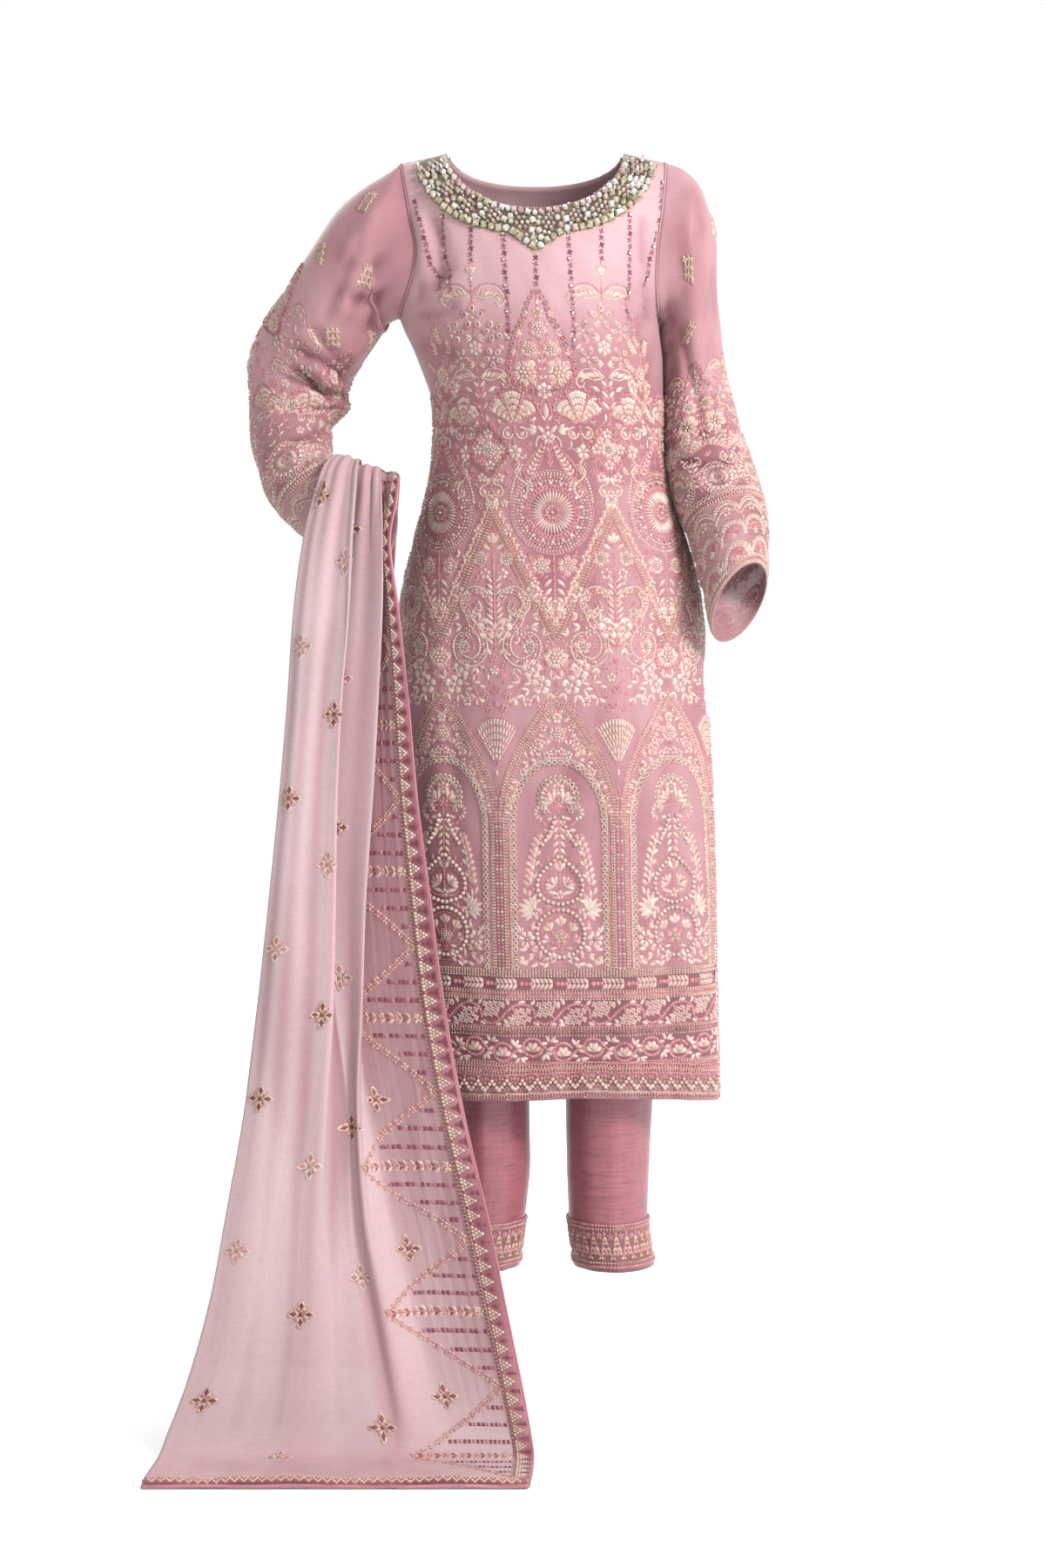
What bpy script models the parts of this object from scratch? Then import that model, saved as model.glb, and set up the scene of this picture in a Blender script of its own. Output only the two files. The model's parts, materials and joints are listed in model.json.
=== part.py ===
"""Salwar kameez suit, worn form: kameez, trousers and dupatta, each sewn piece its own solid.

Metres. +Z is up and -Y is the front. The origin is on the shoulder line at the
middle of the neck. Left and right in the names are the wearer's, so the
wearer's right is on the -X side. Every piece is a sheet worked out from the
tables of sizes below, and given its cloth thickness by a Solidify modifier.
"""

import math

import bpy
import numpy as np

# ---- driving sizes -------------------------------------------------------
FLOOR_Z = -1.460          # what the dupatta's end lies on
HEM_Z = -1.066            # kameez hem at the centre
HEM_DIP = 0.010           # how much lower the hem is at the side slits
SLIT_TOP_Z = -0.600
UNDERARM_Z = -0.183
SHOULDER_ROUND = 0.070    # height over which the shoulder rounds over to the chest
SHOULDER_DROP = 0.010     # the shoulder seam falls this much from neck to sleeve
NECK_HALF = 0.1000
NECK_DROP_FRONT = 0.0690
NECK_DROP_BACK = 0.0300
SEAM_GAP = 0.0005
CLOTH = 0.0012            # kameez and sleeves
RAW_SILK = 0.0014         # trousers
YOKE_THICK = 0.0022
BAND_THICK = 0.0010
DUPATTA_THICK = 0.0022    # the cloth doubled lengthwise
HEM_BAND_WIDTH = 0.034
CUFF_START = {-1: 0.750, 1: 0.80}  # share of a sleeve where its cuff band starts
TROUSER_CUFF_Z = -1.216
WAIST_Z = -0.400
WAISTBAND_HEIGHT = 0.035

# ---- tables --------------------------------------------------------------
# Kameez sections. left, right: outline at the sides. front, back: how far
# the cloth stands out from the side plane. slit: half the gap between panels.
BODY_COLUMNS = ("z", "axis", "left", "right", "front", "back", "slit")
BODY = (
    (0.010, -0.0010, -0.1780, 0.1740, 0.062, 0.060, 0.0000),
    (-0.050, -0.0010, -0.1730, 0.1700, 0.084, 0.078, 0.0000),
    (-0.110, -0.0005, -0.1680, 0.1620, 0.103, 0.090, 0.0000),
    (-0.150, 0.0000, -0.1630, 0.1510, 0.110, 0.092, 0.0000),
    (-0.183, 0.0010, -0.1555, 0.1400, 0.114, 0.091, 0.0000),
    (-0.231, 0.0050, -0.1345, 0.1450, 0.112, 0.085, 0.0000),
    (-0.292, 0.0110, -0.1165, 0.1460, 0.102, 0.078, 0.0000),
    (-0.345, 0.0150, -0.1190, 0.1485, 0.096, 0.079, 0.0000),
    (-0.415, 0.0185, -0.1340, 0.1655, 0.099, 0.093, 0.0000),
    (-0.483, 0.0205, -0.1510, 0.1860, 0.107, 0.106, 0.0000),
    (-0.547, 0.0220, -0.1590, 0.1935, 0.112, 0.114, 0.0000),
    (-0.600, 0.0228, -0.1605, 0.1925, 0.114, 0.116, 0.0002),
    (-0.650, 0.0235, -0.1585, 0.1975, 0.113, 0.115, 0.0040),
    (-0.775, 0.0260, -0.1510, 0.2035, 0.109, 0.110, 0.0130),
    (-0.915, 0.0290, -0.1390, 0.2065, 0.106, 0.106, 0.0230),
    (-1.100, 0.0325, -0.1270, 0.2095, 0.102, 0.103, 0.0340),
)
# Armhole seams seen from the front.
ARMHOLE_COLUMNS = ("z", "left_seam", "right_seam")
ARMHOLE = (
    (0.000, -0.1540, 0.1475),
    (-0.032, -0.1491, 0.1452),
    (-0.066, -0.1428, 0.1415),
    (-0.112, -0.1345, 0.1360),
    (-0.136, -0.1380, 0.1352),
    (-0.160, -0.1457, 0.1362),
    (-0.183, -0.1550, 0.1400),
)
# Sleeve sections from the armhole to the cuff. across and depth are half
# sizes. tilt turns the section in the front view (90 stands upright), yaw
# turns its outer side back, and rise lifts its front edge, in degrees.
SLEEVE_COLUMNS = ("x", "y", "z", "across", "depth", "tilt", "yaw", "rise")
SLEEVE_RIGHT = (
    (-0.1670, 0.002, -0.1030, 0.0885, 0.0610, 86, 0, 0),
    (-0.1830, 0.004, -0.1170, 0.0820, 0.0600, 98, 0, 0),
    (-0.2030, 0.008, -0.1330, 0.0730, 0.0575, 110, 0, 0),
    (-0.2260, 0.018, -0.1670, 0.0665, 0.0530, 120, 0, 0),
    (-0.2500, 0.032, -0.2020, 0.0635, 0.0500, 124, 0, 0),
    (-0.2658, 0.044, -0.2260, 0.0636, 0.0480, 138, 0, 0),
    (-0.2738, 0.052, -0.2560, 0.0633, 0.0470, 155, 0, 0),
    (-0.2830, 0.050, -0.2900, 0.0490, 0.0460, 164, 0, 0),
    (-0.2815, 0.036, -0.3170, 0.0460, 0.0450, 184, 0, 0),
    (-0.2770, 0.018, -0.3400, 0.0437, 0.0420, 190, 0, 0),
    (-0.2684, -0.004, -0.3638, 0.0432, 0.0400, 207, 0, 0),
    (-0.2517, -0.024, -0.3835, 0.0440, 0.0385, 220, 0, 0),
    (-0.2345, -0.038, -0.3955, 0.0450, 0.0390, 231, 0, 0),
    (-0.2130, -0.050, -0.4035, 0.0455, 0.0390, 244, 0, 0),
    (-0.1910, -0.060, -0.4095, 0.0460, 0.0385, 257, 0, 0),
    (-0.1740, -0.069, -0.4140, 0.0465, 0.0380, 268, 0, 0),
)
SLEEVE_LEFT = (
    (0.1560, 0.002, -0.1020, 0.0860, 0.0600, 80, 0, 0),
    (0.1650, 0.004, -0.1150, 0.0800, 0.0585, 74, 0, 0),
    (0.1710, 0.007, -0.1400, 0.0680, 0.0560, 64, 0, 0),
    (0.1740, 0.012, -0.1690, 0.0550, 0.0530, 56, 0, 0),
    (0.1770, 0.016, -0.2050, 0.0440, 0.0500, 42, 0, 0),
    (0.1810, 0.018, -0.2430, 0.0385, 0.0480, 28, 0, 0),
    (0.1860, 0.016, -0.2790, 0.0385, 0.0475, 20, 0, 0),
    (0.1925, 0.006, -0.3180, 0.0425, 0.0475, 16, 0, 0),
    (0.2015, -0.010, -0.3570, 0.0460, 0.0480, 14, 0, 0),
    (0.2120, -0.028, -0.3940, 0.0470, 0.0490, 16, 6, 4),
    (0.2200, -0.044, -0.4300, 0.0465, 0.0500, 20, 14, 10),
    (0.2255, -0.058, -0.4670, 0.0450, 0.0520, 26, 22, 22),
    (0.2290, -0.069, -0.5060, 0.0440, 0.0550, 31, 30, 36),
)
# Trousers: hip sections, then leg sections from the crotch to the ankle.
HIP_COLUMNS = ("z", "centre", "half_width", "front", "back")
HIP = (
    (-0.400, 0.0170, 0.1170, 0.082, 0.074),
    (-0.480, 0.0185, 0.1440, 0.090, 0.090),
    (-0.560, 0.0190, 0.1560, 0.094, 0.097),
    (-0.640, 0.0190, 0.1580, 0.093, 0.097),
    (-0.700, 0.0190, 0.1560, 0.090, 0.094),
)
LEG_COLUMNS = ("z", "outer", "inner", "front", "back")
LEG_RIGHT = (
    (-0.700, -0.1360, 0.0188, 0.086, 0.090),
    (-0.780, -0.1300, 0.0140, 0.080, 0.084),
    (-0.900, -0.1180, 0.0040, 0.074, 0.076),
    (-1.080, -0.1060, -0.0066, 0.064, 0.064),
    (-1.154, -0.1080, -0.0055, 0.060, 0.062),
    (-1.218, -0.1100, -0.0120, 0.058, 0.060),
    (-1.272, -0.1130, -0.0182, 0.058, 0.060),
)
LEG_LEFT = (
    (-0.700, 0.1740, 0.0192, 0.086, 0.090),
    (-0.780, 0.1680, 0.0230, 0.080, 0.084),
    (-0.900, 0.1520, 0.0290, 0.074, 0.076),
    (-1.080, 0.1357, 0.0345, 0.064, 0.064),
    (-1.154, 0.1320, 0.0360, 0.060, 0.062),
    (-1.218, 0.1300, 0.0385, 0.058, 0.060),
    (-1.272, 0.1372, 0.0450, 0.058, 0.060),
)
CROTCH_TOP_Z = -0.610     # the rise curve leaves the centre line here
CROTCH_Z = -0.700
# Dupatta, from behind the arm over it and down the front to its end on the
# floor. y: the front-most fold. left, fold_a, fold_b, right: what shows from
# the front. under_a, under_b: how far each hidden return of a fold reaches.
# fold: depth of the folds. skew, slope: how far it moves back and rises per
# metre to the left. length: metres along the cloth from the arm's top.
DUPATTA_COLUMNS = ("length", "y", "z", "left", "fold_a", "under_a", "fold_b", "under_b", "right", "fold", "skew", "slope")
DUPATTA = (
    (-1.060, 0.030, -1.398, -0.385, -0.290, -0.270, -0.205, -0.190, -0.120, 0.016, 0.00, 0.00),
    (-0.800, 0.026, -1.140, -0.345, -0.265, -0.250, -0.205, -0.190, -0.135, 0.016, 0.00, 0.00),
    (-0.500, 0.020, -0.840, -0.305, -0.240, -0.236, -0.205, -0.198, -0.160, 0.014, -0.05, 0.00),
    (-0.250, 0.020, -0.590, -0.262, -0.226, -0.230, -0.200, -0.202, -0.172, 0.010, -0.30, 0.00),
    (-0.110, 0.020, -0.458, -0.238, -0.212, -0.217, -0.188, -0.192, -0.162, 0.008, -0.70, 0.00),
    (-0.050, 0.012, -0.402, -0.222, -0.200, -0.205, -0.180, -0.184, -0.158, 0.006, -0.80, -0.05),
    (-0.025, -0.010, -0.3630, -0.2185, -0.199, -0.204, -0.178, -0.182, -0.155, 0.006, -0.80, -0.30),
    (0.000, -0.050, -0.3465, -0.2235, -0.199, -0.204, -0.176, -0.181, -0.153, 0.006, -0.80, -0.36),
    (0.028, -0.092, -0.3600, -0.237, -0.200, -0.208, -0.174, -0.182, -0.154, 0.008, -0.70, -0.32),
    (0.055, -0.119, -0.388, -0.246, -0.200, -0.212, -0.172, -0.184, -0.156, 0.010, -0.50, -0.22),
    (0.110, -0.132, -0.436, -0.259, -0.203, -0.222, -0.1705, -0.190, -0.163, 0.014, -0.30, -0.08),
    (0.190, -0.134, -0.513, -0.270, -0.207, -0.229, -0.171, -0.194, -0.154, 0.018, -0.10, 0.00),
    (0.295, -0.132, -0.618, -0.278, -0.216, -0.238, -0.176, -0.200, -0.143, 0.020, -0.08, 0.00),
    (0.400, -0.133, -0.722, -0.287, -0.221, -0.240, -0.182, -0.204, -0.134, 0.021, 0.00, 0.00),
    (0.515, -0.134, -0.837, -0.299, -0.223, -0.238, -0.190, -0.206, -0.119, 0.022, 0.00, 0.00),
    (0.630, -0.134, -0.952, -0.312, -0.226, -0.228, -0.194, -0.200, -0.104, 0.022, 0.00, 0.00),
    (0.748, -0.135, -1.070, -0.327, -0.234, -0.214, -0.198, -0.180, -0.083, 0.021, 0.00, 0.00),
    (0.876, -0.137, -1.198, -0.350, -0.242, -0.212, -0.188, -0.152, -0.054, 0.020, 0.00, 0.00),
    (0.966, -0.139, -1.288, -0.367, -0.244, -0.205, -0.170, -0.130, -0.036, 0.018, 0.00, 0.00),
    (1.053, -0.144, -1.375, -0.391, -0.248, -0.196, -0.152, -0.108, -0.018, 0.014, 0.00, 0.00),
    (1.118, -0.154, -1.436, -0.414, -0.255, -0.188, -0.140, -0.092, -0.006, 0.008, 0.00, 0.00),
    (1.150, -0.174, -1.4565, -0.422, -0.262, -0.188, -0.138, -0.088, -0.003, 0.001, 0.00, 0.00),
    (1.215, -0.238, -1.4570, -0.427, -0.270, -0.190, -0.140, -0.086, -0.005, 0.000, 0.00, 0.00),
    (1.270, -0.293, -1.4570, -0.428, -0.274, -0.192, -0.142, -0.086, -0.008, 0.000, 0.00, 0.00),
)
FOREARM_X = -0.195             # middle of the cloth where it crosses the arm
# how far each point of a section sinks between the ridges on top of the arm
RIDGES = (0.4, 0.0, 0.0, 0.1, 0.7, 0.4, 0.0, 0.8, 0.2, 0.3)
COLOURS = {
    "kameez": ((0.60, 0.31, 0.36), 0.62, 0.0),
    "raw_silk": ((0.47, 0.17, 0.22), 0.50, 0.0),
    "chiffon": ((0.72, 0.42, 0.47), 0.60, 0.0),
    "gold_work": ((0.45, 0.34, 0.18), 0.38, 0.6),
    "crystal": ((0.66, 0.62, 0.55), 0.18, 0.2),
    "border": ((0.34, 0.09, 0.14), 0.60, 0.0),
}


# ---- helpers -------------------------------------------------------------
def smooth(rows, at, column):
    """Monotone cubic through one column of a table, whose first column is the position."""
    x = np.array([row[0] for row in rows], float)
    y = np.array([row[column] for row in rows], float)
    if x[0] > x[-1]:
        x, y = x[::-1], y[::-1]
    at = np.clip(np.asarray(at, float), x[0], x[-1])
    h, d = np.diff(x), np.diff(y) / np.diff(x)
    m = np.empty_like(y)
    m[0], m[-1] = d[0], d[-1]
    for k in range(1, len(y) - 1):
        if d[k - 1] * d[k] <= 0:
            m[k] = 0
        else:
            w1, w2 = 2 * h[k] + h[k - 1], h[k] + 2 * h[k - 1]
            m[k] = (w1 + w2) / (w1 / d[k - 1] + w2 / d[k])
    i = np.clip(np.searchsorted(x, at, side="right") - 1, 0, len(x) - 2)
    t = (at - x[i]) / h[i]
    return (
        (2 * t**3 - 3 * t**2 + 1) * y[i]
        + (t**3 - 2 * t**2 + t) * h[i] * m[i]
        + (3 * t**2 - 2 * t**3) * y[i + 1]
        + (t**3 - t**2) * h[i] * m[i + 1]
    )


def column(columns, name):
    return columns.index(name)


def catmull(points, at):
    """Curve through points (first axis), read at positions 0..len-1."""
    points = np.asarray(points, float)
    last = len(points) - 1
    at = np.clip(at, 0, last)
    i = min(int(at), last - 1)
    t = at - i
    p1, p2 = points[i], points[i + 1]
    p0 = points[i - 1] if i > 0 else 2 * p1 - p2
    p3 = points[i + 2] if i + 2 <= last else 2 * p2 - p1
    return 0.5 * (
        2 * p1
        + (p2 - p0) * t
        + (2 * p0 - 5 * p1 + 4 * p2 - p3) * t**2
        + (3 * p1 - p0 - 3 * p2 + p3) * t**3
    )


def material(name):
    made = bpy.data.materials.get(name)
    if made is None:
        colour, rough, metal = COLOURS[name]
        made = bpy.data.materials.new(name)
        made.use_nodes = True
        shader = made.node_tree.nodes["Principled BSDF"]
        shader.inputs["Base Color"].default_value = (*colour, 1)
        shader.inputs["Roughness"].default_value = rough
        shader.inputs["Metallic"].default_value = metal
        made.diffuse_color = (*colour, 1)
    return made


def sheet(name, grid, thickness, look, around=False, side=-1, flip=False):
    """A grid of points (rows, columns, xyz) as cloth. around joins the last column to the first.
    side -1 puts the thickness behind the face, +1 in front."""
    grid = np.asarray(grid, float)
    rows, cols = grid.shape[:2]
    faces = []
    for r in range(rows - 1):
        for c in range(cols if around else cols - 1):
            d = (c + 1) % cols
            quad = (r * cols + c, (r + 1) * cols + c, (r + 1) * cols + d, r * cols + d)
            faces.append(quad[::-1] if flip else quad)
    mesh = bpy.data.meshes.new(name)
    mesh.from_pydata(grid.reshape(-1, 3).tolist(), [], faces)
    mesh.materials.append(material(look))
    mesh.shade_smooth()
    made = bpy.data.objects.new(name, mesh)
    bpy.context.scene.collection.objects.link(made)
    wall = made.modifiers.new("Cloth thickness", "SOLIDIFY")
    wall.thickness = thickness
    wall.offset = side
    wall.use_even_offset = False
    wall.use_rim = True
    return made


def normals_of(grid, around=False, flip=False):
    """Unit normals of a grid of points, on the side that sheet() faces."""
    grid = np.asarray(grid, float)
    down = np.gradient(grid, axis=0)
    if around:
        across = (np.roll(grid, -1, axis=1) - np.roll(grid, 1, axis=1)) / 2
    else:
        across = np.gradient(grid, axis=1)
    out = np.cross(down, across)
    out /= np.linalg.norm(out, axis=2, keepdims=True)
    return -out if flip else out


# ---- kameez --------------------------------------------------------------
SPREAD_TOP_Z, SPREAD_LOW_Z, SPREAD_ANGLE = -0.112, -0.290, math.radians(54)


def shoulder_z(x):
    return 0.002 - SHOULDER_DROP * np.clip((abs(x) - NECK_HALF) / 0.050, 0, 1.3)


def seam_x(z, side):
    """Edge of a panel: the armhole above the underarm, the outline below it."""
    if z < UNDERARM_Z:
        return float(smooth(BODY, z, column(BODY_COLUMNS, "left" if side < 0 else "right")))
    name = "left_seam" if side < 0 else "right_seam"
    return float(smooth(ARMHOLE, z, column(ARMHOLE_COLUMNS, name)))


def body_point(u, z, facing):
    """A point of the front (-1) or back (+1) panel. u runs -1..1 from seam to seam."""
    axis = float(smooth(BODY, z, 1))
    side = -1 if u < 0 else 1
    outline = float(smooth(BODY, z, 2 if side < 0 else 3))
    edge = math.asin(min(1.0, (seam_x(z, side) - axis) / (outline - axis)))
    # away from the seam the cloth spreads gradually down past the underarm
    inner = edge
    if z < SPREAD_TOP_Z:
        w = min(1.0, (SPREAD_TOP_Z - z) / (SPREAD_TOP_Z - SPREAD_LOW_Z))
        inner = SPREAD_ANGLE + (math.pi / 2 - SPREAD_ANGLE) * w * w * (3 - 2 * w)
    angle = abs(u) * inner + (edge - inner) * abs(u) ** 6
    x = axis + (outline - axis) * math.sin(angle)
    full = float(smooth(BODY, z, 4 if facing < 0 else 5))
    slit = float(smooth(BODY, z, 6))
    drop = max(0.0, shoulder_z(x) - z)
    rounded = min(drop / SHOULDER_ROUND, 1.0)
    cap = math.sqrt(max(0.0, 1 - (1 - rounded) ** 2))
    y = facing * (slit + (full - slit) * cap * math.cos(angle))
    return np.array([x, y, z])


def neckline_z(x, drop):
    inside = min(1.0, abs(x + 0.0005) / NECK_HALF)
    return 0.002 - drop * (1 - inside**2.3) ** (1 / 1.7)


def panel_top(u, facing):
    """Height of the panel's top edge: the neckline, or the shoulder seam."""
    drop = NECK_DROP_FRONT if facing < 0 else NECK_DROP_BACK
    z = -0.02
    for _ in range(60):
        x = body_point(u, z, facing)[0]
        if abs(x + 0.0005) < NECK_HALF:
            z = 0.5 * z + 0.5 * neckline_z(x, drop)
        else:
            z = 0.5 * z + 0.5 * shoulder_z(x)
    return z


def hem_z(u):
    return HEM_Z - HEM_DIP * u * u


PANEL_U = (-1, -0.86, -0.71, -0.56, -0.38, -0.19, 0, 0.19, 0.38, 0.56, 0.71, 0.86, 1)
TOP_SHARES = (0.0, 0.035, 0.13, 0.30, 0.55, 0.80, 1.0)
LEVELS = (-0.125, -0.150, -0.170, -0.183, -0.215, -0.255, -0.300, -0.350, -0.415, -0.483, -0.547, -0.605, -0.680, -0.790, -0.915)


def panel_grid(facing):
    columns = []
    for u in PANEL_U:
        top = panel_top(u, facing)
        heights = []
        for share in TOP_SHARES[:-1]:
            heights.append(top + (LEVELS[0] - top) * share)
        heights += list(LEVELS)
        heights += [hem_z(u) + HEM_BAND_WIDTH, hem_z(u)]
        points = []
        for z in heights:
            point = body_point(u, z, facing)
            point[1] += facing * SEAM_GAP * 0.8
            points.append(point)
        columns.append(points)
    grid = np.array(columns).transpose(1, 0, 2)
    # side seams and armholes pulled in by half a seam gap
    grid[:, 0, 0] += SEAM_GAP
    grid[:, -1, 0] -= SEAM_GAP
    return grid


def yoke_outer(t):
    """Outer edge of the yoke: x and z at t, -1..1 from shoulder to shoulder."""
    a = abs(t)
    x = math.copysign(0.1345 * math.sin(a * math.pi / 2) ** 1.0, t)
    z = -0.0935 * max(0.0, 1 - (abs(x) / 0.1352) ** 2.6) ** (1 / 1.9)
    point = 0.0215 * max(0.0, 1 - abs(x) / 0.031)
    return x, min(z - point, shoulder_z(x) - 0.0004)


def neck_inner(t, drop):
    x = math.copysign((NECK_HALF + 0.0002) * math.sin(abs(t) * math.pi / 2), t) - 0.0005
    return x, min(neckline_z(x, drop), shoulder_z(x) - 0.0004)


def front_at(x, z, facing=-1):
    """The panel's point at a given x and z, by solving for u."""
    low, high = -1.0, 1.0
    for _ in range(40):
        mid = (low + high) / 2
        if body_point(mid, z, facing)[0] < x:
            low = mid
        else:
            high = mid
    return body_point((low + high) / 2, z, facing)


def yoke_grid(steps=26, layers=3):
    grid = []
    for k in range(layers + 1):
        w = k / layers
        row = []
        for j in range(steps + 1):
            t = -1 + 2 * j / steps
            xi, zi = neck_inner(t, NECK_DROP_FRONT)
            xo, zo = yoke_outer(t)
            row.append(front_at(xi + (xo - xi) * w, zi + (zo - zi) * w))
        grid.append(row)
    return np.array(grid)


def binding_grid(steps=18):
    """Narrow strip under the edge of the back neckline."""
    inner, outer = [], []
    for j in range(steps + 1):
        t = -1 + 2 * j / steps
        x, z = neck_inner(t * 0.985, NECK_DROP_BACK)
        z -= 0.0020
        inner.append(front_at(x * 0.975, z, 1))
        outer.append(front_at(x * 1.02, z - 0.007, 1))
    return np.array([inner, outer])


# ---- sleeves -------------------------------------------------------------
SLEEVE_AROUND = 14


def armhole_loop(side, angle):
    """A point of the armhole seam. angle 0 is at the shoulder, 90 at the front, 180 at the underarm."""
    top, low = shoulder_z(seam_x(0.0, side)), UNDERARM_Z
    z = (top + low) / 2 + (top - low) / 2 * math.cos(angle)
    z = min(max(z, low + 1e-5), top - 1e-5)
    point = body_point(side * 1.0, z, -1 if math.sin(angle) >= 0 else 1)
    point[0] += side * 2.2 * SEAM_GAP
    return point


def sleeve_ring(row, heading, angle):
    """A point of a section, square to the sleeve's heading and then lifted by rise at the front."""
    x, y, z, across, depth, tilt, yaw, rise = row
    tilt, yaw, rise = (math.radians(v) for v in (tilt, yaw, rise))
    out = np.array([math.cos(tilt) * math.cos(yaw), math.sin(yaw), math.sin(tilt) * math.cos(yaw)])
    front = np.array([0.0, -1.0, 0.0])
    front -= out * out.dot(front)
    front /= np.linalg.norm(front)
    up = -np.cross(out, front)
    rise += math.atan(-front.dot(heading) / up.dot(heading))
    front = math.cos(rise) * front + math.sin(rise) * up
    return np.array([x, y, z]) + across * math.cos(angle) * out + depth * math.sin(angle) * front


def sleeve_point(side, along, angle):
    """along 0..1 from the armhole to the cuff's edge."""
    rows = SLEEVE_RIGHT if side < 0 else SLEEVE_LEFT
    headings = np.gradient(np.array([row[:3] for row in rows]), axis=0)
    rings = [armhole_loop(side, angle)]
    rings += [sleeve_ring(row, heading, angle) for row, heading in zip(rows, headings)]
    return catmull(rings, along * len(rows))


def sleeve_grid(side, start, end, steps):
    grid = []
    for k in range(steps + 1):
        along = start + (end - start) * k / steps
        grid.append([sleeve_point(side, along, 2 * math.pi * j / SLEEVE_AROUND) for j in range(SLEEVE_AROUND)])
    return np.array(grid)


# ---- trousers ------------------------------------------------------------
def hip_point(share, z, side, facing):
    """share 0 at the side seam, 1 at the centre seam."""
    centre, half, front, back = (float(smooth(HIP, z, k)) for k in (1, 2, 3, 4))
    angle = (1 - share) * math.pi / 2
    deep = front if facing < 0 else back
    return np.array([centre + side * half * math.sin(angle), facing * deep * math.cos(angle), z])


def leg_point(share, z, side, facing):
    table = LEG_LEFT if side > 0 else LEG_RIGHT
    outer, inner, front, back = (float(smooth(table, z, k)) for k in (1, 2, 3, 4))
    middle, half = (outer + inner) / 2, (outer - inner) / 2
    angle = share * math.pi
    deep = front if facing < 0 else back
    return np.array([middle + half * math.cos(angle), facing * deep * math.sin(angle), z])


def trouser_point(share, z, side, facing):
    w = min(1.0, max(0.0, (CROTCH_TOP_Z - z) / (CROTCH_TOP_Z - CROTCH_Z)))
    w = w * w * (3 - 2 * w)
    if w <= 0:
        return hip_point(share, z, side, facing)
    if w >= 1:
        return leg_point(share, z, side, facing)
    return (1 - w) * hip_point(share, max(z, CROTCH_Z), side, facing) + w * leg_point(share, CROTCH_Z, side, facing) * (1, 1, 0) + w * np.array([0, 0, z])


TROUSER_LEVELS = (-0.4025, -0.480, -0.560, -0.612, -0.640, -0.670, -0.700, -0.780, -0.900, -1.080, -1.154, TROUSER_CUFF_Z, -1.2715)
TROUSER_ACROSS = 7


def trouser_grid(side, facing):
    grid = []
    for z in TROUSER_LEVELS:
        row = []
        for j in range(TROUSER_ACROSS + 1):
            share = j / TROUSER_ACROSS
            point = trouser_point(share, z, side, facing)
            point[1] += facing * SEAM_GAP
            if share == 1:
                point[0] += side * SEAM_GAP
            row.append(point)
        grid.append(row)
    return np.array(grid)


def trouser_ring(side, levels):
    grid = []
    for z in levels:
        row = []
        for j in range(2 * TROUSER_ACROSS):
            facing = -1 if j <= TROUSER_ACROSS else 1
            share = j / TROUSER_ACROSS if facing < 0 else 2 - j / TROUSER_ACROSS
            point = trouser_point(share, z, side, facing)
            if j % TROUSER_ACROSS:
                point[1] += facing * SEAM_GAP
            row.append(point)
        grid.append(row)
    return np.array(grid)


def waistband_grid(around=20):
    grid = []
    for z in (WAIST_Z + WAISTBAND_HEIGHT, WAIST_Z - 0.0015):
        row = []
        for j in range(around):
            angle = 2 * math.pi * j / around
            centre, half, front, back = (float(smooth(HIP, WAIST_Z, k)) for k in (1, 2, 3, 4))
            deep = front if math.cos(angle) > 0 else back
            row.append([centre + half * math.sin(angle), -deep * math.cos(angle), z])
        grid.append(row)
    return np.array(grid)


# ---- dupatta -------------------------------------------------------------
def dupatta_section(row):
    """Ten points across the cloth, from its left fold to the bordered edge."""
    _, y, z, left, fold_a, under_a, fold_b, under_b, right, fold = row[:10]
    return (
        (left, y + 0.45 * fold, z),
        (left + 0.30 * (fold_a - left), y - 0.05 * fold, z),
        (left + 0.75 * (fold_a - left), y + 0.05 * fold, z),
        (fold_a, y, z),
        (under_a, y + 0.95 * fold, z),
        (under_a + 0.55 * (fold_b - under_a), y + 0.95 * fold, z),
        (fold_b, y + 0.55 * fold, z),
        (under_b, y + 1.50 * fold, z),
        (under_b + 0.50 * (right - under_b), y + 1.30 * fold, z),
        (right, y + 0.80 * fold, z),
    )


def dupatta_point(across, length):
    """across 0..9 along the section's points, length as in the table."""
    table = np.array(DUPATTA, float)
    place = np.interp(length, table[:, 0], np.arange(len(table)))
    row = catmull(table, place)
    flat = np.array(dupatta_section(row))
    # behind the arm the folds open backwards
    turn = np.clip(length / 0.05, -1, 1)
    y = row[1]
    flat[:, 1] = y + (flat[:, 1] - y) * turn
    if abs(length) < 0.05:
        flat[:, 2] -= (1 - abs(turn)) * row[9] * np.array(RIDGES)
    flat[:, 1] += row[10] * (flat[:, 0] - FOREARM_X)
    flat[:, 2] += row[11] * (flat[:, 0] - FOREARM_X)
    return catmull(flat, across)


ACROSS = (0, 0.6, 1.4, 2.3, 2.75, 3.0, 3.3, 3.7, 4.0, 4.35, 4.9, 5.6, 6.0, 6.35, 6.7, 7.0, 7.5, 8.6, 9.0)
BORDER_FROM = 8.6


def dupatta_grid(lengths, across=ACROSS):
    return np.array([[dupatta_point(s, length) for s in across] for length in lengths])


FRONT_LENGTHS = (0.0572, 0.085, 0.115, 0.150, 0.190, 0.240, 0.295, 0.400, 0.515, 0.630, 0.748, 0.876, 0.966, 1.053, 1.100, 1.1275, 1.145)
FLOOR_LENGTHS = (1.1457, 1.165, 1.215, 1.270)
ARM_LENGTHS = (-0.0480, -0.036, -0.024, -0.012, 0.0, 0.014, 0.028, 0.042, 0.0540)
BACK_LENGTHS = (-1.060, -0.800, -0.500, -0.250, -0.110, -0.075, -0.0520)


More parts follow.
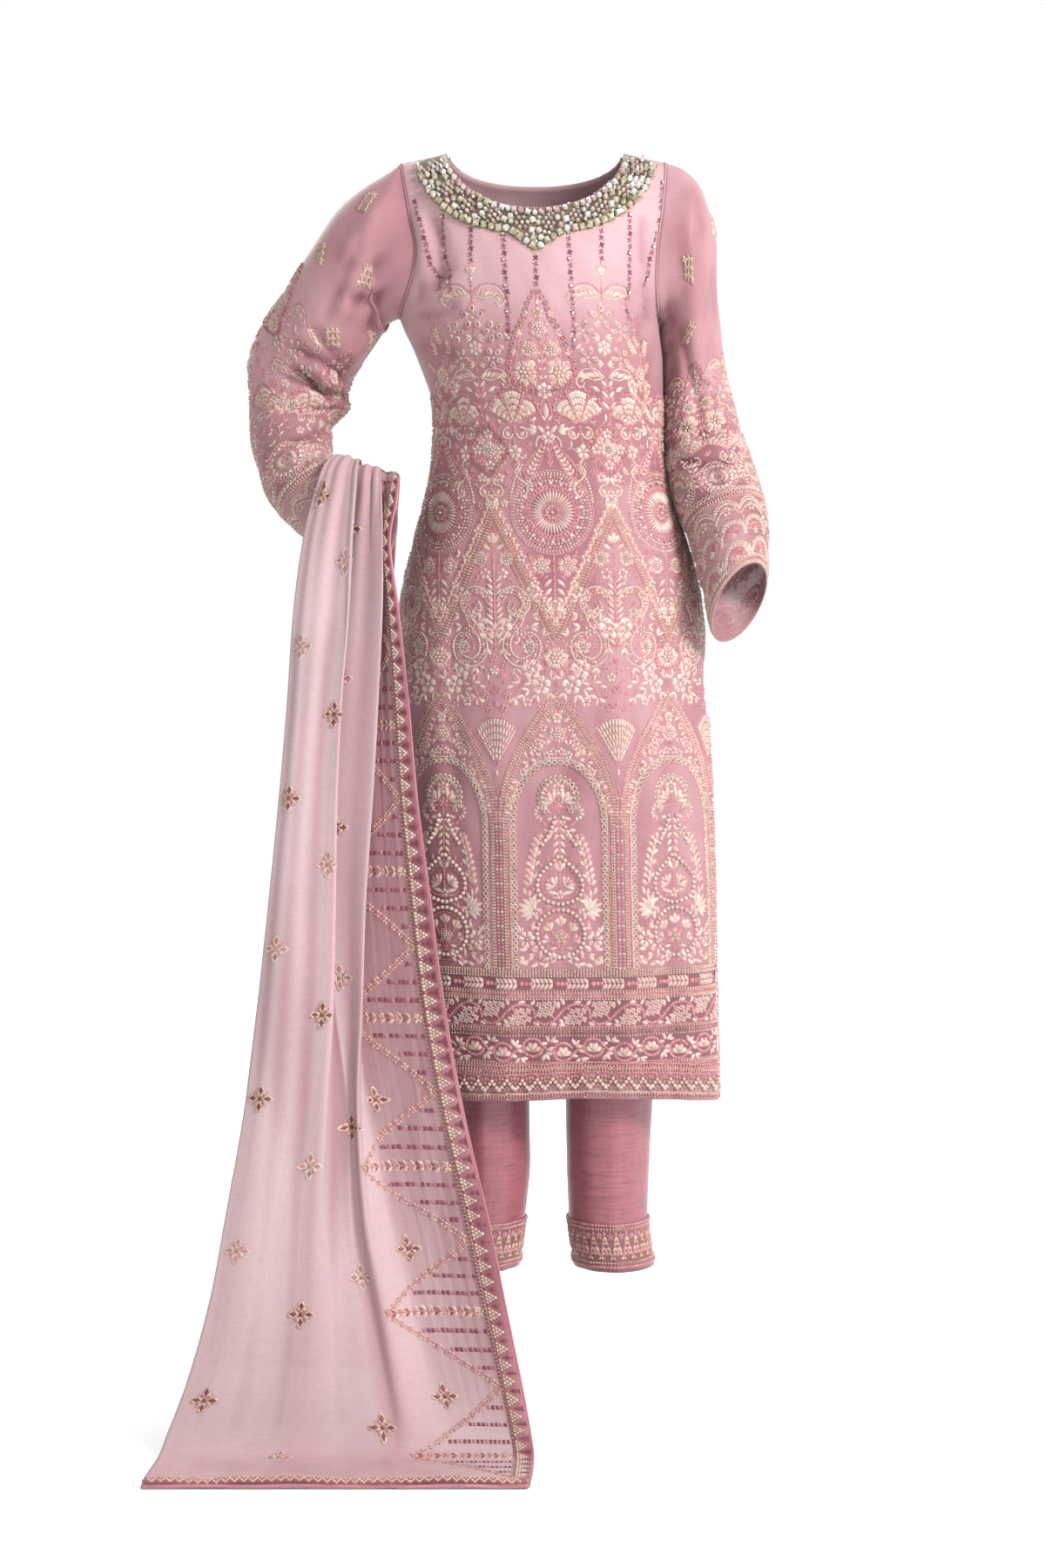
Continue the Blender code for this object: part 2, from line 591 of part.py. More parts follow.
# ---- build ---------------------------------------------------------------
def build():
    for old in list(bpy.data.objects):
        bpy.data.objects.remove(old)

    front, back = panel_grid(-1), panel_grid(1)
    sheet("kameez_front", front, CLOTH, "kameez")
    sheet("kameez_back", back, CLOTH, "kameez", flip=True)
    band = front[-2:] + normals_of(front)[-2:] * SEAM_GAP
    sheet("front_hem_band", band, BAND_THICK, "gold_work", side=1)
    band = back[-2:] + normals_of(back, flip=True)[-2:] * SEAM_GAP
    sheet("back_hem_band", band, BAND_THICK, "gold_work", side=1, flip=True)

    yoke = yoke_grid()
    yoke = yoke + normals_of(yoke) * 0.0011
    sheet("neck_yoke", yoke, YOKE_THICK, "crystal", side=1)
    binding = binding_grid()
    binding = binding + normals_of(binding, flip=True) * 0.0014
    sheet("neck_binding", binding, BAND_THICK, "border", side=1, flip=True)

    for side, name in ((-1, "right"), (1, "left")):
        flip = side > 0
        sheet(f"sleeve_{name}", sleeve_grid(side, 0, CUFF_START[side], 13), CLOTH, "kameez", around=True, flip=flip)
        sheet(f"sleeve_{name}_cuff", sleeve_grid(side, CUFF_START[side] + 0.004, 1, 3), CLOTH, "gold_work", around=True, flip=flip)
        for facing, where in ((-1, "front"), (1, "back")):
            grid = trouser_grid(side, facing)
            turned = (side > 0) == (facing < 0)
            sheet(f"trouser_{where}_{name}", grid, RAW_SILK, "raw_silk", flip=turned)
        ring = trouser_ring(side, (TROUSER_CUFF_Z, -1.2715))
        ring = ring + normals_of(ring, around=True, flip=side > 0) * 2.2 * SEAM_GAP
        sheet(f"trouser_cuff_{name}", ring, BAND_THICK, "gold_work", around=True, side=1, flip=side > 0)
    sheet("trouser_waistband", waistband_grid(), 0.002, "raw_silk", around=True)

    sheet("dupatta_back_fall", dupatta_grid(BACK_LENGTHS, ACROSS[::2] + (9.0,)), DUPATTA_THICK, "chiffon")
    sheet("dupatta_over_arm", dupatta_grid(ARM_LENGTHS), DUPATTA_THICK, "chiffon")
    fall = dupatta_grid(FRONT_LENGTHS)
    sheet("dupatta_front_fall", fall, DUPATTA_THICK, "chiffon")
    floor = dupatta_grid(FLOOR_LENGTHS)
    sheet("dupatta_floor_end", floor, DUPATTA_THICK, "chiffon")
    edge = fall[:, -2:] + normals_of(fall)[:, -2:] * SEAM_GAP
    sheet("dupatta_border", edge, BAND_THICK, "border", side=1)
    end = dupatta_grid((1.258, 1.270)) + np.array([0, 0, 0.0010])
    sheet("dupatta_end_trim", end, BAND_THICK, "border", side=1)


build()
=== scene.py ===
"""Salwar kameez suit in worn form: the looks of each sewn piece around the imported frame.

Metres, +Z up, -Y to the front, the origin on the shoulder line at the middle of the neck.
The cloth surfaces come from the same tables of sizes as the frame, at a finer step and
with soft creases. The thread work is drawn on them stitch by stitch, from formulas.
"""

import json
import math

import bpy
import numpy as np
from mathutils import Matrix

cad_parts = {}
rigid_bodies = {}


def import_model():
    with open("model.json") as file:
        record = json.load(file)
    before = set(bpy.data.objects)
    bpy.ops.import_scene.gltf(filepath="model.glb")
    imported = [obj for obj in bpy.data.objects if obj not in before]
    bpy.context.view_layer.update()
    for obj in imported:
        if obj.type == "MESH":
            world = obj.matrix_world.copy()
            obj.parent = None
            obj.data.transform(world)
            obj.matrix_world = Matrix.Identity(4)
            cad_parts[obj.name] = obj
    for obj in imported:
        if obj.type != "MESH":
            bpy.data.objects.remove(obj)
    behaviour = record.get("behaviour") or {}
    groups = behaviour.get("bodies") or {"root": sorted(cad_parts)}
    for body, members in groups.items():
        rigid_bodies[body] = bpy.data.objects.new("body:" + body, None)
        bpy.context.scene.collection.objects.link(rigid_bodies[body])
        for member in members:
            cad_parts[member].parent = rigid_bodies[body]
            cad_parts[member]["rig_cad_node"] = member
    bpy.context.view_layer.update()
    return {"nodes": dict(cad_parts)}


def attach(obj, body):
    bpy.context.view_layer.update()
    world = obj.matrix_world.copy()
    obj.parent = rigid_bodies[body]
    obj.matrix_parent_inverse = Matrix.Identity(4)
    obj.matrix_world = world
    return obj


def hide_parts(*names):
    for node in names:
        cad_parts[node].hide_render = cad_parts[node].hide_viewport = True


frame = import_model()
PI = math.pi
RNG = np.random.default_rng(7)

# ---- sizes, as in the frame ----------------------------------------------
FLOOR_Z = -1.460
HEM_Z, HEM_DIP = -1.066, 0.010
UNDERARM_Z = -0.183
SHOULDER_ROUND, SHOULDER_DROP = 0.070, 0.010
NECK_HALF, NECK_DROP_FRONT, NECK_DROP_BACK = 0.1000, 0.0690, 0.0300
SEAM_GAP = 0.0005
CLOTH = 0.0012
CUFF_START = {-1: 0.750, 1: 0.80}
TROUSER_CUFF_Z = -1.216
SPREAD_TOP_Z, SPREAD_LOW_Z, SPREAD_ANGLE = -0.112, -0.290, math.radians(54)

BODY = np.array((  # z, axis, left, right, front, back, slit
    (0.010, -0.0010, -0.1780, 0.1740, 0.062, 0.060, 0.0000),
    (-0.050, -0.0010, -0.1730, 0.1700, 0.084, 0.078, 0.0000),
    (-0.110, -0.0005, -0.1680, 0.1620, 0.103, 0.090, 0.0000),
    (-0.150, 0.0000, -0.1630, 0.1510, 0.110, 0.092, 0.0000),
    (-0.183, 0.0010, -0.1555, 0.1400, 0.114, 0.091, 0.0000),
    (-0.231, 0.0050, -0.1345, 0.1450, 0.112, 0.085, 0.0000),
    (-0.292, 0.0110, -0.1165, 0.1460, 0.102, 0.078, 0.0000),
    (-0.345, 0.0150, -0.1190, 0.1485, 0.096, 0.079, 0.0000),
    (-0.415, 0.0185, -0.1340, 0.1655, 0.099, 0.093, 0.0000),
    (-0.483, 0.0205, -0.1510, 0.1860, 0.107, 0.106, 0.0000),
    (-0.547, 0.0220, -0.1590, 0.1935, 0.112, 0.114, 0.0000),
    (-0.600, 0.0228, -0.1605, 0.1925, 0.114, 0.116, 0.0002),
    (-0.650, 0.0235, -0.1585, 0.1975, 0.113, 0.115, 0.0040),
    (-0.775, 0.0260, -0.1510, 0.2035, 0.109, 0.110, 0.0130),
    (-0.915, 0.0290, -0.1390, 0.2065, 0.106, 0.106, 0.0230),
    (-1.100, 0.0325, -0.1270, 0.2095, 0.102, 0.103, 0.0340),
))
ARMHOLE = np.array((  # z, left seam, right seam
    (0.000, -0.1540, 0.1475),
    (-0.032, -0.1491, 0.1452),
    (-0.066, -0.1428, 0.1415),
    (-0.112, -0.1345, 0.1360),
    (-0.136, -0.1380, 0.1352),
    (-0.160, -0.1457, 0.1362),
    (-0.183, -0.1550, 0.1400),
))
SLEEVE = {  # x, y, z, across, depth, tilt, yaw, rise
    -1: np.array((
        (-0.1670, 0.002, -0.1030, 0.0885, 0.0610, 86, 0, 0),
        (-0.1830, 0.004, -0.1170, 0.0820, 0.0600, 98, 0, 0),
        (-0.2030, 0.008, -0.1330, 0.0730, 0.0575, 110, 0, 0),
        (-0.2260, 0.018, -0.1670, 0.0665, 0.0530, 120, 0, 0),
        (-0.2500, 0.032, -0.2020, 0.0635, 0.0500, 124, 0, 0),
        (-0.2658, 0.044, -0.2260, 0.0636, 0.0480, 138, 0, 0),
        (-0.2738, 0.052, -0.2560, 0.0633, 0.0470, 155, 0, 0),
        (-0.2830, 0.050, -0.2900, 0.0490, 0.0460, 164, 0, 0),
        (-0.2815, 0.036, -0.3170, 0.0460, 0.0450, 184, 0, 0),
        (-0.2770, 0.018, -0.3400, 0.0437, 0.0420, 190, 0, 0),
        (-0.2684, -0.004, -0.3638, 0.0432, 0.0400, 207, 0, 0),
        (-0.2517, -0.024, -0.3835, 0.0440, 0.0385, 220, 0, 0),
        (-0.2345, -0.038, -0.3955, 0.0450, 0.0390, 231, 0, 0),
        (-0.2130, -0.050, -0.4035, 0.0455, 0.0390, 244, 0, 0),
        (-0.1910, -0.060, -0.4095, 0.0460, 0.0385, 257, 0, 0),
        (-0.1740, -0.069, -0.4140, 0.0465, 0.0380, 268, 0, 0),
    )),
    1: np.array((
        (0.1560, 0.002, -0.1020, 0.0860, 0.0600, 80, 0, 0),
        (0.1650, 0.004, -0.1150, 0.0800, 0.0585, 74, 0, 0),
        (0.1710, 0.007, -0.1400, 0.0680, 0.0560, 64, 0, 0),
        (0.1740, 0.012, -0.1690, 0.0550, 0.0530, 56, 0, 0),
        (0.1770, 0.016, -0.2050, 0.0440, 0.0500, 42, 0, 0),
        (0.1810, 0.018, -0.2430, 0.0385, 0.0480, 28, 0, 0),
        (0.1860, 0.016, -0.2790, 0.0385, 0.0475, 20, 0, 0),
        (0.1925, 0.006, -0.3180, 0.0425, 0.0475, 16, 0, 0),
        (0.2015, -0.010, -0.3570, 0.0460, 0.0480, 14, 0, 0),
        (0.2120, -0.028, -0.3940, 0.0470, 0.0490, 16, 6, 4),
        (0.2200, -0.044, -0.4300, 0.0465, 0.0500, 20, 14, 10),
        (0.2255, -0.058, -0.4670, 0.0450, 0.0520, 26, 22, 22),
        (0.2290, -0.069, -0.5060, 0.0440, 0.0550, 31, 30, 36),
    )),
}
HIP = np.array((  # z, centre, half width, front, back
    (-0.400, 0.0170, 0.1170, 0.082, 0.074),
    (-0.480, 0.0185, 0.1440, 0.090, 0.090),
    (-0.560, 0.0190, 0.1560, 0.094, 0.097),
    (-0.640, 0.0190, 0.1580, 0.093, 0.097),
    (-0.700, 0.0190, 0.1560, 0.090, 0.094),
))
LEG = {  # z, outer, inner, front, back
    -1: np.array((
        (-0.700, -0.1360, 0.0188, 0.086, 0.090),
        (-0.780, -0.1300, 0.0140, 0.080, 0.084),
        (-0.900, -0.1180, 0.0040, 0.074, 0.076),
        (-1.080, -0.1060, -0.0066, 0.064, 0.064),
        (-1.154, -0.1080, -0.0055, 0.060, 0.062),
        (-1.218, -0.1100, -0.0120, 0.058, 0.060),
        (-1.272, -0.1130, -0.0182, 0.058, 0.060),
    )),
    1: np.array((
        (-0.700, 0.1740, 0.0192, 0.086, 0.090),
        (-0.780, 0.1680, 0.0230, 0.080, 0.084),
        (-0.900, 0.1520, 0.0290, 0.074, 0.076),
        (-1.080, 0.1357, 0.0345, 0.064, 0.064),
        (-1.154, 0.1320, 0.0360, 0.060, 0.062),
        (-1.218, 0.1300, 0.0385, 0.058, 0.060),
        (-1.272, 0.1372, 0.0450, 0.058, 0.060),
    )),
}
CROTCH_TOP_Z, CROTCH_Z = -0.610, -0.700
DUPATTA = np.array((  # length, y, z, left, fold_a, under_a, fold_b, under_b, right, fold, skew, slope
    (-1.060, 0.030, -1.398, -0.385, -0.290, -0.270, -0.205, -0.190, -0.120, 0.016, 0.00, 0.00),
    (-0.800, 0.026, -1.140, -0.345, -0.265, -0.250, -0.205, -0.190, -0.135, 0.016, 0.00, 0.00),
    (-0.500, 0.020, -0.840, -0.305, -0.240, -0.236, -0.205, -0.198, -0.160, 0.014, -0.05, 0.00),
    (-0.250, 0.020, -0.590, -0.262, -0.226, -0.230, -0.200, -0.202, -0.172, 0.010, -0.30, 0.00),
    (-0.110, 0.020, -0.458, -0.238, -0.212, -0.217, -0.188, -0.192, -0.162, 0.008, -0.70, 0.00),
    (-0.050, 0.012, -0.402, -0.222, -0.200, -0.205, -0.180, -0.184, -0.158, 0.006, -0.80, -0.05),
    (-0.025, -0.010, -0.3630, -0.2185, -0.199, -0.204, -0.178, -0.182, -0.155, 0.006, -0.80, -0.30),
    (0.000, -0.050, -0.3465, -0.2235, -0.199, -0.204, -0.176, -0.181, -0.153, 0.006, -0.80, -0.36),
    (0.028, -0.092, -0.3600, -0.237, -0.200, -0.208, -0.174, -0.182, -0.154, 0.008, -0.70, -0.32),
    (0.055, -0.119, -0.388, -0.246, -0.200, -0.212, -0.172, -0.184, -0.156, 0.010, -0.50, -0.22),
    (0.110, -0.132, -0.436, -0.259, -0.203, -0.222, -0.1705, -0.190, -0.163, 0.014, -0.30, -0.08),
    (0.190, -0.134, -0.513, -0.270, -0.207, -0.229, -0.171, -0.194, -0.154, 0.018, -0.10, 0.00),
    (0.295, -0.132, -0.618, -0.278, -0.216, -0.238, -0.176, -0.200, -0.143, 0.020, -0.08, 0.00),
    (0.400, -0.133, -0.722, -0.287, -0.221, -0.240, -0.182, -0.204, -0.134, 0.021, 0.00, 0.00),
    (0.515, -0.134, -0.837, -0.299, -0.223, -0.238, -0.190, -0.206, -0.119, 0.022, 0.00, 0.00),
    (0.630, -0.134, -0.952, -0.312, -0.226, -0.228, -0.194, -0.200, -0.104, 0.022, 0.00, 0.00),
    (0.748, -0.135, -1.070, -0.327, -0.234, -0.214, -0.198, -0.180, -0.083, 0.021, 0.00, 0.00),
    (0.876, -0.137, -1.198, -0.350, -0.242, -0.212, -0.188, -0.152, -0.054, 0.020, 0.00, 0.00),
    (0.966, -0.139, -1.288, -0.367, -0.244, -0.205, -0.170, -0.130, -0.036, 0.018, 0.00, 0.00),
    (1.053, -0.144, -1.375, -0.391, -0.248, -0.196, -0.152, -0.108, -0.018, 0.014, 0.00, 0.00),
    (1.118, -0.154, -1.436, -0.414, -0.255, -0.188, -0.140, -0.092, -0.006, 0.008, 0.00, 0.00),
    (1.150, -0.174, -1.4565, -0.422, -0.262, -0.188, -0.138, -0.088, -0.003, 0.001, 0.00, 0.00),
    (1.215, -0.238, -1.4570, -0.427, -0.270, -0.190, -0.140, -0.086, -0.005, 0.000, 0.00, 0.00),
    (1.270, -0.293, -1.4570, -0.428, -0.274, -0.192, -0.142, -0.086, -0.008, 0.000, 0.00, 0.00),
))
FOREARM_X = -0.195
RIDGES = np.array((0.4, 0.0, 0.0, 0.1, 0.7, 0.4, 0.0, 0.8, 0.2, 0.3))


# ---- curves through the tables -------------------------------------------
def smooth(rows, at, column):
    """Monotone cubic through one column of a table, whose first column is the position."""
    x, y = rows[:, 0].astype(float), rows[:, column].astype(float)
    if x[0] > x[-1]:
        x, y = x[::-1], y[::-1]
    at = np.clip(np.asarray(at, float), x[0], x[-1])
    h, d = np.diff(x), np.diff(y) / np.diff(x)
    m = np.empty_like(y)
    m[0], m[-1] = d[0], d[-1]
    for k in range(1, len(y) - 1):
        if d[k - 1] * d[k] <= 0:
            m[k] = 0
        else:
            w1, w2 = 2 * h[k] + h[k - 1], h[k] + 2 * h[k - 1]
            m[k] = (w1 + w2) / (w1 / d[k - 1] + w2 / d[k])
    i = np.clip(np.searchsorted(x, at, side="right") - 1, 0, len(x) - 2)
    t = (at - x[i]) / h[i]
    return (
        (2 * t**3 - 3 * t**2 + 1) * y[i]
        + (t**3 - 2 * t**2 + t) * h[i] * m[i]
        + (3 * t**2 - 2 * t**3) * y[i + 1]
        + (t**3 - t**2) * h[i] * m[i + 1]
    )


def catmull(points, at):
    """Curve through points (first axis), read at each of the positions at, 0..len-1."""
    points = np.asarray(points, float)
    last = len(points) - 1
    at = np.clip(np.asarray(at, float), 0, last)
    i = np.minimum(at.astype(int), last - 1)
    t = (at - i).reshape(at.shape + (1,) * (points.ndim - 1))
    padded = np.concatenate([2 * points[:1] - points[1:2], points, 2 * points[-1:] - points[-2:-1]])
    p0, p1, p2, p3 = padded[i], padded[i + 1], padded[i + 2], padded[i + 3]
    return 0.5 * (2 * p1 + (p2 - p0) * t + (2 * p0 - 5 * p1 + 4 * p2 - p3) * t**2 + (3 * p1 - p0 - 3 * p2 + p3) * t**3)


def step(low, high, x):
    t = np.clip((x - low) / (high - low), 0, 1)
    return t * t * (3 - 2 * t)


def unit(v):
    return v / np.maximum(np.linalg.norm(v, axis=-1, keepdims=True), 1e-12)


def grid_normals(grid, around=False):
    """Normals of a grid of points: down the rows crossed with across the columns."""
    down = np.gradient(grid, axis=0)
    across = (np.roll(grid, -1, 1) - np.roll(grid, 1, 1)) / 2 if around else np.gradient(grid, axis=1)
    return unit(np.cross(down, across))


def ridge(px, pz, line, width, height, fade=0.25):
    """A soft ridge (or trough) along a line of points, for points given in the same plane."""
    line = np.asarray(line, float)
    best = np.full(px.shape, 1e9)
    place = np.zeros(px.shape)
    lengths = np.hypot(*(np.diff(line, axis=0).T))
    total, run = lengths.sum(), 0.0
    for (ax, az), (bx, bz), size in zip(line[:-1], line[1:], lengths):
        t = np.clip(((px - ax) * (bx - ax) + (pz - az) * (bz - az)) / size**2, 0, 1)
        d = np.hypot(px - ax - t * (bx - ax), pz - az - t * (bz - az))
        near = d < best
        best = np.where(near, d, best)
        place = np.where(near, (run + t * size) / total, place)
        run += size
    ends = step(0, fade, place) * step(0, fade, 1 - place) if fade else 1.0
    return height * np.exp(-((best / width) ** 2)) * ends


# ---- kameez surfaces -----------------------------------------------------
def shoulder_z(x):
    return 0.002 - SHOULDER_DROP * np.clip((np.abs(x) - NECK_HALF) / 0.050, 0, 1.3)


def body_points(u, z, facing):
    u, z = np.broadcast_arrays(np.asarray(u, float), np.asarray(z, float))
    axis = smooth(BODY, z, 1)
    outline = np.where(u < 0, smooth(BODY, z, 2), smooth(BODY, z, 3))
    hole = np.where(u < 0, smooth(ARMHOLE, z, 1), smooth(ARMHOLE, z, 2))
    seam = np.where(z < UNDERARM_Z, outline, hole)
    edge = np.arcsin(np.minimum(1.0, (seam - axis) / (outline - axis)))
    w = np.clip((SPREAD_TOP_Z - z) / (SPREAD_TOP_Z - SPREAD_LOW_Z), 0, 1)
    inner = np.where(z < SPREAD_TOP_Z, SPREAD_ANGLE + (PI / 2 - SPREAD_ANGLE) * w * w * (3 - 2 * w), edge)
    a = np.abs(u)
    angle = a * inner + (edge - inner) * a**6
    x = axis + (outline - axis) * np.sin(angle)
    full = smooth(BODY, z, 4 if facing < 0 else 5)
    slit = smooth(BODY, z, 6)
    rounded = np.minimum(np.maximum(0.0, shoulder_z(x) - z) / SHOULDER_ROUND, 1.0)
    cap = np.sqrt(np.maximum(0.0, 1 - (1 - rounded) ** 2))
    return np.stack([x, facing * (slit + (full - slit) * cap * np.cos(angle)), z], -1)


def neckline_z(x, drop):
    inside = np.minimum(1.0, np.abs(x + 0.0005) / NECK_HALF)
    return 0.002 - drop * (1 - inside**2.3) ** (1 / 1.7)


def panel_top(u, facing):
    drop = NECK_DROP_FRONT if facing < 0 else NECK_DROP_BACK
    z = np.full(np.shape(u), -0.02)
    for _ in range(60):
        x = body_points(u, z, facing)[..., 0]
        z = 0.5 * z + 0.5 * np.where(np.abs(x + 0.0005) < NECK_HALF, neckline_z(x, drop), shoulder_z(x))
    return z


def hem_z(u):
    return HEM_Z - HEM_DIP * u * u + 0.0020 * np.sin(5.2 * u + 0.6) * (1 - u * u)


def body_creases(p, facing):
    """Height of the folds at each point of a panel, in metres."""
    x, z = p[..., 0], p[..., 2]
    h = np.zeros(x.shape)
    if facing < 0:
        # drag folds from the underarms towards the bust
        h += ridge(x, z, [(-0.150, -0.165), (-0.118, -0.150), (-0.086, -0.124)], 0.0085, -0.0052)
        h += ridge(x, z, [(-0.150, -0.184), (-0.112, -0.184), (-0.080, -0.170)], 0.0090, -0.0056)
        h += ridge(x, z, [(-0.146, -0.206), (-0.112, -0.220), (-0.080, -0.232)], 0.0090, -0.0050)
        h += ridge(x, z, [(-0.136, -0.060), (-0.128, -0.100), (-0.134, -0.140)], 0.0080, 0.0030)
        h += ridge(x, z, [(-0.117, -0.060), (-0.108, -0.110), (-0.112, -0.160)], 0.0100, -0.0044)
        h += ridge(x, z, [(0.140, -0.152), (0.126, -0.186), (0.108, -0.222)], 0.0085, -0.0056)
        h += ridge(x, z, [(0.139, -0.140), (0.117, -0.160), (0.094, -0.184)], 0.0085, -0.0040)
        h += ridge(x, z, [(0.139, -0.195), (0.130, -0.250), (0.126, -0.310)], 0.0090, -0.0052)
        h += ridge(x, z, [(0.124, -0.060), (0.120, -0.105), (0.126, -0.145)], 0.0085, -0.0034)
        # small drags at the waist
        h += ridge(x, z, [(-0.116, -0.268), (-0.085, -0.280), (-0.050, -0.285)], 0.0060, -0.0018)
        h += ridge(x, z, [(-0.118, -0.312), (-0.090, -0.318), (-0.055, -0.312)], 0.0070, -0.0020)
        h += ridge(x, z, [(-0.118, -0.350), (-0.088, -0.345), (-0.050, -0.348)], 0.0065, 0.0016)
        h += ridge(x, z, [(0.146, -0.285), (0.112, -0.300), (0.075, -0.300)], 0.0065, -0.0020)
        h += ridge(x, z, [(0.148, -0.330), (0.112, -0.336), (0.072, -0.328)], 0.0065, 0.0016)
        h += ridge(x, z, [(0.150, -0.372), (0.118, -0.365), (0.078, -0.372)], 0.0065, -0.0018)
        # long soft folds of the skirt
        h += ridge(x, z, [(-0.086, -0.46), (-0.092, -0.70), (-0.082, -0.90), (-0.086, -1.08)], 0.0150, -0.0032, 0.2) * 1.0
        h += ridge(x, z, [(-0.036, -0.62), (-0.034, -0.85), (-0.028, -1.10)], 0.0140, 0.0028, 0)
        h += ridge(x, z, [(0.034, -0.70), (0.038, -0.90), (0.042, -1.10)], 0.0130, -0.0026, 0)
        h += ridge(x, z, [(0.088, -0.55), (0.098, -0.80), (0.108, -1.10)], 0.0130, 0.0030, 0)
        h += ridge(x, z, [(0.140, -0.50), (0.152, -0.78), (0.158, -1.10)], 0.0140, -0.0034, 0)
        h += ridge(x, z, [(-0.120, -0.75), (-0.116, -1.10)], 0.0080, 0.0022, 0)
    else:
        h += ridge(x, z, [(-0.150, -0.150), (-0.110, -0.172), (-0.070, -0.170)], 0.0070, -0.0030)
        h += ridge(x, z, [(-0.148, -0.182), (-0.105, -0.202), (-0.066, -0.206)], 0.0070, -0.0026)
        h += ridge(x, z, [(0.138, -0.150), (0.104, -0.176), (0.070, -0.178)], 0.0070, -0.0030)
        h += ridge(x, z, [(0.142, -0.195), (0.108, -0.214), (0.068, -0.212)], 0.0070, -0.0024)
        for k, zz in enumerate((-0.262, -0.296, -0.332, -0.368)):
            h += ridge(x, z, [(-0.112, zz), (-0.040, zz - 0.010), (0.050, zz - 0.006), (0.130, zz + 0.004)], 0.0085, (-1) ** k * 0.0024, 0.3)
        h += ridge(x, z, [(-0.095, -0.44), (-0.100, -0.75), (-0.094, -1.10)], 0.0150, 0.0034, 0)
        h += ridge(x, z, [(-0.040, -0.50), (-0.046, -0.80), (-0.040, -1.10)], 0.0150, -0.0036, 0)
        h += ridge(x, z, [(0.022, -0.62), (0.026, -1.10)], 0.0150, 0.0030, 0)
        h += ridge(x, z, [(0.084, -0.46), (0.092, -0.80), (0.098, -1.10)], 0.0150, -0.0036, 0)
        h += ridge(x, z, [(0.142, -0.55), (0.150, -1.10)], 0.0130, 0.0030, 0)
        h += ridge(x, z, [(-0.060, -0.060), (-0.066, -0.150)], 0.010, -0.0016)
        h += ridge(x, z, [(0.066, -0.055), (0.070, -0.150)], 0.010, -0.0016)
    low = step(-0.45, -0.95, z)
    h += 0.0006 * np.sin(x * 95 + 3 * np.sin(z * 9)) * low
    h += 0.0004 * np.sin(x * 160 + z * 40) * np.sin(z * 70 + x * 30)
    return h * 1.30


class Surface:
    """A field of points over a regular grid (rows by v, columns by u), read between its points."""

    def __init__(self, u, v, points, normals):
        self.u, self.v, self.p, self.n = u, v, points, normals

    def at(self, u, v):
        u, v = np.broadcast_arrays(np.asarray(u, float), np.asarray(v, float))
        i = np.clip((v - self.v[0]) / (self.v[-1] - self.v[0]) * (len(self.v) - 1), 0, len(self.v) - 1.0001)
        j = np.clip((u - self.u[0]) / (self.u[-1] - self.u[0]) * (len(self.u) - 1), 0, len(self.u) - 1.0001)
        i0, j0 = i.astype(int), j.astype(int)
        s, t = (i - i0)[..., None], (j - j0)[..., None]

        def mix(f):
            return (1 - s) * ((1 - t) * f[i0, j0] + t * f[i0, j0 + 1]) + s * ((1 - t) * f[i0 + 1, j0] + t * f[i0 + 1, j0 + 1])

        return mix(self.p), unit(mix(self.n))


def panel_surface(facing):
    u = np.linspace(-1, 1, 221)
    z = np.linspace(0.008, -1.085, 460)
    p = body_points(u[None, :], z[:, None], facing)
    p[..., 1] += facing * SEAM_GAP * 0.8
    n = grid_normals(p) * (1 if facing < 0 else -1)
    edge = 1 - np.abs(u[None, :])
    pinned = np.where(z[:, None] > -0.60, step(0.0, 0.10, edge), step(0.0, 0.04, edge))
    pinned = pinned * step(-0.004, -0.060, z[:, None])
    h = body_creases(p, facing) * pinned
    p = p + n * h[..., None]
    n = grid_normals(p) * (1 if facing < 0 else -1)
    return Surface(u, z, p, n)


# ---- sleeve surfaces -----------------------------------------------------
def armhole_loop(side, angle):
    top, low = float(shoulder_z(smooth(ARMHOLE, 0.0, 1 if side < 0 else 2))), UNDERARM_Z
    z = np.clip((top + low) / 2 + (top - low) / 2 * np.cos(angle), low + 1e-5, top - 1e-5)
    ones = np.full(np.shape(z), float(side))
    front, back = body_points(ones, z, -1), body_points(ones, z, 1)
    p = np.where((np.sin(angle) >= 0)[..., None], front, back)
    p[..., 0] += side * 2.2 * SEAM_GAP
    return p


def sleeve_rings(side, angle):
    rows = SLEEVE[side]
    headings = np.gradient(rows[:, :3], axis=0)
    rings = [armhole_loop(side, angle)]
    for row, heading in zip(rows, headings):
        centre, across, depth = row[:3], row[3], row[4]
        tilt, yaw, rise = np.radians(row[5:8])
        out = np.array([math.cos(tilt) * math.cos(yaw), math.sin(yaw), math.sin(tilt) * math.cos(yaw)])
        front = np.array([0.0, -1.0, 0.0])
        front = unit(front - out * out.dot(front))
        up = -np.cross(out, front)
        rise += math.atan(-front.dot(heading) / up.dot(heading))
        front = math.cos(rise) * front + math.sin(rise) * up
        rings.append(centre + across * np.cos(angle)[:, None] * out + depth * np.sin(angle)[:, None] * front)
    return np.array(rings)


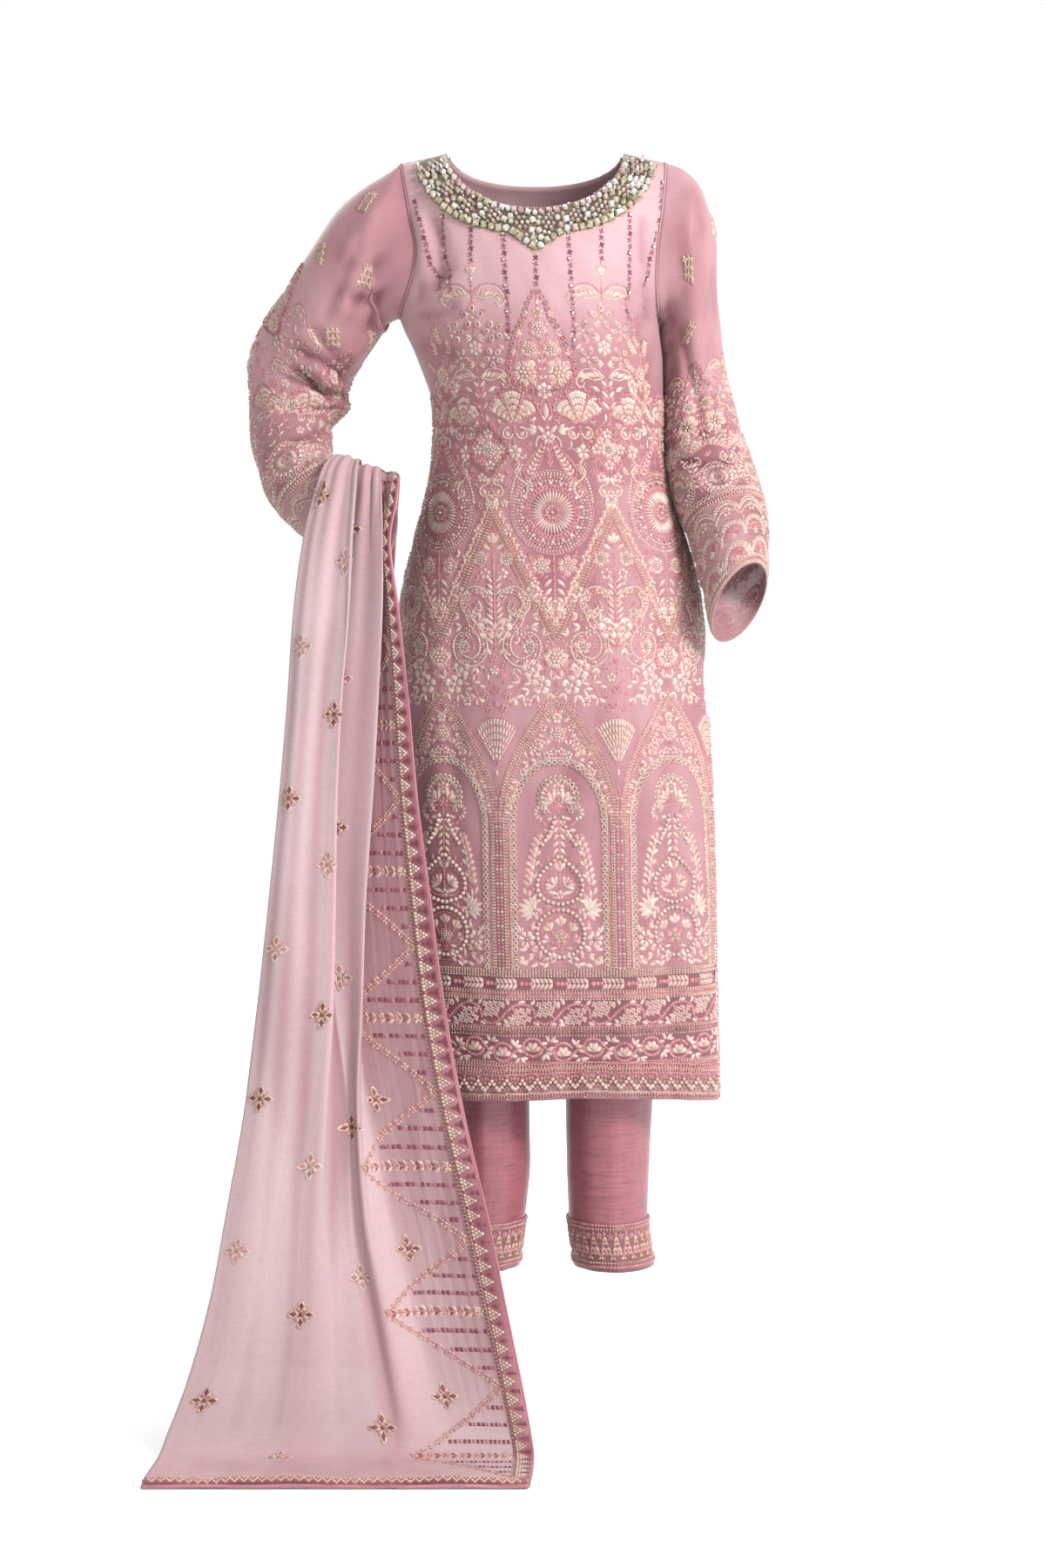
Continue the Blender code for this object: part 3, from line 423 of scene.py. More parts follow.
def sleeve_creases(side, p, n, along, angle):
    """Folds of a sleeve. The lines lie in the front view, and each face of the sleeve has its own."""
    x, z = p[..., 0], p[..., 2]
    h = np.zeros(x.shape)
    front = step(0.0, 0.55, -n[..., 1])
    back = step(0.0, 0.55, n[..., 1])
    if side < 0:
        lines = (
            ([(-0.150, -0.150), (-0.190, -0.168), (-0.232, -0.160)], 0.0075, -0.0040),
            ([(-0.158, -0.120), (-0.195, -0.130), (-0.238, -0.118)], 0.0085, -0.0026),
            ([(-0.150, -0.070), (-0.172, -0.118), (-0.205, -0.176), (-0.238, -0.212)], 0.0090, -0.0030),
            ([(-0.166, -0.045), (-0.196, -0.088), (-0.232, -0.140)], 0.0090, 0.0026),
            ([(-0.160, -0.178), (-0.194, -0.214), (-0.220, -0.240)], 0.0060, 0.0030),
            ([(-0.208, -0.262), (-0.240, -0.236), (-0.285, -0.212)], 0.0060, -0.0046),
            ([(-0.208, -0.274), (-0.246, -0.262), (-0.298, -0.246)], 0.0055, -0.0048),
            ([(-0.210, -0.285), (-0.250, -0.288), (-0.305, -0.286)], 0.0055, -0.0040),
            ([(-0.216, -0.298), (-0.250, -0.312), (-0.290, -0.326)], 0.0055, -0.0030),
            ([(-0.212, -0.250), (-0.236, -0.218), (-0.262, -0.186)], 0.0060, -0.0034),
            ([(-0.224, -0.330), (-0.262, -0.342), (-0.300, -0.344)], 0.0070, -0.0022),
            ([(-0.238, -0.372), (-0.262, -0.400)], 0.0070, -0.0018),
            ([(-0.222, -0.281), (-0.243, -0.268), (-0.264, -0.250), (-0.286, -0.236)], 0.0042, -0.0072),
            ([(-0.214, -0.268), (-0.240, -0.252), (-0.262, -0.232)], 0.0060, 0.0034),
            ([(-0.176, -0.066), (-0.206, -0.130), (-0.226, -0.200)], 0.0080, 0.0024),
            ([(-0.186, -0.080), (-0.220, -0.150), (-0.250, -0.210)], 0.0070, -0.0024),
            ([(-0.150, -0.130), (-0.176, -0.160), (-0.196, -0.210)], 0.0060, -0.0034),
        )
        behind = (
            ([(-0.150, -0.140), (-0.195, -0.150), (-0.240, -0.140)], 0.0085, -0.0036),
            ([(-0.160, -0.090), (-0.205, -0.140), (-0.250, -0.200)], 0.0090, -0.0030),
            ([(-0.215, -0.240), (-0.255, -0.235), (-0.300, -0.250)], 0.0080, -0.0026),
            ([(-0.220, -0.300), (-0.260, -0.318), (-0.310, -0.320)], 0.0080, -0.0030),
            ([(-0.230, -0.340), (-0.270, -0.362)], 0.0080, 0.0022),
        )
    else:
        lines = (
            ([(0.140, -0.130), (0.150, -0.210), (0.156, -0.270)], 0.0070, -0.0036),
            ([(0.146, -0.160), (0.166, -0.215), (0.182, -0.270), (0.190, -0.330)], 0.0075, -0.0034),
            ([(0.160, -0.050), (0.176, -0.120), (0.180, -0.190), (0.178, -0.250)], 0.0090, 0.0024),
            ([(0.185, -0.050), (0.204, -0.120), (0.208, -0.200)], 0.0090, -0.0024),
            ([(0.150, -0.300), (0.184, -0.318), (0.222, -0.310)], 0.0070, -0.0034),
            ([(0.156, -0.340), (0.190, -0.352), (0.232, -0.340)], 0.0070, -0.0036),
            ([(0.166, -0.386), (0.204, -0.392), (0.244, -0.372)], 0.0070, -0.0030),
            ([(0.170, -0.420), (0.206, -0.424)], 0.0065, -0.0022),
            ([(0.204, -0.230), (0.212, -0.290), (0.232, -0.340)], 0.0075, 0.0026),
        )
        behind = (
            ([(0.140, -0.120), (0.155, -0.200), (0.170, -0.280)], 0.0080, -0.0034),
            ([(0.175, -0.060), (0.195, -0.140), (0.200, -0.220)], 0.0090, -0.0026),
            ([(0.150, -0.290), (0.190, -0.300), (0.228, -0.286)], 0.0080, -0.0032),
            ([(0.158, -0.340), (0.198, -0.344), (0.236, -0.328)], 0.0080, -0.0030),
            ([(0.165, -0.390), (0.205, -0.398)], 0.0080, -0.0024),
        )
    for line, width, height in lines:
        h += front * ridge(x, z, line, width, height)
    for line, width, height in behind:
        h += back * ridge(x, z, line, width, height)
    h += 0.0005 * np.sin(along * 46 + 2 * np.sin(3 * angle)) * np.cos(2 * angle)
    h *= 1.35
    if side > 0:  # the sleeve rests against the body here
        h += 0.0055 * step(0.1, 0.7, -n[..., 0]) * step(-0.24, -0.30, z) * step(-0.47, -0.41, z)
    return h


def sleeve_surface(side):
    u = np.linspace(0, 2 * PI, 145)
    v = np.linspace(0, 1, 300)
    rings = sleeve_rings(side, u[:-1])
    p = catmull(rings, v * len(SLEEVE[side]))
    n = grid_normals(p, around=True)
    middle = p.mean(axis=1, keepdims=True)
    sign = 1 if ((p - middle) * n).sum(-1).mean() > 0 else -1
    n = n * sign
    pinned = step(0.0, 0.10, v)[:, None] * step(0.0, 0.03, CUFF_START[side] - v)[:, None]
    pinned = np.where((v > CUFF_START[side])[:, None], 0, pinned)
    h = sleeve_creases(side, p, n, v[:, None], u[None, :-1]) * pinned
    # the folds never pass through the cloth that lies on the forearm
    p = p + n * h[..., None]
    n = grid_normals(p, around=True) * sign
    p = np.concatenate([p, p[:, :1]], axis=1)
    n = np.concatenate([n, n[:, :1]], axis=1)
    return Surface(u, v, p, n)


# ---- trouser surfaces ----------------------------------------------------
def trouser_points(share, z, side, facing):
    share, z = np.broadcast_arrays(np.asarray(share, float), np.asarray(z, float))
    centre, half, front, back = (smooth(HIP, np.maximum(z, CROTCH_Z), k) for k in (1, 2, 3, 4))
    angle = (1 - share) * PI / 2
    deep = front if facing < 0 else back
    hip = np.stack([centre + side * half * np.sin(angle), facing * deep * np.cos(angle), z], -1)
    outer, inner, front, back = (smooth(LEG[side], np.minimum(z, CROTCH_Z), k) for k in (1, 2, 3, 4))
    middle, half = (outer + inner) / 2, (outer - inner) / 2
    deep = front if facing < 0 else back
    leg = np.stack([middle + half * np.cos(share * PI), facing * deep * np.sin(share * PI), z], -1)
    w = np.clip((CROTCH_TOP_Z - z) / (CROTCH_TOP_Z - CROTCH_Z), 0, 1)
    w = (w * w * (3 - 2 * w))[..., None]
    return (1 - w) * hip + w * leg


def trouser_surface(side, facing):
    u = np.linspace(0, 1, 61)
    z = np.linspace(-0.4025, -1.2715, 200)
    p = trouser_points(u[None, :], z[:, None], side, facing)
    p[..., 1] += facing * SEAM_GAP
    p[:, -1, 0] += side * SEAM_GAP
    sign = 1 if (side > 0) != (facing < 0) else -1
    n = grid_normals(p) * sign
    if (n[..., 1] * facing).mean() < 0:
        sign, n = -sign, -n
    z2 = z[:, None]
    pinned = step(0, 0.12, u)[None, :] * step(0, 0.12, 1 - u)[None, :]
    h = 0.0022 * np.exp(-(((u[None, :] - 0.47) / 0.045) ** 2)) * step(-0.62, -0.80, z2)
    h = h - 0.0016 * np.exp(-(((u[None, :] - 0.78) / 0.06) ** 2)) * step(-0.85, -1.05, z2)
    h = h - 0.0014 * np.exp(-(((u[None, :] - 0.22) / 0.07) ** 2)) * step(-0.80, -1.00, z2)
    h = h + 0.0014 * np.sin(z2 * 60 + 5 * u[None, :]) * step(-1.10, -0.95, z2) * 0.6
    h = h + 0.0005 * np.sin(z2 * 120 + 9 * u[None, :] + side)
    p = p + n * (h * pinned)[..., None]
    n = grid_normals(p) * sign
    return Surface(u, z, p, n)


# ---- dupatta surface -----------------------------------------------------
def dupatta_points(across, length):
    """across 0..9 along the section's ten points (array), length in metres (array)."""
    place = np.interp(length, DUPATTA[:, 0], np.arange(len(DUPATTA)))
    rows = catmull(DUPATTA, place)
    _, y, z, left, fold_a, under_a, fold_b, under_b, right, fold = (rows[:, k] for k in range(10))
    skew, slope = rows[:, 10], rows[:, 11]
    x = np.stack([left, left + 0.30 * (fold_a - left), left + 0.75 * (fold_a - left), fold_a, under_a,
                  under_a + 0.55 * (fold_b - under_a), fold_b, under_b, under_b + 0.50 * (right - under_b), right], 1)
    deep = np.array((0.45, -0.05, 0.05, 0.0, 0.95, 0.95, 0.55, 1.50, 1.30, 0.80))
    turn = np.clip(length / 0.05, -1, 1)
    yy = y[:, None] + fold[:, None] * deep * turn[:, None]
    near = (np.abs(length) < 0.05) * (1 - np.abs(turn))
    zz = z[:, None] - (near * fold)[:, None] * RIDGES
    yy = yy + skew[:, None] * (x - FOREARM_X)
    zz = zz + slope[:, None] * (x - FOREARM_X)
    flat = np.stack([x, yy, zz], -1).transpose(1, 0, 2)  # points across first
    return catmull(flat, across).transpose(1, 0, 2)


def dupatta_surface():
    u = np.linspace(0, 9, 271)
    v = np.linspace(-1.060, 1.270, 700)
    p = dupatta_points(u, v)
    n = grid_normals(p)
    L, A = v[:, None], u[None, :]
    if n[350:, :, 1].mean() > 0:
        n = -n
    hang = step(0.05, 0.20, L) * step(0.0, 0.06, 1.145 - L)
    h = np.zeros(p.shape[:2])
    # gathers near the arm, which run out lower down
    top = np.exp(-((L / 0.30) ** 2))
    h += 0.0011 * top * np.sin(A * 5.3 + 0.6 * np.sin(L * 9)) * step(0.2, 1.2, A)
    h += 0.0007 * top * np.sin(A * 9.1 + 1.3)
    # long soft waves down the front
    h += hang * 0.0013 * np.sin(A * 2.05 + 0.9 * np.sin(L * 3.1) + 0.4) * step(0.2, 0.9, A) * step(0, 0.4, 3.0 - A)
    h += hang * 0.0010 * np.sin(A * 3.3 + 1.4 * np.sin(L * 2.3)) * step(3.4, 4.2, A) * step(0, 0.5, 6.3 - A)
    # fine upright wrinkles of the bordered part
    fine = step(6.4, 7.2, A) * step(0.15, 0.4, L) * step(0, 0.25, 1.16 - L)
    h += fine * 0.0009 * np.sin(A * 23 + 1.2 * np.sin(L * 7.0)) * (0.6 + 0.4 * np.sin(L * 5.0 + A))
    h += fine * 0.0005 * np.sin(A * 41 + 2.0 * np.sin(L * 4.3))
    # little horizontal drags where it was folded away
    for k, zz in enumerate((0.34, 0.62, 0.83)):
        h += hang * 0.0006 * np.exp(-(((L - zz - 0.004 * np.sin(A * 2)) / 0.004) ** 2)) * (-1) ** k
    # the part on the floor lies in soft rolls
    floor = step(1.15, 1.19, L)
    h += floor * 0.0010 * (0.5 + 0.5 * np.sin(A * 3.2 + 8 * L))
    p = p + n * h[..., None]
    p[..., 2] = np.maximum(p[..., 2], FLOOR_Z + 0.0026)
    n2 = grid_normals(p)
    if n2[350:, :, 1].mean() > 0:
        n2 = -n2
    return Surface(u, v, p, n2)


# ---- meshes --------------------------------------------------------------
def new_object(name, verts, faces, mat, uvs=None, smooth_faces=True, flat_mask=None):
    """A mesh object from arrays. faces is a list of arrays with one width each; uvs one pair a vertex."""
    mesh = bpy.data.meshes.new(name)
    counts = np.concatenate([np.full(len(f), f.shape[1]) for f in faces]) if faces else np.zeros(0, int)
    loops = np.concatenate([f.reshape(-1) for f in faces]).astype(np.int32)
    mesh.vertices.add(len(verts))
    mesh.vertices.foreach_set("co", np.asarray(verts, np.float32).reshape(-1))
    mesh.loops.add(len(loops))
    mesh.loops.foreach_set("vertex_index", loops)
    mesh.polygons.add(len(counts))
    starts = np.concatenate([[0], np.cumsum(counts)[:-1]]).astype(np.int32)
    mesh.polygons.foreach_set("loop_start", starts)
    mesh.update(calc_edges=True)
    flags = np.full(len(counts), smooth_faces)
    if flat_mask is not None:
        flags = ~flat_mask
    mesh.polygons.foreach_set("use_smooth", flags)
    if uvs is not None:
        layer = mesh.uv_layers.new(name="OFBake")
        layer.data.foreach_set("uv", np.asarray(uvs, np.float32)[loops].reshape(-1))
    mesh.materials.append(mat)
    mesh.validate()
    made = bpy.data.objects.new(name, mesh)
    bpy.context.scene.collection.objects.link(made)
    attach(made, "root")
    return made


def arc_uv(grid, around=False):
    """UVs in metres along the cloth, then scaled to lie within 0..1 with equal scales."""
    g = np.concatenate([grid, grid[:, :1]], 1) if around else grid
    across = np.concatenate([np.zeros((g.shape[0], 1)), np.cumsum(np.linalg.norm(np.diff(g, axis=1), axis=2), 1)], 1)
    down = np.concatenate([np.zeros((1, g.shape[1])), np.cumsum(np.linalg.norm(np.diff(g, axis=0), axis=2), 0)], 0)
    across = across - across[:, -1:] / 2
    down = np.broadcast_to(down.mean(axis=1, keepdims=True), down.shape)
    return np.stack([across, down], -1)


def cavity(grid, normals, reach=0.011):
    """How deep each point lies in the folds of the cloth round it: 0 on open cloth, 1 in a hollow."""
    total = np.zeros(grid.shape[:2])
    for axis in (0, 1):
        pitch = max(1e-4, float(np.median(np.linalg.norm(np.diff(grid, axis=axis), axis=-1))))
        half = min(max(1, int(round(reach / pitch))), (grid.shape[axis] - 1) // 2)
        if half < 1:
            continue
        pad = [(0, 0)] * 3
        pad[axis] = (half, half)
        wide = np.cumsum(np.pad(grid, pad, mode="reflect", reflect_type="odd"), axis)
        wide = np.concatenate([np.zeros_like(np.take(wide, [0], axis)), wide], axis)
        n = 2 * half + 1
        mean = (np.take(wide, range(n, wide.shape[axis]), axis) - np.take(wide, range(0, wide.shape[axis] - n), axis)) / n
        total += ((mean - grid) * normals).sum(-1)
    total -= np.median(total)
    for _ in range(3):  # soft edges
        wide = np.pad(total, 1, mode="edge")
        total = (wide[1:-1, 1:-1] * 2 + wide[:-2, 1:-1] + wide[2:, 1:-1] + wide[1:-1, :-2] + wide[1:-1, 2:]) / 6
    return np.clip(total / 0.0019, 0, 1)


def shell(name, grid, normals, thickness, mat, around=False, painted_shade=0.0):
    """A grid of points on the outer face, and the same grid moved in by the thickness, closed at the rims."""
    if around:
        grid = np.concatenate([grid, grid[:, :1]], 1)
        normals = np.concatenate([normals, normals[:, :1]], 1)
    rows, cols = grid.shape[:2]
    # the fold attribute is painted shade: how deep each point lies in a hollow, plus any painted shade the piece adds
    fold = np.clip(cavity(grid, normals) + painted_shade, 0, 1)
    thick = thickness[..., None] if isinstance(thickness, np.ndarray) else thickness
    inner = grid - normals * thick
    uv = arc_uv(grid)
    span_u, span_v = np.ptp(uv[..., 0]), np.ptp(uv[..., 1])
    size = max(2 * span_u + 0.02, span_v + 0.01)
    uv_out = (uv - uv.reshape(-1, 2).min(0) + 0.003) / size
    uv_in = uv_out + np.array([(span_u + 0.01) / size, 0])
    index = np.arange(rows * cols).reshape(rows, cols)
    a, b, c, d = index[:-1, :-1], index[1:, :-1], index[1:, 1:], index[:-1, 1:]
    outer = np.stack([a, b, c, d], -1).reshape(-1, 4)
    probe = np.cross(grid[1, 0] - grid[0, 0], grid[0, 1] - grid[0, 0]).dot(normals[0, 0]) if rows > 1 else 1
    mid = (rows // 2, cols // 2)
    mid2 = (min(mid[0] + 1, rows - 1), min(mid[1] + 1, cols - 1))
    p0, p1, p2 = grid[mid[0] - (mid2[0] == mid[0]), mid[1] - (mid2[1] == mid[1])], grid[mid2[0], mid[1] - (mid2[1] == mid[1])], grid[mid[0] - (mid2[0] == mid[0]), mid2[1]]
    probe = np.cross(p1 - p0, p2 - p0).dot(normals[mid])
    if probe < 0:
        outer = outer[:, ::-1]
    inner_faces = outer[:, ::-1] + rows * cols
    total = rows * cols
    rims = []
    # where the cloth is a tube, the rims are only at its two ends and the joining column is shared
    pairs = [(index[0, :-1], index[0, 1:]), (index[-1, 1:], index[-1, :-1])]
    if not around:
        pairs += [(index[1:, 0], index[:-1, 0]), (index[:-1, -1], index[1:, -1])]
    for p, q in pairs:
        rim = np.stack([p, q, q + total, p + total], -1)
        rims.append(rim if probe > 0 else rim[:, ::-1])
    verts = np.concatenate([grid.reshape(-1, 3), inner.reshape(-1, 3)])
    uvs = np.concatenate([uv_out.reshape(-1, 2), uv_in.reshape(-1, 2)])
    faces = np.concatenate([outer, inner_faces] + rims)
    made = new_object(name, verts, [faces], mat, uvs)
    mark = made.data.attributes.new("fold", "FLOAT", "POINT")
    mark.data.foreach_set("value", np.tile(fold.reshape(-1), 2).astype(np.float32))
    if around:  # weld the seam of the tube
        import bmesh

        work = bmesh.new()
        work.from_mesh(made.data)
        bmesh.ops.remove_doubles(work, verts=work.verts, dist=1e-6)
        work.to_mesh(made.data)
        work.free()
    return made


def tube(name, points, radius, mat, sides=6, closed=False):
    """A round cord through points, with capped ends."""
    points = np.asarray(points, float)
    tangent = unit(np.gradient(points, axis=0))
    ref = np.array([0.0, 0.0, 1.0])
    side = unit(np.cross(tangent, ref) + 1e-9)
    up = np.cross(side, tangent)
    angle = np.linspace(0, 2 * PI, sides, endpoint=False)
    ring = np.cos(angle)[None, :, None] * side[:, None, :] + np.sin(angle)[None, :, None] * up[:, None, :]
    verts = points[:, None, :] + radius * ring
    rows = len(points)
    index = np.arange(rows * sides).reshape(rows, sides)
    a, b = index[:-1], index[1:]
    faces = np.stack([a, np.roll(a, -1, 1), np.roll(b, -1, 1), b], -1).reshape(-1, 4)[:, ::-1]
    length = np.concatenate([[0], np.cumsum(np.linalg.norm(np.diff(points, axis=0), axis=1))])
    uv = np.stack(np.broadcast_arrays(angle[None, :] / (2 * PI) * 0.2, (length / max(length[-1], 1e-6) * 0.98)[:, None]), -1)
    caps = [index[0][None, :], index[-1][::-1][None, :]]
    return new_object(name, verts.reshape(-1, 3), [faces] + caps, mat, uv.reshape(-1, 2))


# ---- materials -----------------------------------------------------------
TONE = 0.470


def lin(r, g, b):
    """An sRGB colour, 0..255, as seen in the studio's light, as linear light."""
    return tuple(TONE * (c / 255 / 12.92 if c <= 10 else ((c / 255 + 0.055) / 1.055) ** 2.4) for c in (r, g, b)) + (1.0,)


class Mat:
    """A small helper that builds a node material."""

    def __init__(self, name):
        self.mat = bpy.data.materials.new(name)
        self.mat.use_nodes = True
        self.tree = self.mat.node_tree
        self.shader = self.tree.nodes["Principled BSDF"]
        self.out = self.tree.nodes["Material Output"]

    def node(self, kind, **values):
        made = self.tree.nodes.new(kind)
        for key, value in values.items():
            if key in made.inputs:
                made.inputs[key].default_value = value
            else:
                setattr(made, key, value)
        return made

    def link(self, a, b):
        self.tree.links.new(a, b)

    def coords(self, kind="Object", scale=(1, 1, 1)):
        source = self.node("ShaderNodeTexCoord")
        mapping = self.node("ShaderNodeMapping")
        mapping.inputs["Scale"].default_value = scale
        self.link(source.outputs[kind], mapping.inputs["Vector"])
        return mapping.outputs["Vector"]

    def noise(self, vector, scale, detail=2.0, rough=0.5, distortion=0.0):
        made = self.node("ShaderNodeTexNoise")
        made.inputs["Scale"].default_value = scale
        made.inputs["Detail"].default_value = detail
        made.inputs["Roughness"].default_value = rough
        made.inputs["Distortion"].default_value = distortion
        self.link(vector, made.inputs["Vector"])
        return made.outputs["Fac"]

    def wave(self, vector, scale, direction="X", distortion=0.0, profile="SIN"):
        made = self.node("ShaderNodeTexWave")
        made.wave_type, made.bands_direction, made.wave_profile = "BANDS", direction, profile
        made.inputs["Scale"].default_value = scale
        made.inputs["Distortion"].default_value = distortion
        self.link(vector, made.inputs["Vector"])
        return made.outputs["Fac"]

    def ramp(self, fac, stops, mode="LINEAR"):
        made = self.node("ShaderNodeValToRGB")
        ramp = made.color_ramp
        ramp.interpolation = mode
        while len(ramp.elements) < len(stops):
            ramp.elements.new(0.5)
        for element, (place, colour) in zip(ramp.elements, stops):
            element.position = place
            element.color = colour if len(colour) == 4 else (*colour, 1)
        self.link(fac, made.inputs["Fac"])
        return made.outputs["Color"]

    def mix(self, a, b, fac, mode="MIX"):
        made = self.node("ShaderNodeMix", data_type="RGBA", blend_type=mode)
        for value, socket in ((fac, made.inputs[0]), (a, made.inputs[6]), (b, made.inputs[7])):
            if isinstance(value, (int, float, tuple)):
                socket.default_value = value
            else:
                self.link(value, socket)
        return made.outputs[2]

    def math(self, operation, a, b=None, c=None):
        made = self.node("ShaderNodeMath", operation=operation)
        for k, value in enumerate((a, b, c)):
            if value is None:
                continue
            if isinstance(value, (int, float)):
                made.inputs[k].default_value = value
            else:
                self.link(value, made.inputs[k])
        return made.outputs[0]

    def bump(self, height, strength=0.3, distance=0.001):
        made = self.node("ShaderNodeBump")
        made.inputs["Strength"].default_value = strength
        made.inputs["Distance"].default_value = distance
        self.link(height, made.inputs["Height"])
        self.link(made.outputs["Normal"], self.shader.inputs["Normal"])

    def put(self, **values):
        for key, value in values.items():
            socket = self.shader.inputs[key.replace("_", " ")]
            if isinstance(value, (int, float, tuple)):
                socket.default_value = value
            else:
                self.link(value, socket)
        return self


def painted_crease_shade(m):
    """Painted shade: darker in the creases and hollows of the cloth, and wherever a panel adds painted shade."""
    fold = m.node("ShaderNodeAttribute", attribute_type="GEOMETRY", attribute_name="fold").outputs["Fac"]
    return m.ramp(fold, ((0.04, (1, 1, 1, 1)), (0.45, (0.84, 0.76, 0.78, 1)), (1.0, (0.54, 0.41, 0.45, 1))))


def kameez_material(name, light, mid, dark, alpha=None, seed=0.0, yoke=None, foot=None, low=None):
    """Sheer organza over a paler lining: paler where they touch, mauve where they stand apart."""
    m = Mat(name)
    tall = m.coords("Object", (1.0, 1.0, 0.30))
    patches = m.noise(tall, 8.0 + seed, 1.0, 0.5, 0.4)
    cloud = m.noise(m.coords("Object", (1, 1, 0.8)), 30.0, 2.0, 0.5)
    blend = m.math("ADD", m.math("MULTIPLY", patches, 0.85), m.math("MULTIPLY", cloud, 0.15))
    base = m.ramp(blend, ((0.36, dark), (0.50, mid), (0.62, light)))
    if yoke is not None or foot is not None or low is not None:
        place = m.node("ShaderNodeSeparateXYZ")
        m.link(m.coords("Object"), place.inputs[0])

        def band(low, high):
            made = m.node("ShaderNodeMapRange", interpolation_type="SMOOTHSTEP")
            m.link(place.outputs[2], made.inputs["Value"])
            made.inputs["From Min"].default_value, made.inputs["From Max"].default_value = low, high
            return made.outputs["Result"]

        if yoke is not None:
            base = m.mix(base, yoke, m.math("MULTIPLY", band(-0.290, -0.110), 0.85))
        if foot is not None:
            base = m.mix(base, foot, m.math("MULTIPLY", band(-0.9165, -0.9185), 0.80))
            base = m.mix(base, foot, m.math("MULTIPLY", band(-0.76, -0.92), 0.22))
        if low is not None:
            base = m.mix(base, low, m.math("MULTIPLY", band(-0.20, -0.36), 0.62))
    warp = m.noise(m.coords("Object", (1.0, 1.0, 0.06)), 900.0, 1.0, 0.5)
    weft = m.noise(m.coords("Object", (0.06, 0.06, 1.0)), 900.0, 1.0, 0.5)
    threads = m.math("ADD", m.math("MULTIPLY", warp, 0.5), m.math("MULTIPLY", weft, 0.5))
    shade = m.ramp(threads, ((0.30, (0.86, 0.86, 0.86, 1)), (0.55, (1, 1, 1, 1)), (0.75, (1.0, 1.0, 1.0, 1))))
    # the weave's tone, then painted shade: darker in creases and hollows, under the arms and beside the dupatta
    colour = m.mix(m.mix(base, shade, 0.75, "MULTIPLY"), painted_crease_shade(m), 1.0, "MULTIPLY")
    m.put(Base_Color=colour, Roughness=m.math("ADD", m.math("MULTIPLY", threads, 0.22), 0.42))
    m.put(Sheen_Weight=0.20, Sheen_Roughness=0.5, Sheen_Tint=(1.0, 0.88, 0.90, 1.0), Specular_IOR_Level=0.20)
    m.bump(threads, 0.25, 0.0006)
    if alpha is not None:
        m.put(Alpha=m.ramp(threads, ((0.3, (alpha - 0.15,) * 3 + (1,)), (0.7, (min(1, alpha + 0.15),) * 3 + (1,)))))
    return m.mat


def silk_material(name, light, dark):
    """Raw silk: slubs across the leg, an uneven warp and a soft shine."""
    m = Mat(name)
    slub = m.noise(m.coords("Object", (0.9, 0.9, 16.0)), 26.0, 3.0, 0.65, 0.2)
    fine = m.noise(m.coords("Object", (0.5, 0.5, 9.0)), 120.0, 2.0, 0.6)
    warp = m.noise(m.coords("Object", (10.0, 10.0, 0.5)), 60.0, 2.0, 0.5)
    mixed = m.math("ADD", m.math("MULTIPLY", slub, 0.5), m.math("ADD", m.math("MULTIPLY", fine, 0.3), m.math("MULTIPLY", warp, 0.2)))
    m.put(Base_Color=m.ramp(mixed, ((0.36, dark), (0.50, light), (0.66, tuple(min(1, c * 1.22) for c in light[:3]) + (1,)))))
    m.put(Roughness=m.math("ADD", m.math("MULTIPLY", mixed, 0.3), 0.30))
    m.put(Sheen_Weight=0.3, Sheen_Roughness=0.4, Sheen_Tint=(1.0, 0.80, 0.86, 1.0), Specular_IOR_Level=0.5)
    m.bump(mixed, 0.4, 0.0008)
    return m.mat


def thread_material(name, dark, light, rough, metal=0.0, spec=0.5, sheen=0.2):
    """Thread or fine metal cord: strands along each stitch, each stitch a little different."""
    m = Mat(name)
    uv = m.node("ShaderNodeUVMap")
    uv.uv_map = "OFBake"
    vector = uv.outputs["UV"]
    patch = m.noise(vector, 9.0, 1.0, 0.5)
    strands = m.noise(vector, 130.0, 2.0, 0.6)
    mixed = m.math("ADD", m.math("MULTIPLY", patch, 0.55), m.math("MULTIPLY", strands, 0.45))
    m.put(Base_Color=m.ramp(mixed, ((0.34, dark), (0.62, light))))
    m.put(Roughness=rough, Metallic=metal, Specular_IOR_Level=spec)
    if sheen:
        m.put(Sheen_Weight=sheen, Sheen_Roughness=0.4)
    return m.mat


def gem_material(name, dark, light, coat=0.0, metal=0.0):
    m = Mat(name)
    uv = m.node("ShaderNodeUVMap")
    uv.uv_map = "OFBake"
    patch = m.noise(uv.outputs["UV"], 14.0, 2.0, 0.6)
    m.put(Base_Color=m.ramp(patch, ((0.35, dark), (0.65, light))), Roughness=0.12, Metallic=metal, Specular_IOR_Level=0.9, Coat_Weight=coat, Coat_Roughness=0.05)
    return m.mat


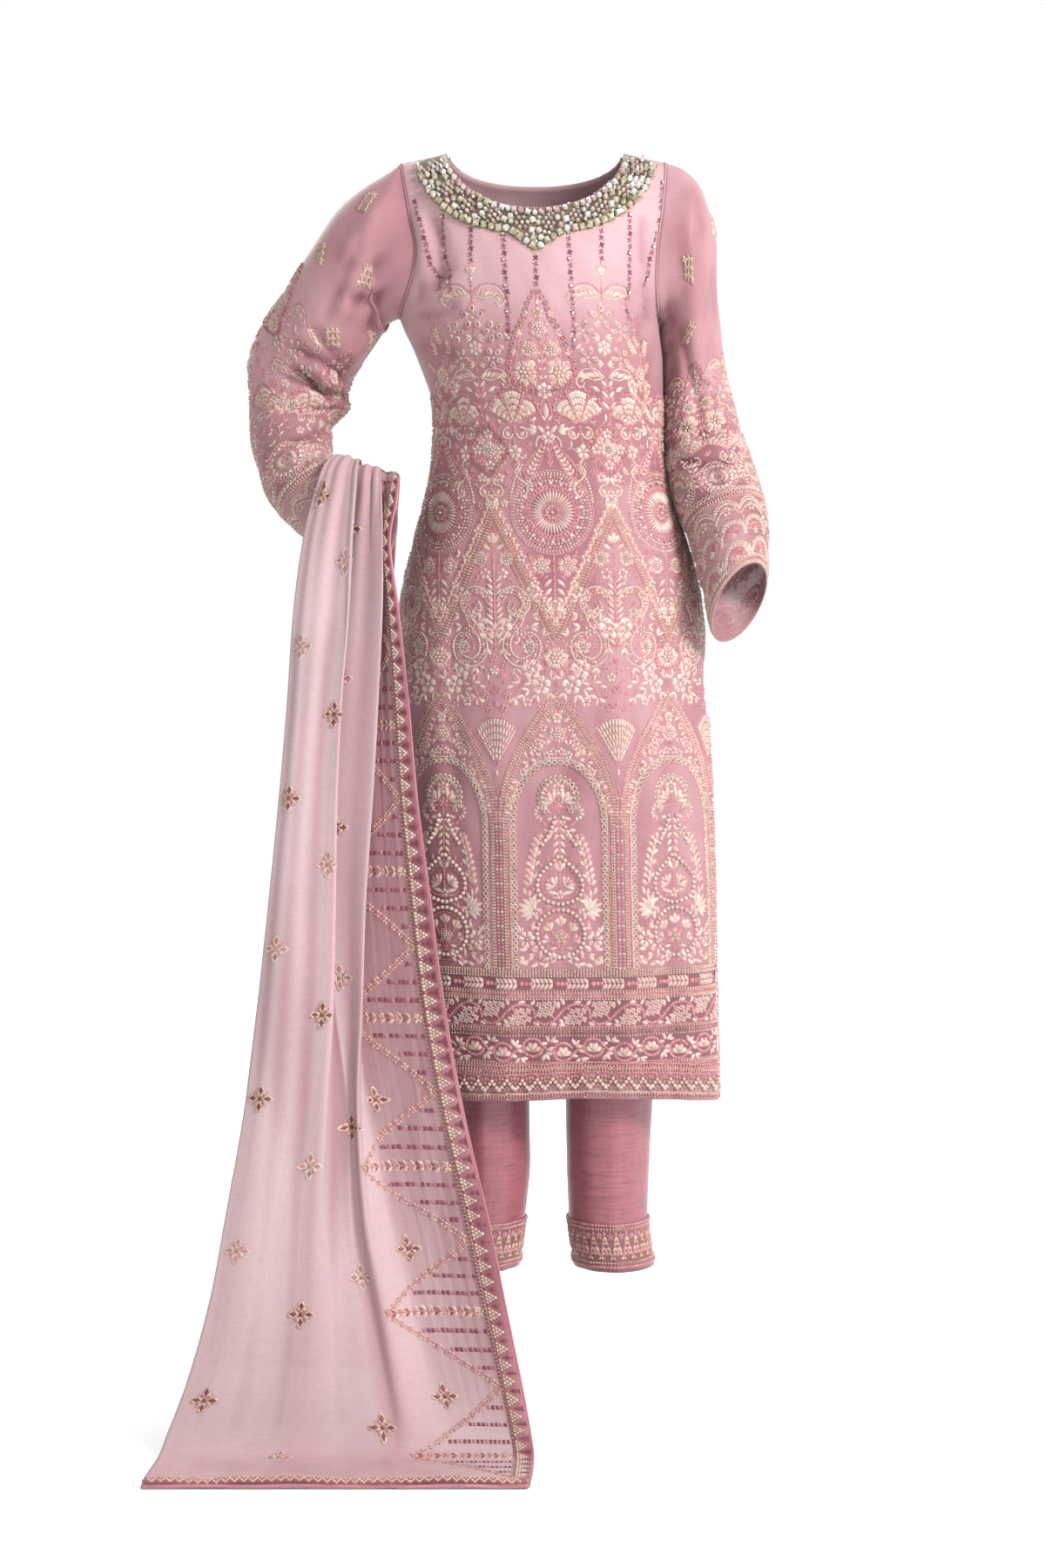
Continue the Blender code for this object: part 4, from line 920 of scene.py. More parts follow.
def chiffon_material(name, light, grey, shade_to, alpha_low, alpha_high):
    """Soft sheer cloth in two layers: greyer where only one shows, darkened by painted shade in its creases and where
    the tint is low.
    """
    m = Mat(name)
    tall = m.coords("Object", (1.0, 1.0, 0.22))
    patches = m.noise(tall, 11.0, 2.0, 0.5, 0.4)
    weave = m.noise(m.coords("Object", (1.0, 1.0, 0.08)), 1000.0, 1.0, 0.5)
    weft = m.noise(m.coords("Object", (0.08, 0.08, 1.0)), 1000.0, 1.0, 0.5)
    threads = m.math("ADD", m.math("MULTIPLY", weave, 0.5), m.math("MULTIPLY", weft, 0.5))
    tint = m.node("ShaderNodeAttribute", attribute_type="GEOMETRY", attribute_name="tint").outputs["Fac"]
    body = m.math("ADD", m.math("MULTIPLY", patches, 0.16), m.math("MULTIPLY", tint, 0.92))
    base = m.ramp(body, ((0.10, shade_to), (0.36, tuple(0.62 * a + 0.38 * c for a, c in zip(shade_to, grey))), (0.54, grey), (0.90, light)))
    shade = m.ramp(threads, ((0.30, (0.90, 0.90, 0.90, 1)), (0.60, (1, 1, 1, 1))))
    # painted shade from the fold attribute darkens the creases
    m.put(Base_Color=m.mix(m.mix(base, shade, 0.6, "MULTIPLY"), painted_crease_shade(m), 0.38, "MULTIPLY"), Roughness=0.85)
    m.put(Sheen_Weight=0.04, Sheen_Roughness=0.5, Sheen_Tint=(1.0, 0.84, 0.88, 1.0), Specular_IOR_Level=0.06)
    thin = m.math("ADD", m.math("MULTIPLY", patches, 0.7), m.math("MULTIPLY", threads, 0.3))
    m.put(Alpha=m.ramp(thin, ((0.38, (alpha_low,) * 3 + (1,)), (0.62, (alpha_high,) * 3 + (1,)))))
    m.bump(threads, 0.2, 0.0005)
    return m.mat


M = {}


def materials():
    M["kameez"] = kameez_material("organza", lin(212, 162, 168), lin(200, 146, 153), lin(176, 118, 127), yoke=lin(238, 194, 199), foot=lin(142, 86, 96))
    M["sleeve"] = kameez_material("organza_sleeve", lin(222, 172, 178), lin(212, 158, 164), lin(192, 134, 142), seed=1.5, low=lin(146, 90, 98))
    M["hem_band"] = kameez_material("hem_band_cloth", lin(206, 156, 160), lin(196, 144, 149), lin(178, 126, 133), seed=3.0)
    M["cuff"] = kameez_material("organza_cuff", lin(232, 182, 184), lin(220, 166, 168), lin(200, 142, 146), alpha=0.70)
    M["raw_silk"] = silk_material("raw_silk_cloth", lin(182, 106, 116), lin(150, 80, 92))
    M["trouser_cuff"] = silk_material("trouser_cuff_cloth", lin(150, 92, 94), lin(124, 72, 75))
    M["chiffon"] = chiffon_material("chiffon_cloth", lin(248, 200, 205), lin(246, 215, 218), lin(190, 134, 140), 0.80, 0.95)
    M["chiffon_strip"] = kameez_material("chiffon_strip_cloth", lin(200, 138, 147), lin(188, 122, 133), lin(166, 102, 115), seed=2.0)
    M["cream"] = thread_material("cream_thread", lin(208, 160, 150), lin(246, 228, 210), 0.42, 0.0, 0.6, 0.3)
    M["gold"] = thread_material("gold_thread", lin(208, 150, 132), lin(252, 220, 194), 0.40, 0.07, 0.6, 0.0)
    M["pink"] = thread_material("pink_thread", lin(174, 98, 106), lin(240, 162, 167), 0.44, 0.0, 0.5, 0.3)
    M["burgundy"] = thread_material("burgundy_thread", lin(110, 36, 54), lin(170, 80, 98), 0.48, 0.0, 0.5, 0.2)
    M["mauve"] = thread_material("mauve_thread", lin(158, 88, 114), lin(212, 142, 162), 0.48, 0.0, 0.5, 0.2)
    M["sequin"] = gem_material("sequins", lin(226, 196, 190), lin(255, 240, 232), 0.5, 0.15)
    M["stone_cream"] = gem_material("cream_stones", lin(226, 212, 198), lin(255, 255, 250), 0.6)
    M["stone_ab"] = gem_material("green_gold_stones", lin(168, 150, 116), lin(252, 244, 216), 0.9, 0.20)
    M["stone_rose"] = gem_material("rose_stones", lin(186, 128, 130), lin(248, 220, 212), 0.9, 0.12)
    M["setting"] = gem_material("dark_settings", lin(122, 100, 88), lin(204, 178, 150), 0.2, 0.7)


COLOURS = ("cream", "gold", "pink", "burgundy", "mauve", "sequin", "stone_cream", "stone_ab", "stone_rose", "setting")
CREAM, GOLD, PINK, BURG, MAUVE, SEQ, STC, STA, STR, SET = range(10)


# ---- stitches ------------------------------------------------------------
# Each template: points (along, across, up), faces. Along runs 0..1 from the root,
# or -.5..+.5 for round ones; across -.5..+.5; up 0..1.
def _lens(outline, ridge_points):
    """An outline (root, one side..., tip, other side...) with a ridge inside it."""
    k = (len(outline) - 2) // 2
    verts = [(x, y, 0.0) for x, y in outline] + [(x, 0.0, h) for x, h in ridge_points]
    n = len(outline)
    root, tip = 0, k + 1
    left = list(range(1, k + 1))              # y < 0 side, from root to tip
    right = list(range(n - 1, k + 1, -1))     # y > 0 side, from root to tip
    ridge_ids = list(range(n, n + len(ridge_points)))
    tris = []
    for side, sign in ((left, 1), (right, -1)):
        chain = [root] + side + [tip]
        inner = [ridge_ids[0]] + ridge_ids + [ridge_ids[-1]]
        for i in range(len(chain) - 1):
            a, b = chain[i], chain[i + 1]
            c, d = inner[min(i + 1, len(inner) - 1)], inner[min(i, len(inner) - 1)]
            face = [(a, b, c)] if c == d else [(a, b, c), (a, c, d)]
            for f in face:
                tris.append(f if sign > 0 else f[::-1])
    return np.array(verts, float), np.array([t for t in tris if len(set(t)) == 3], int)


def _disc(sides, rings, top=None, turn=0.0):
    """Rings of points (radius, height) from outside in, closed by a point or a flat table."""
    verts, tris = [], []
    for radius, height in rings:
        for k in range(sides):
            a = turn + 2 * PI * k / sides
            verts.append((radius * math.cos(a), radius * math.sin(a), height))
    for r in range(len(rings) - 1):
        for k in range(sides):
            a, b = r * sides + k, r * sides + (k + 1) % sides
            c, d = a + sides, b + sides
            tris += [(a, b, d), (a, d, c)]
    last = (len(rings) - 1) * sides
    if top is not None:
        verts.append((0, 0, top))
        tris += [(last + k, last + (k + 1) % sides, len(verts) - 1) for k in range(sides)]
    return np.array(verts, float), np.array(tris, int)


def _table(sides, rings, turn=0.0):
    verts, tris = _disc(sides, rings, None, turn)
    last = (len(rings) - 1) * sides
    fan = [(last, last + k, last + k + 1) for k in range(1, sides - 1)]
    return verts, np.concatenate([tris, np.array(fan, int)])


TEMPLATES = {
    0: _lens([(0, 0), (0.20, -0.34), (0.48, -0.50), (0.78, -0.30), (1, 0), (0.78, 0.30), (0.48, 0.50), (0.20, 0.34)], [(0.22, 0.6), (0.50, 1.0), (0.80, 0.6)]),
    1: _lens([(0, 0), (0.28, -0.24), (0.64, -0.50), (0.92, -0.36), (1.04, 0), (0.92, 0.36), (0.64, 0.50), (0.28, 0.24)], [(0.30, 0.5), (0.62, 1.0), (0.86, 0.7)]),
    2: _lens([(0, 0), (0.18, -0.50), (0.82, -0.50), (1, 0), (0.82, 0.50), (0.18, 0.50)], [(0.5, 1.0)]),
    3: _disc(6, [(0.5, 0.0)], 1.0),
    4: _disc(8, [(0.5, 0.0), (0.42, 0.62)], 1.0),
    5: _disc(7, [(0.5, 0.0), (0.37, 1.0), (0.22, 0.15)]),
    6: _disc(7, [(0.5, 1.0)], 0.35),
    7: _table(8, [(0.46, 0.0), (0.5, 0.42), (0.27, 1.0)], PI / 8),
    8: _table(4, [(0.62, 0.0), (0.66, 0.42), (0.36, 1.0)], PI / 4),
}
LEAF, PETAL, STITCH, BEAD, PEARL, RING, SEQUIN, ROUND, SQUARE = range(9)
# the same stitches with fewer faces, for the back of the kameez
LITE = dict(TEMPLATES)
LITE.update({
    0: _lens([(0, 0), (0.30, -0.44), (0.70, -0.40), (1, 0), (0.70, 0.40), (0.30, 0.44)], [(0.50, 1.0)]),
    1: _lens([(0, 0), (0.34, -0.32), (0.78, -0.50), (1.04, 0), (0.78, 0.50), (0.34, 0.32)], [(0.60, 1.0)]),
    2: _lens([(0, 0), (0.50, -0.62), (1, 0), (0.50, 0.62)], [(0.50, 1.0)]),
    3: _disc(5, [(0.5, 0.0)], 1.0),
    4: _disc(6, [(0.5, 0.0)], 0.8),
    5: _disc(6, [(0.5, 0.0), (0.30, 1.0)]),
    6: _disc(5, [(0.5, 1.0)], 0.35),
})
FLAT_KINDS = (ROUND, SQUARE)


class Pen:
    """Stitches in a motif's own plane. Row: kind, colour, x, y, angle, length, width, height, lift."""

    edge = None  # a colour that outlines pale leaves and petals
    coarse = 1.0  # stitches this much longer in cords

    def __init__(self):
        self.rows = []

    def edged(self, kind, colour, x, y, angle, length, width, height, lift):
        if self.edge is not None and colour in (CREAM, GOLD) and width > 0.0029:
            self.one(kind, self.edge, x - 0.0007 * math.cos(angle), y - 0.0007 * math.sin(angle), angle, length + 0.0016, width + 0.0018, height * 0.6, lift)
            lift += 0.0003
        self.one(kind, colour, x, y, angle, length, width, height, lift)

    def one(self, kind, colour, x, y, angle=0.0, length=0.004, width=None, height=0.0008, lift=0.0):
        self.rows.append((kind, colour, x, y, angle, length, length if width is None else width, height, lift))

    def leaf(self, colour, x, y, angle, length, width, height=0.0009, lift=0.0):
        self.edged(LEAF, colour, x, y, angle, length, width, height, lift)

    def petal(self, colour, x, y, angle, length, width, height=0.0010, lift=0.0):
        self.edged(PETAL, colour, x, y, angle, length, width, height, lift)

    def bead(self, colour, x, y, size=0.0028, height=None, lift=0.0, kind=BEAD):
        self.one(kind, colour, x, y, 0.3, size, size, size * 0.42 if height is None else height, lift)

    def ring(self, colour, x, y, size=0.006, width=None, angle=0.0, height=0.0009):
        self.one(RING, colour, x, y, angle, size, width or size, height)

    def path(self, points, pitch, smooth_path=True):
        """Points and headings every pitch metres along a line of points."""
        points = np.asarray(points, float)
        if smooth_path and len(points) > 2:
            points = catmull(points, np.linspace(0, len(points) - 1, 12 * (len(points) - 1) + 1))
        seg = np.hypot(*np.diff(points, axis=0).T)
        run = np.concatenate([[0], np.cumsum(seg)])
        count = max(1, int(round(run[-1] / pitch)))
        at = (np.arange(count) + 0.5) * run[-1] / count
        x, y = np.interp(at, run, points[:, 0]), np.interp(at, run, points[:, 1])
        k = np.clip(np.searchsorted(run, at) - 1, 0, len(seg) - 1)
        d = points[k + 1] - points[k]
        return x, y, np.arctan2(d[:, 1], d[:, 0]), run[-1] / count

    def cord(self, colour, points, width=0.0014, pitch=0.0040, height=0.0010, twist=0.16, smooth_path=True):
        pitch *= Pen.coarse
        """Stem stitch: short overlapping stitches, each slightly turned."""
        x, y, a, gap = self.path(points, pitch, smooth_path)
        length = gap * 1.35
        for px, py, pa in zip(x, y, a):
            t = pa + twist
            self.one(STITCH, colour, px - math.cos(t) * length / 2, py - math.sin(t) * length / 2, t, length, width, height)

    def braid(self, colour, points, width=0.0034, pitch=0.0032, height=0.0010, smooth_path=True, other=None):
        pitch *= Pen.coarse
        """Chain of slanted stitch pairs, as in a plait."""
        x, y, a, gap = self.path(points, pitch, smooth_path)
        length = width * 0.85
        for px, py, pa in zip(x, y, a):
            for sign in (1, -1):
                t = pa + sign * 0.62
                c = colour if (sign > 0 or other is None) else other
                self.one(STITCH, c, px, py, t, length, width * 0.42, height)

    def beads(self, colour, points, size=0.0026, pitch=0.0034, kind=BEAD, smooth_path=True, every=None, other=None):
        pitch *= Pen.coarse
        x, y, _, _ = self.path(points, pitch, smooth_path)
        for k, (px, py) in enumerate(zip(x, y)):
            c = other if (other is not None and every and k % every == 0) else colour
            self.bead(c, px, py, size, kind=kind)

    def rings(self, colour, points, size=0.0062, pitch=0.0062, smooth_path=True, height=0.0011):
        pitch *= Pen.coarse
        x, y, a, _ = self.path(points, pitch, smooth_path)
        for px, py, pa in zip(x, y, a):
            self.ring(colour, px, py, size, size * 0.9, pa, height)
            self.leaf(PINK if colour == CREAM else GOLD, px - math.cos(pa) * size * 0.2, py - math.sin(pa) * size * 0.2, pa, size * 0.4, size * 0.36, height)

    def sprig(self, leaf_colour, stem_colour, points, leaf=0.006, gap=0.006, width=0.0026, spread=0.75, stem=0.0012):
        """A stem with pairs of leaves."""
        self.cord(stem_colour, points, stem, 0.0045, 0.0008)
        x, y, a, _ = self.path(points, gap)
        for px, py, pa in zip(x, y, a):
            for sign in (1, -1):
                self.leaf(leaf_colour, px, py, pa + sign * spread, leaf, width)

    def flower(self, x, y, r, petals=5, outer=CREAM, inner=PINK, centre=GOLD, turn=PI / 2, plump=1.0):
        """Petals in one colour with a smaller one in another on each, round a bead."""
        width = 2 * PI * r * 0.62 / petals * 1.02 * plump
        for k in range(petals):
            a = turn + 2 * PI * k / petals
            self.petal(outer, x + math.cos(a) * r * 0.12, y + math.sin(a) * r * 0.12, a, r * 0.88, width, 0.0011)
            if inner is not None and r > 0.0055:
                self.leaf(inner, x + math.cos(a) * r * 0.24, y + math.sin(a) * r * 0.24, a, r * 0.50, width * 0.42, 0.0006, 0.0008)
        self.bead(centre, x, y, max(0.0022, r * 0.34), lift=0.0006)

    def ruffle(self, x, y, r, outer=CREAM, second=CREAM, third=PINK, centre=SEQ, turn=0.0):
        """A full round bloom: six broad petals of close stitches in an outline, and a small heart."""
        petals = 6 if r > 0.010 else 5
        for k in range(petals):
            a = turn + PI / 2 + 2 * PI * k / petals
            self.petal(third, x + math.cos(a) * r * 0.22, y + math.sin(a) * r * 0.22, a, r * 0.86, 2 * PI * r * 0.66 / petals * 1.12, 0.0008, 0.0)
            for j in (-1, 0, 1):
                d = a + j * 0.30
                self.one(STITCH, outer, x + math.cos(d) * r * 0.34, y + math.sin(d) * r * 0.34, d, r * (0.60 if j == 0 else 0.54), 2 * PI * r * 0.62 / petals / 3 * 1.02, 0.0016)
        for k in range(petals):
            a = turn + PI / 2 + 2 * PI * (k + 0.5) / petals
            self.petal(second, x + math.cos(a) * r * 0.08, y + math.sin(a) * r * 0.08, a, r * 0.34, r * 0.26, 0.0012, 0.0008)
        self.bead(centre, x, y, max(0.0026, r * 0.24), lift=0.0014)

    def bud(self, x, y, angle, r=0.005, outer=CREAM, inner=PINK):
        for d in (-0.55, 0.55, 0.0):
            self.petal(outer if d else inner, x, y, angle + d, r * (0.9 if d else 1.0), r * 0.5, 0.0010, 0.0 if d else 0.0004)

    def curl(self, colour, x, y, size, angle=0.0, hand=1, turns=1.35, width=0.0013, height=0.0010, kind="cord"):
        """A scroll that winds in from its outer end at (x, y)."""
        t = np.linspace(0, 1, 22)
        r = size * (1 - 0.80 * t)
        a = turns * 2 * PI * t
        cx, cy = x + size * math.cos(angle + hand * PI / 2), y + size * math.sin(angle + hand * PI / 2)
        start = angle - hand * PI / 2
        pts = np.stack([cx + r * np.cos(start + hand * a), cy + r * np.sin(start + hand * a)], 1)
        if kind == "cord":
            self.cord(colour, pts, width, 0.0030, height, smooth_path=False)
        else:
            self.beads(colour, pts, width, width * 1.25, smooth_path=False)

    def array(self):
        return np.array(self.rows, float).reshape(-1, 9)


def moved(rows, x=0.0, y=0.0, turn=0.0, scale=1.0, mirror=False):
    r = np.array(rows, float)
    if mirror:
        r[:, 2] *= -1
        r[:, 4] = PI - r[:, 4]
    r[:, 2:4] *= scale
    r[:, 5:7] *= scale
    c, s = math.cos(turn), math.sin(turn)
    px, py = r[:, 2].copy(), r[:, 3].copy()
    r[:, 2], r[:, 3] = x + c * px - s * py, y + s * px + c * py
    r[:, 4] += turn
    return r


def both(rows):
    """A motif and its mirror image."""
    return np.concatenate([rows, moved(rows, mirror=True)])


class Work:
    """Thread work on one chart: rows in chart coordinates, with the chart's scale at each."""

    def __init__(self, name, chart, lite=False):
        self.name, self.chart, self.kinds, self.parts = name, chart, LITE if lite else TEMPLATES, []

    def add(self, rows, a=0.0, b=0.0, turn=0.0, scale=1.0, mirror=False, true=False):
        """true keeps the motif's real size where the chart is squeezed or stretched."""
        rows = moved(rows, 0, 0, turn, scale, mirror)
        if true:
            ma, mb = self.chart.scale_at(a, b)
        else:
            ma = mb = 1.0
        rows[:, 2] = a + rows[:, 2] / ma
        rows[:, 3] = b + rows[:, 3] / mb
        self.parts.append(np.concatenate([rows, np.full((len(rows), 1), ma), np.full((len(rows), 1), mb)], 1))

    def build(self):
        rows = np.concatenate(self.parts)
        made = []
        for colour in np.unique(rows[:, 1]).astype(int):
            verts, faces, uvs, flats, start = [], [], [], [], 0
            for kind in np.unique(rows[rows[:, 1] == colour][:, 0]).astype(int):
                sel = rows[(rows[:, 1] == colour) & (rows[:, 0] == kind)]
                tv, tf = self.kinds[kind]
                lx = tv[None, :, 0] * sel[:, 5, None]
                ly = tv[None, :, 1] * sel[:, 6, None]
                c, s = np.cos(sel[:, 4])[:, None], np.sin(sel[:, 4])[:, None]
                x = sel[:, 2, None] + (c * lx - s * ly) / sel[:, 9, None]
                y = sel[:, 3, None] + (s * lx + c * ly) / sel[:, 10, None]
                p, n, ok = self.chart.at(x, y)
                reach = np.linalg.norm(p - p[:, :1], axis=2).max(axis=1)
                keep = ok.all(axis=1) & (reach < 1.7 * np.maximum(sel[:, 5], sel[:, 6]) + 0.0012)
                if not keep.any():
                    continue
                up = tv[None, :, 2] * sel[:, 7, None] * 1.35
                if kind == SEQUIN:  # each lies at its own small tilt
                    lean = RNG.uniform(-0.16, 0.16, (len(sel), 2))
                    up = up + lx * lean[:, :1] + ly * lean[:, 1:] + 0.0003
                up = up + sel[:, 8, None] + 0.00012 - 0.00030 * (tv[None, :, 2] == 0)
                q = (p + n * up[..., None])[keep]
                q = q.reshape(-1, 3)
                m, k = int(keep.sum()), len(tv)
                f = (tf[None] + (np.arange(m) * k)[:, None, None]).reshape(-1, 3) + start
                if self.chart.flip:
                    f = f[:, ::-1]
                tile = RNG.integers(0, 144, m)
                base = np.stack([tile % 12, tile // 12], 1)[:, None, :] / 12.0
                span = np.ptp(tv[:, :2], axis=0)
                local = (tv[:, :2] - tv[:, :2].min(0)) / span
                local = np.stack([local[:, 1], local[:, 0]], 1) * (0.068) + 0.007
                uvs.append((base + local[None]).reshape(-1, 2))
                verts.append(q)
                faces.append(f)
                flats.append(np.full(len(f), kind in FLAT_KINDS))
                start += len(q)
            if not verts:
                continue
            name = f"{self.name}_{COLOURS[colour]}"
            obj = new_object(name, np.concatenate(verts), [np.concatenate(faces)], M[COLOURS[colour]], np.concatenate(uvs), flat_mask=np.concatenate(flats))
            print("WORK", name, sum(len(f) for f in faces))
            made.append(obj)
        return made


class Chart:
    """Points and normals over a regular grid of cloth coordinates (a across, b up), with where the cloth is."""

    def __init__(self, a, b, p, n, inside, wrap=False):
        self.a, self.b, self.p, self.n, self.inside, self.wrap = a, b, p, n, inside, wrap
        i, j = len(b) // 2, len(a) // 2
        da, db = p[i, j + 1] - p[i, j], p[i + 1, j] - p[i, j]
        sign = np.sign(a[1] - a[0]) * np.sign(b[1] - b[0])
        self.flip = np.cross(da, db).dot(n[i, j]) * sign < 0
        self.ma = np.linalg.norm(np.gradient(p, axis=1), axis=2) / abs(a[1] - a[0])
        self.mb = np.linalg.norm(np.gradient(p, axis=0), axis=2) / abs(b[1] - b[0])

    def places(self, a, b):
        j = (a - self.a[0]) / (self.a[-1] - self.a[0]) * (len(self.a) - 1)
        i = (b - self.b[0]) / (self.b[-1] - self.b[0]) * (len(self.b) - 1)
        if self.wrap:
            j = np.mod(j, len(self.a) - 1)
        ok = (i >= 0) & (i <= len(self.b) - 1) & (j >= 0) & (j <= len(self.a) - 1)
        return np.clip(i, 0, len(self.b) - 1.0001), np.clip(j, 0, len(self.a) - 1.0001), ok

    def at(self, a, b):
        i, j, ok = self.places(a, b)
        i0, j0 = i.astype(int), j.astype(int)
        s, t = (i - i0)[..., None], (j - j0)[..., None]

        def mix(f):
            return (1 - s) * ((1 - t) * f[i0, j0] + t * f[i0, j0 + 1]) + s * ((1 - t) * f[i0 + 1, j0] + t * f[i0 + 1, j0 + 1])

        return mix(self.p), unit(mix(self.n)), ok & self.inside[i0, j0] & self.inside[i0 + 1, j0 + 1]

    def scale_at(self, a, b):
        i, j, _ = self.places(np.array(float(a)), np.array(float(b)))
        return max(0.05, float(self.ma[int(i), int(j)])), max(0.05, float(self.mb[int(i), int(j)]))


def panel_chart(surface, facing, margin=0.0015):
    """a: metres along the cloth from the middle, to the viewer's right. b: height."""
    z = np.linspace(0.004, -1.082, 900)
    fine_u = np.linspace(-1, 1, 401)
    p, n = surface.at(fine_u[None, :], z[:, None])
    run = np.concatenate([np.zeros((len(z), 1)), np.cumsum(np.linalg.norm(np.diff(p, axis=1)[..., :], axis=2), 1)], 1)
    run = run - run[:, 200:201]
    a = np.linspace(-0.262, 0.262, 420)
    uu = np.stack([np.interp(a, run[k], fine_u, left=-2, right=2) for k in range(len(z))])
    q, m = surface.at(np.clip(uu, -1, 1), z[:, None])
    x = q[..., 0]
    drop = NECK_DROP_FRONT if facing < 0 else NECK_DROP_BACK
    limit = np.where(np.abs(x + 0.0005) < NECK_HALF, neckline_z(x, drop), shoulder_z(x)) - margin
    inside = (np.abs(uu) < 0.995) & (z[:, None] < limit) & (z[:, None] > hem_z(np.clip(uu, -1, 1)) + 0.0005)
    if facing > 0:
        a = -a
    return Chart(a, z, q, m, inside)


def sleeve_chart(surface, side):
    """a: 0..1 round the sleeve from its top, b: from 1 at the armhole to 0 at the cuff's edge."""
    return Chart(surface.u / (2 * PI), 1 - surface.v, surface.p, surface.n, np.ones(surface.p.shape[:2], bool), wrap=True)


# ---- motifs --------------------------------------------------------------
# Drawn from the common stock of flowers, leaves, fans, paisleys and arches.
PITCH = 0.137  # from the middle of one arch to the next


def thick(rows, factor):
    """The same motif with fuller stitches."""
    rows = rows.copy()
    rows[:, 5:7] *= factor
    return rows


def cross_line(points, gap=0.0074, size=0.0074, sequins=0):
    """A line of little four-petalled blossoms."""
    pen = Pen()
    x, y, a, _ = pen.path(points, gap)
    for k, (px, py, pa) in enumerate(zip(x, y, a)):
        c = MAUVE if k % 3 else BURG
        px += 0.0005 * math.sin(k * 2.9)
        for q in range(4):
            t = pa + PI / 4 + q * PI / 2 + 0.35 * math.sin(k * 1.7)
            pen.leaf(c, px, py, t, size * 0.54, 0.0027, 0.0012)
        pen.leaf(BURG, px, py + gap * 0.5, pa, 0.0034, 0.0014, 0.0009)
        if sequins and k % sequins == 0:
            pen.bead(SEQ, px, py, 0.0036, kind=SEQUIN, height=0.0008, lift=0.0006)
        else:
            pen.bead(BURG, px, py, 0.0019)
    return pen.array()


def wing_pair(size=0.040):
    """A pair of curled leaves: cream edge, gold filling."""
    pen = Pen()
    s = size
    pen.cord(CREAM, [(0.08 * s, 0.0), (0.40 * s, 0.24 * s), (0.80 * s, 0.18 * s), (1.02 * s, -0.16 * s), (0.86 * s, -0.34 * s), (0.76 * s, -0.20 * s)], 0.0017, 0.0034, 0.0011)
    pen.cord(CREAM, [(0.08 * s, -0.02 * s), (0.40 * s, -0.10 * s), (0.70 * s, -0.04 * s), (0.86 * s, -0.16 * s)], 0.0015, 0.0034, 0.0011)
    for k in range(6):
        t = 0.14 + 0.115 * k
        pen.leaf(GOLD if k % 2 else CREAM, t * s, -0.03 * s + 0.02 * s * (k % 2), 0.95 - 0.16 * k, 0.24 * s, 0.0036)
    pen.cord(PINK, [(0.0, 0.06 * s), (0.38 * s, 0.33 * s), (0.84 * s, 0.26 * s), (1.10 * s, -0.10 * s)], 0.0013, 0.0036, 0.0009)
    return both(pen.array())


def loop_flower(r=0.011, outer=PINK, inner=CREAM):
    pen = Pen()
    for k in range(5):
        a = PI / 2 + 2 * PI * k / 5
        pen.one(PETAL, outer, math.cos(a) * r * 0.16, math.sin(a) * r * 0.16, a, r * 0.92, r * 0.60, 0.0010)
        pen.ring(inner, math.cos(a) * r * 0.66, math.sin(a) * r * 0.66, r * 0.62, r * 0.44, a, 0.0016)
        pen.leaf(outer, math.cos(a) * r * 0.50, math.sin(a) * r * 0.50, a, r * 0.34, r * 0.16, 0.0012)
    pen.bead(CREAM, 0, 0, r * 0.28)
    return pen.array()


def plant():
    """A tall stem from its bud at the top, for 0.165 m down."""
    pen = Pen()
    pen.cord(PINK, [(0, 0.0), (0.001, -0.05), (-0.001, -0.11), (0, -0.165)], 0.0016, 0.0042)
    for a in (0.45, -0.45, 0.0):
        pen.petal(CREAM, 0, 0.000, PI / 2 + a, 0.010, 0.0042)
    pen.bead(CREAM, 0, -0.003, 0.004)
    pen.bead(PINK, 0, 0.014, 0.003)
    rows = [pen.array(), moved(wing_pair(0.038), 0, -0.022), moved(wing_pair(0.036), 0, -0.112)]
    rows.append(moved(loop_flower(0.0150), 0.0, -0.046))
    for sign in (-1, 1):
        rows.append(moved(loop_flower(0.0125), sign * 0.0235, -0.062, 0.3 * sign))
        rows.append(moved(loop_flower(0.0120), sign * 0.0205, -0.091, 0.5 * sign))
        side = Pen()
        side.cord(PINK, [(0, -0.072), (sign * 0.012, -0.066), (sign * 0.022, -0.062)], 0.0013, 0.004)
        side.cord(PINK, [(0, -0.100), (sign * 0.010, -0.096), (sign * 0.018, -0.092)], 0.0013, 0.004)
        for d in (-0.5, 0.0, 0.5):
            side.leaf(CREAM, sign * 0.003, -0.069, (0 if sign > 0 else PI) + d, 0.009, 0.0032)
            side.leaf(GOLD, sign * 0.002, -0.098, (0 if sign > 0 else PI) + d, 0.008, 0.0030)
        rows.append(side.array())
    low = Pen()
    for k in range(6):
        for sign in (-1, 1):
            low.leaf(CREAM if k % 2 else PINK, sign * 0.0008, -0.150 + 0.0062 * k - 0.004, PI / 2 - sign * 0.75, 0.0112 - 0.0005 * k, 0.0038)
    low.bead(CREAM, 0, -0.080, 0.0042)
    low.flower(0, -0.080, 0.0080, 6, CREAM, None, PINK)
    for sign in (-1, 1):
        for px, py, tt in ((0.010, -0.128, 0.5), (0.014, -0.136, -0.2), (0.009, -0.146, -0.6)):
            low.leaf(CREAM, sign * px, py, tt if sign > 0 else PI - tt, 0.0100, 0.0040)
            low.bead(PINK, sign * (px + 0.011), py + 0.004, 0.0036)
    rows.append(low.array())
    return thick(np.concatenate(rows), 1.10)


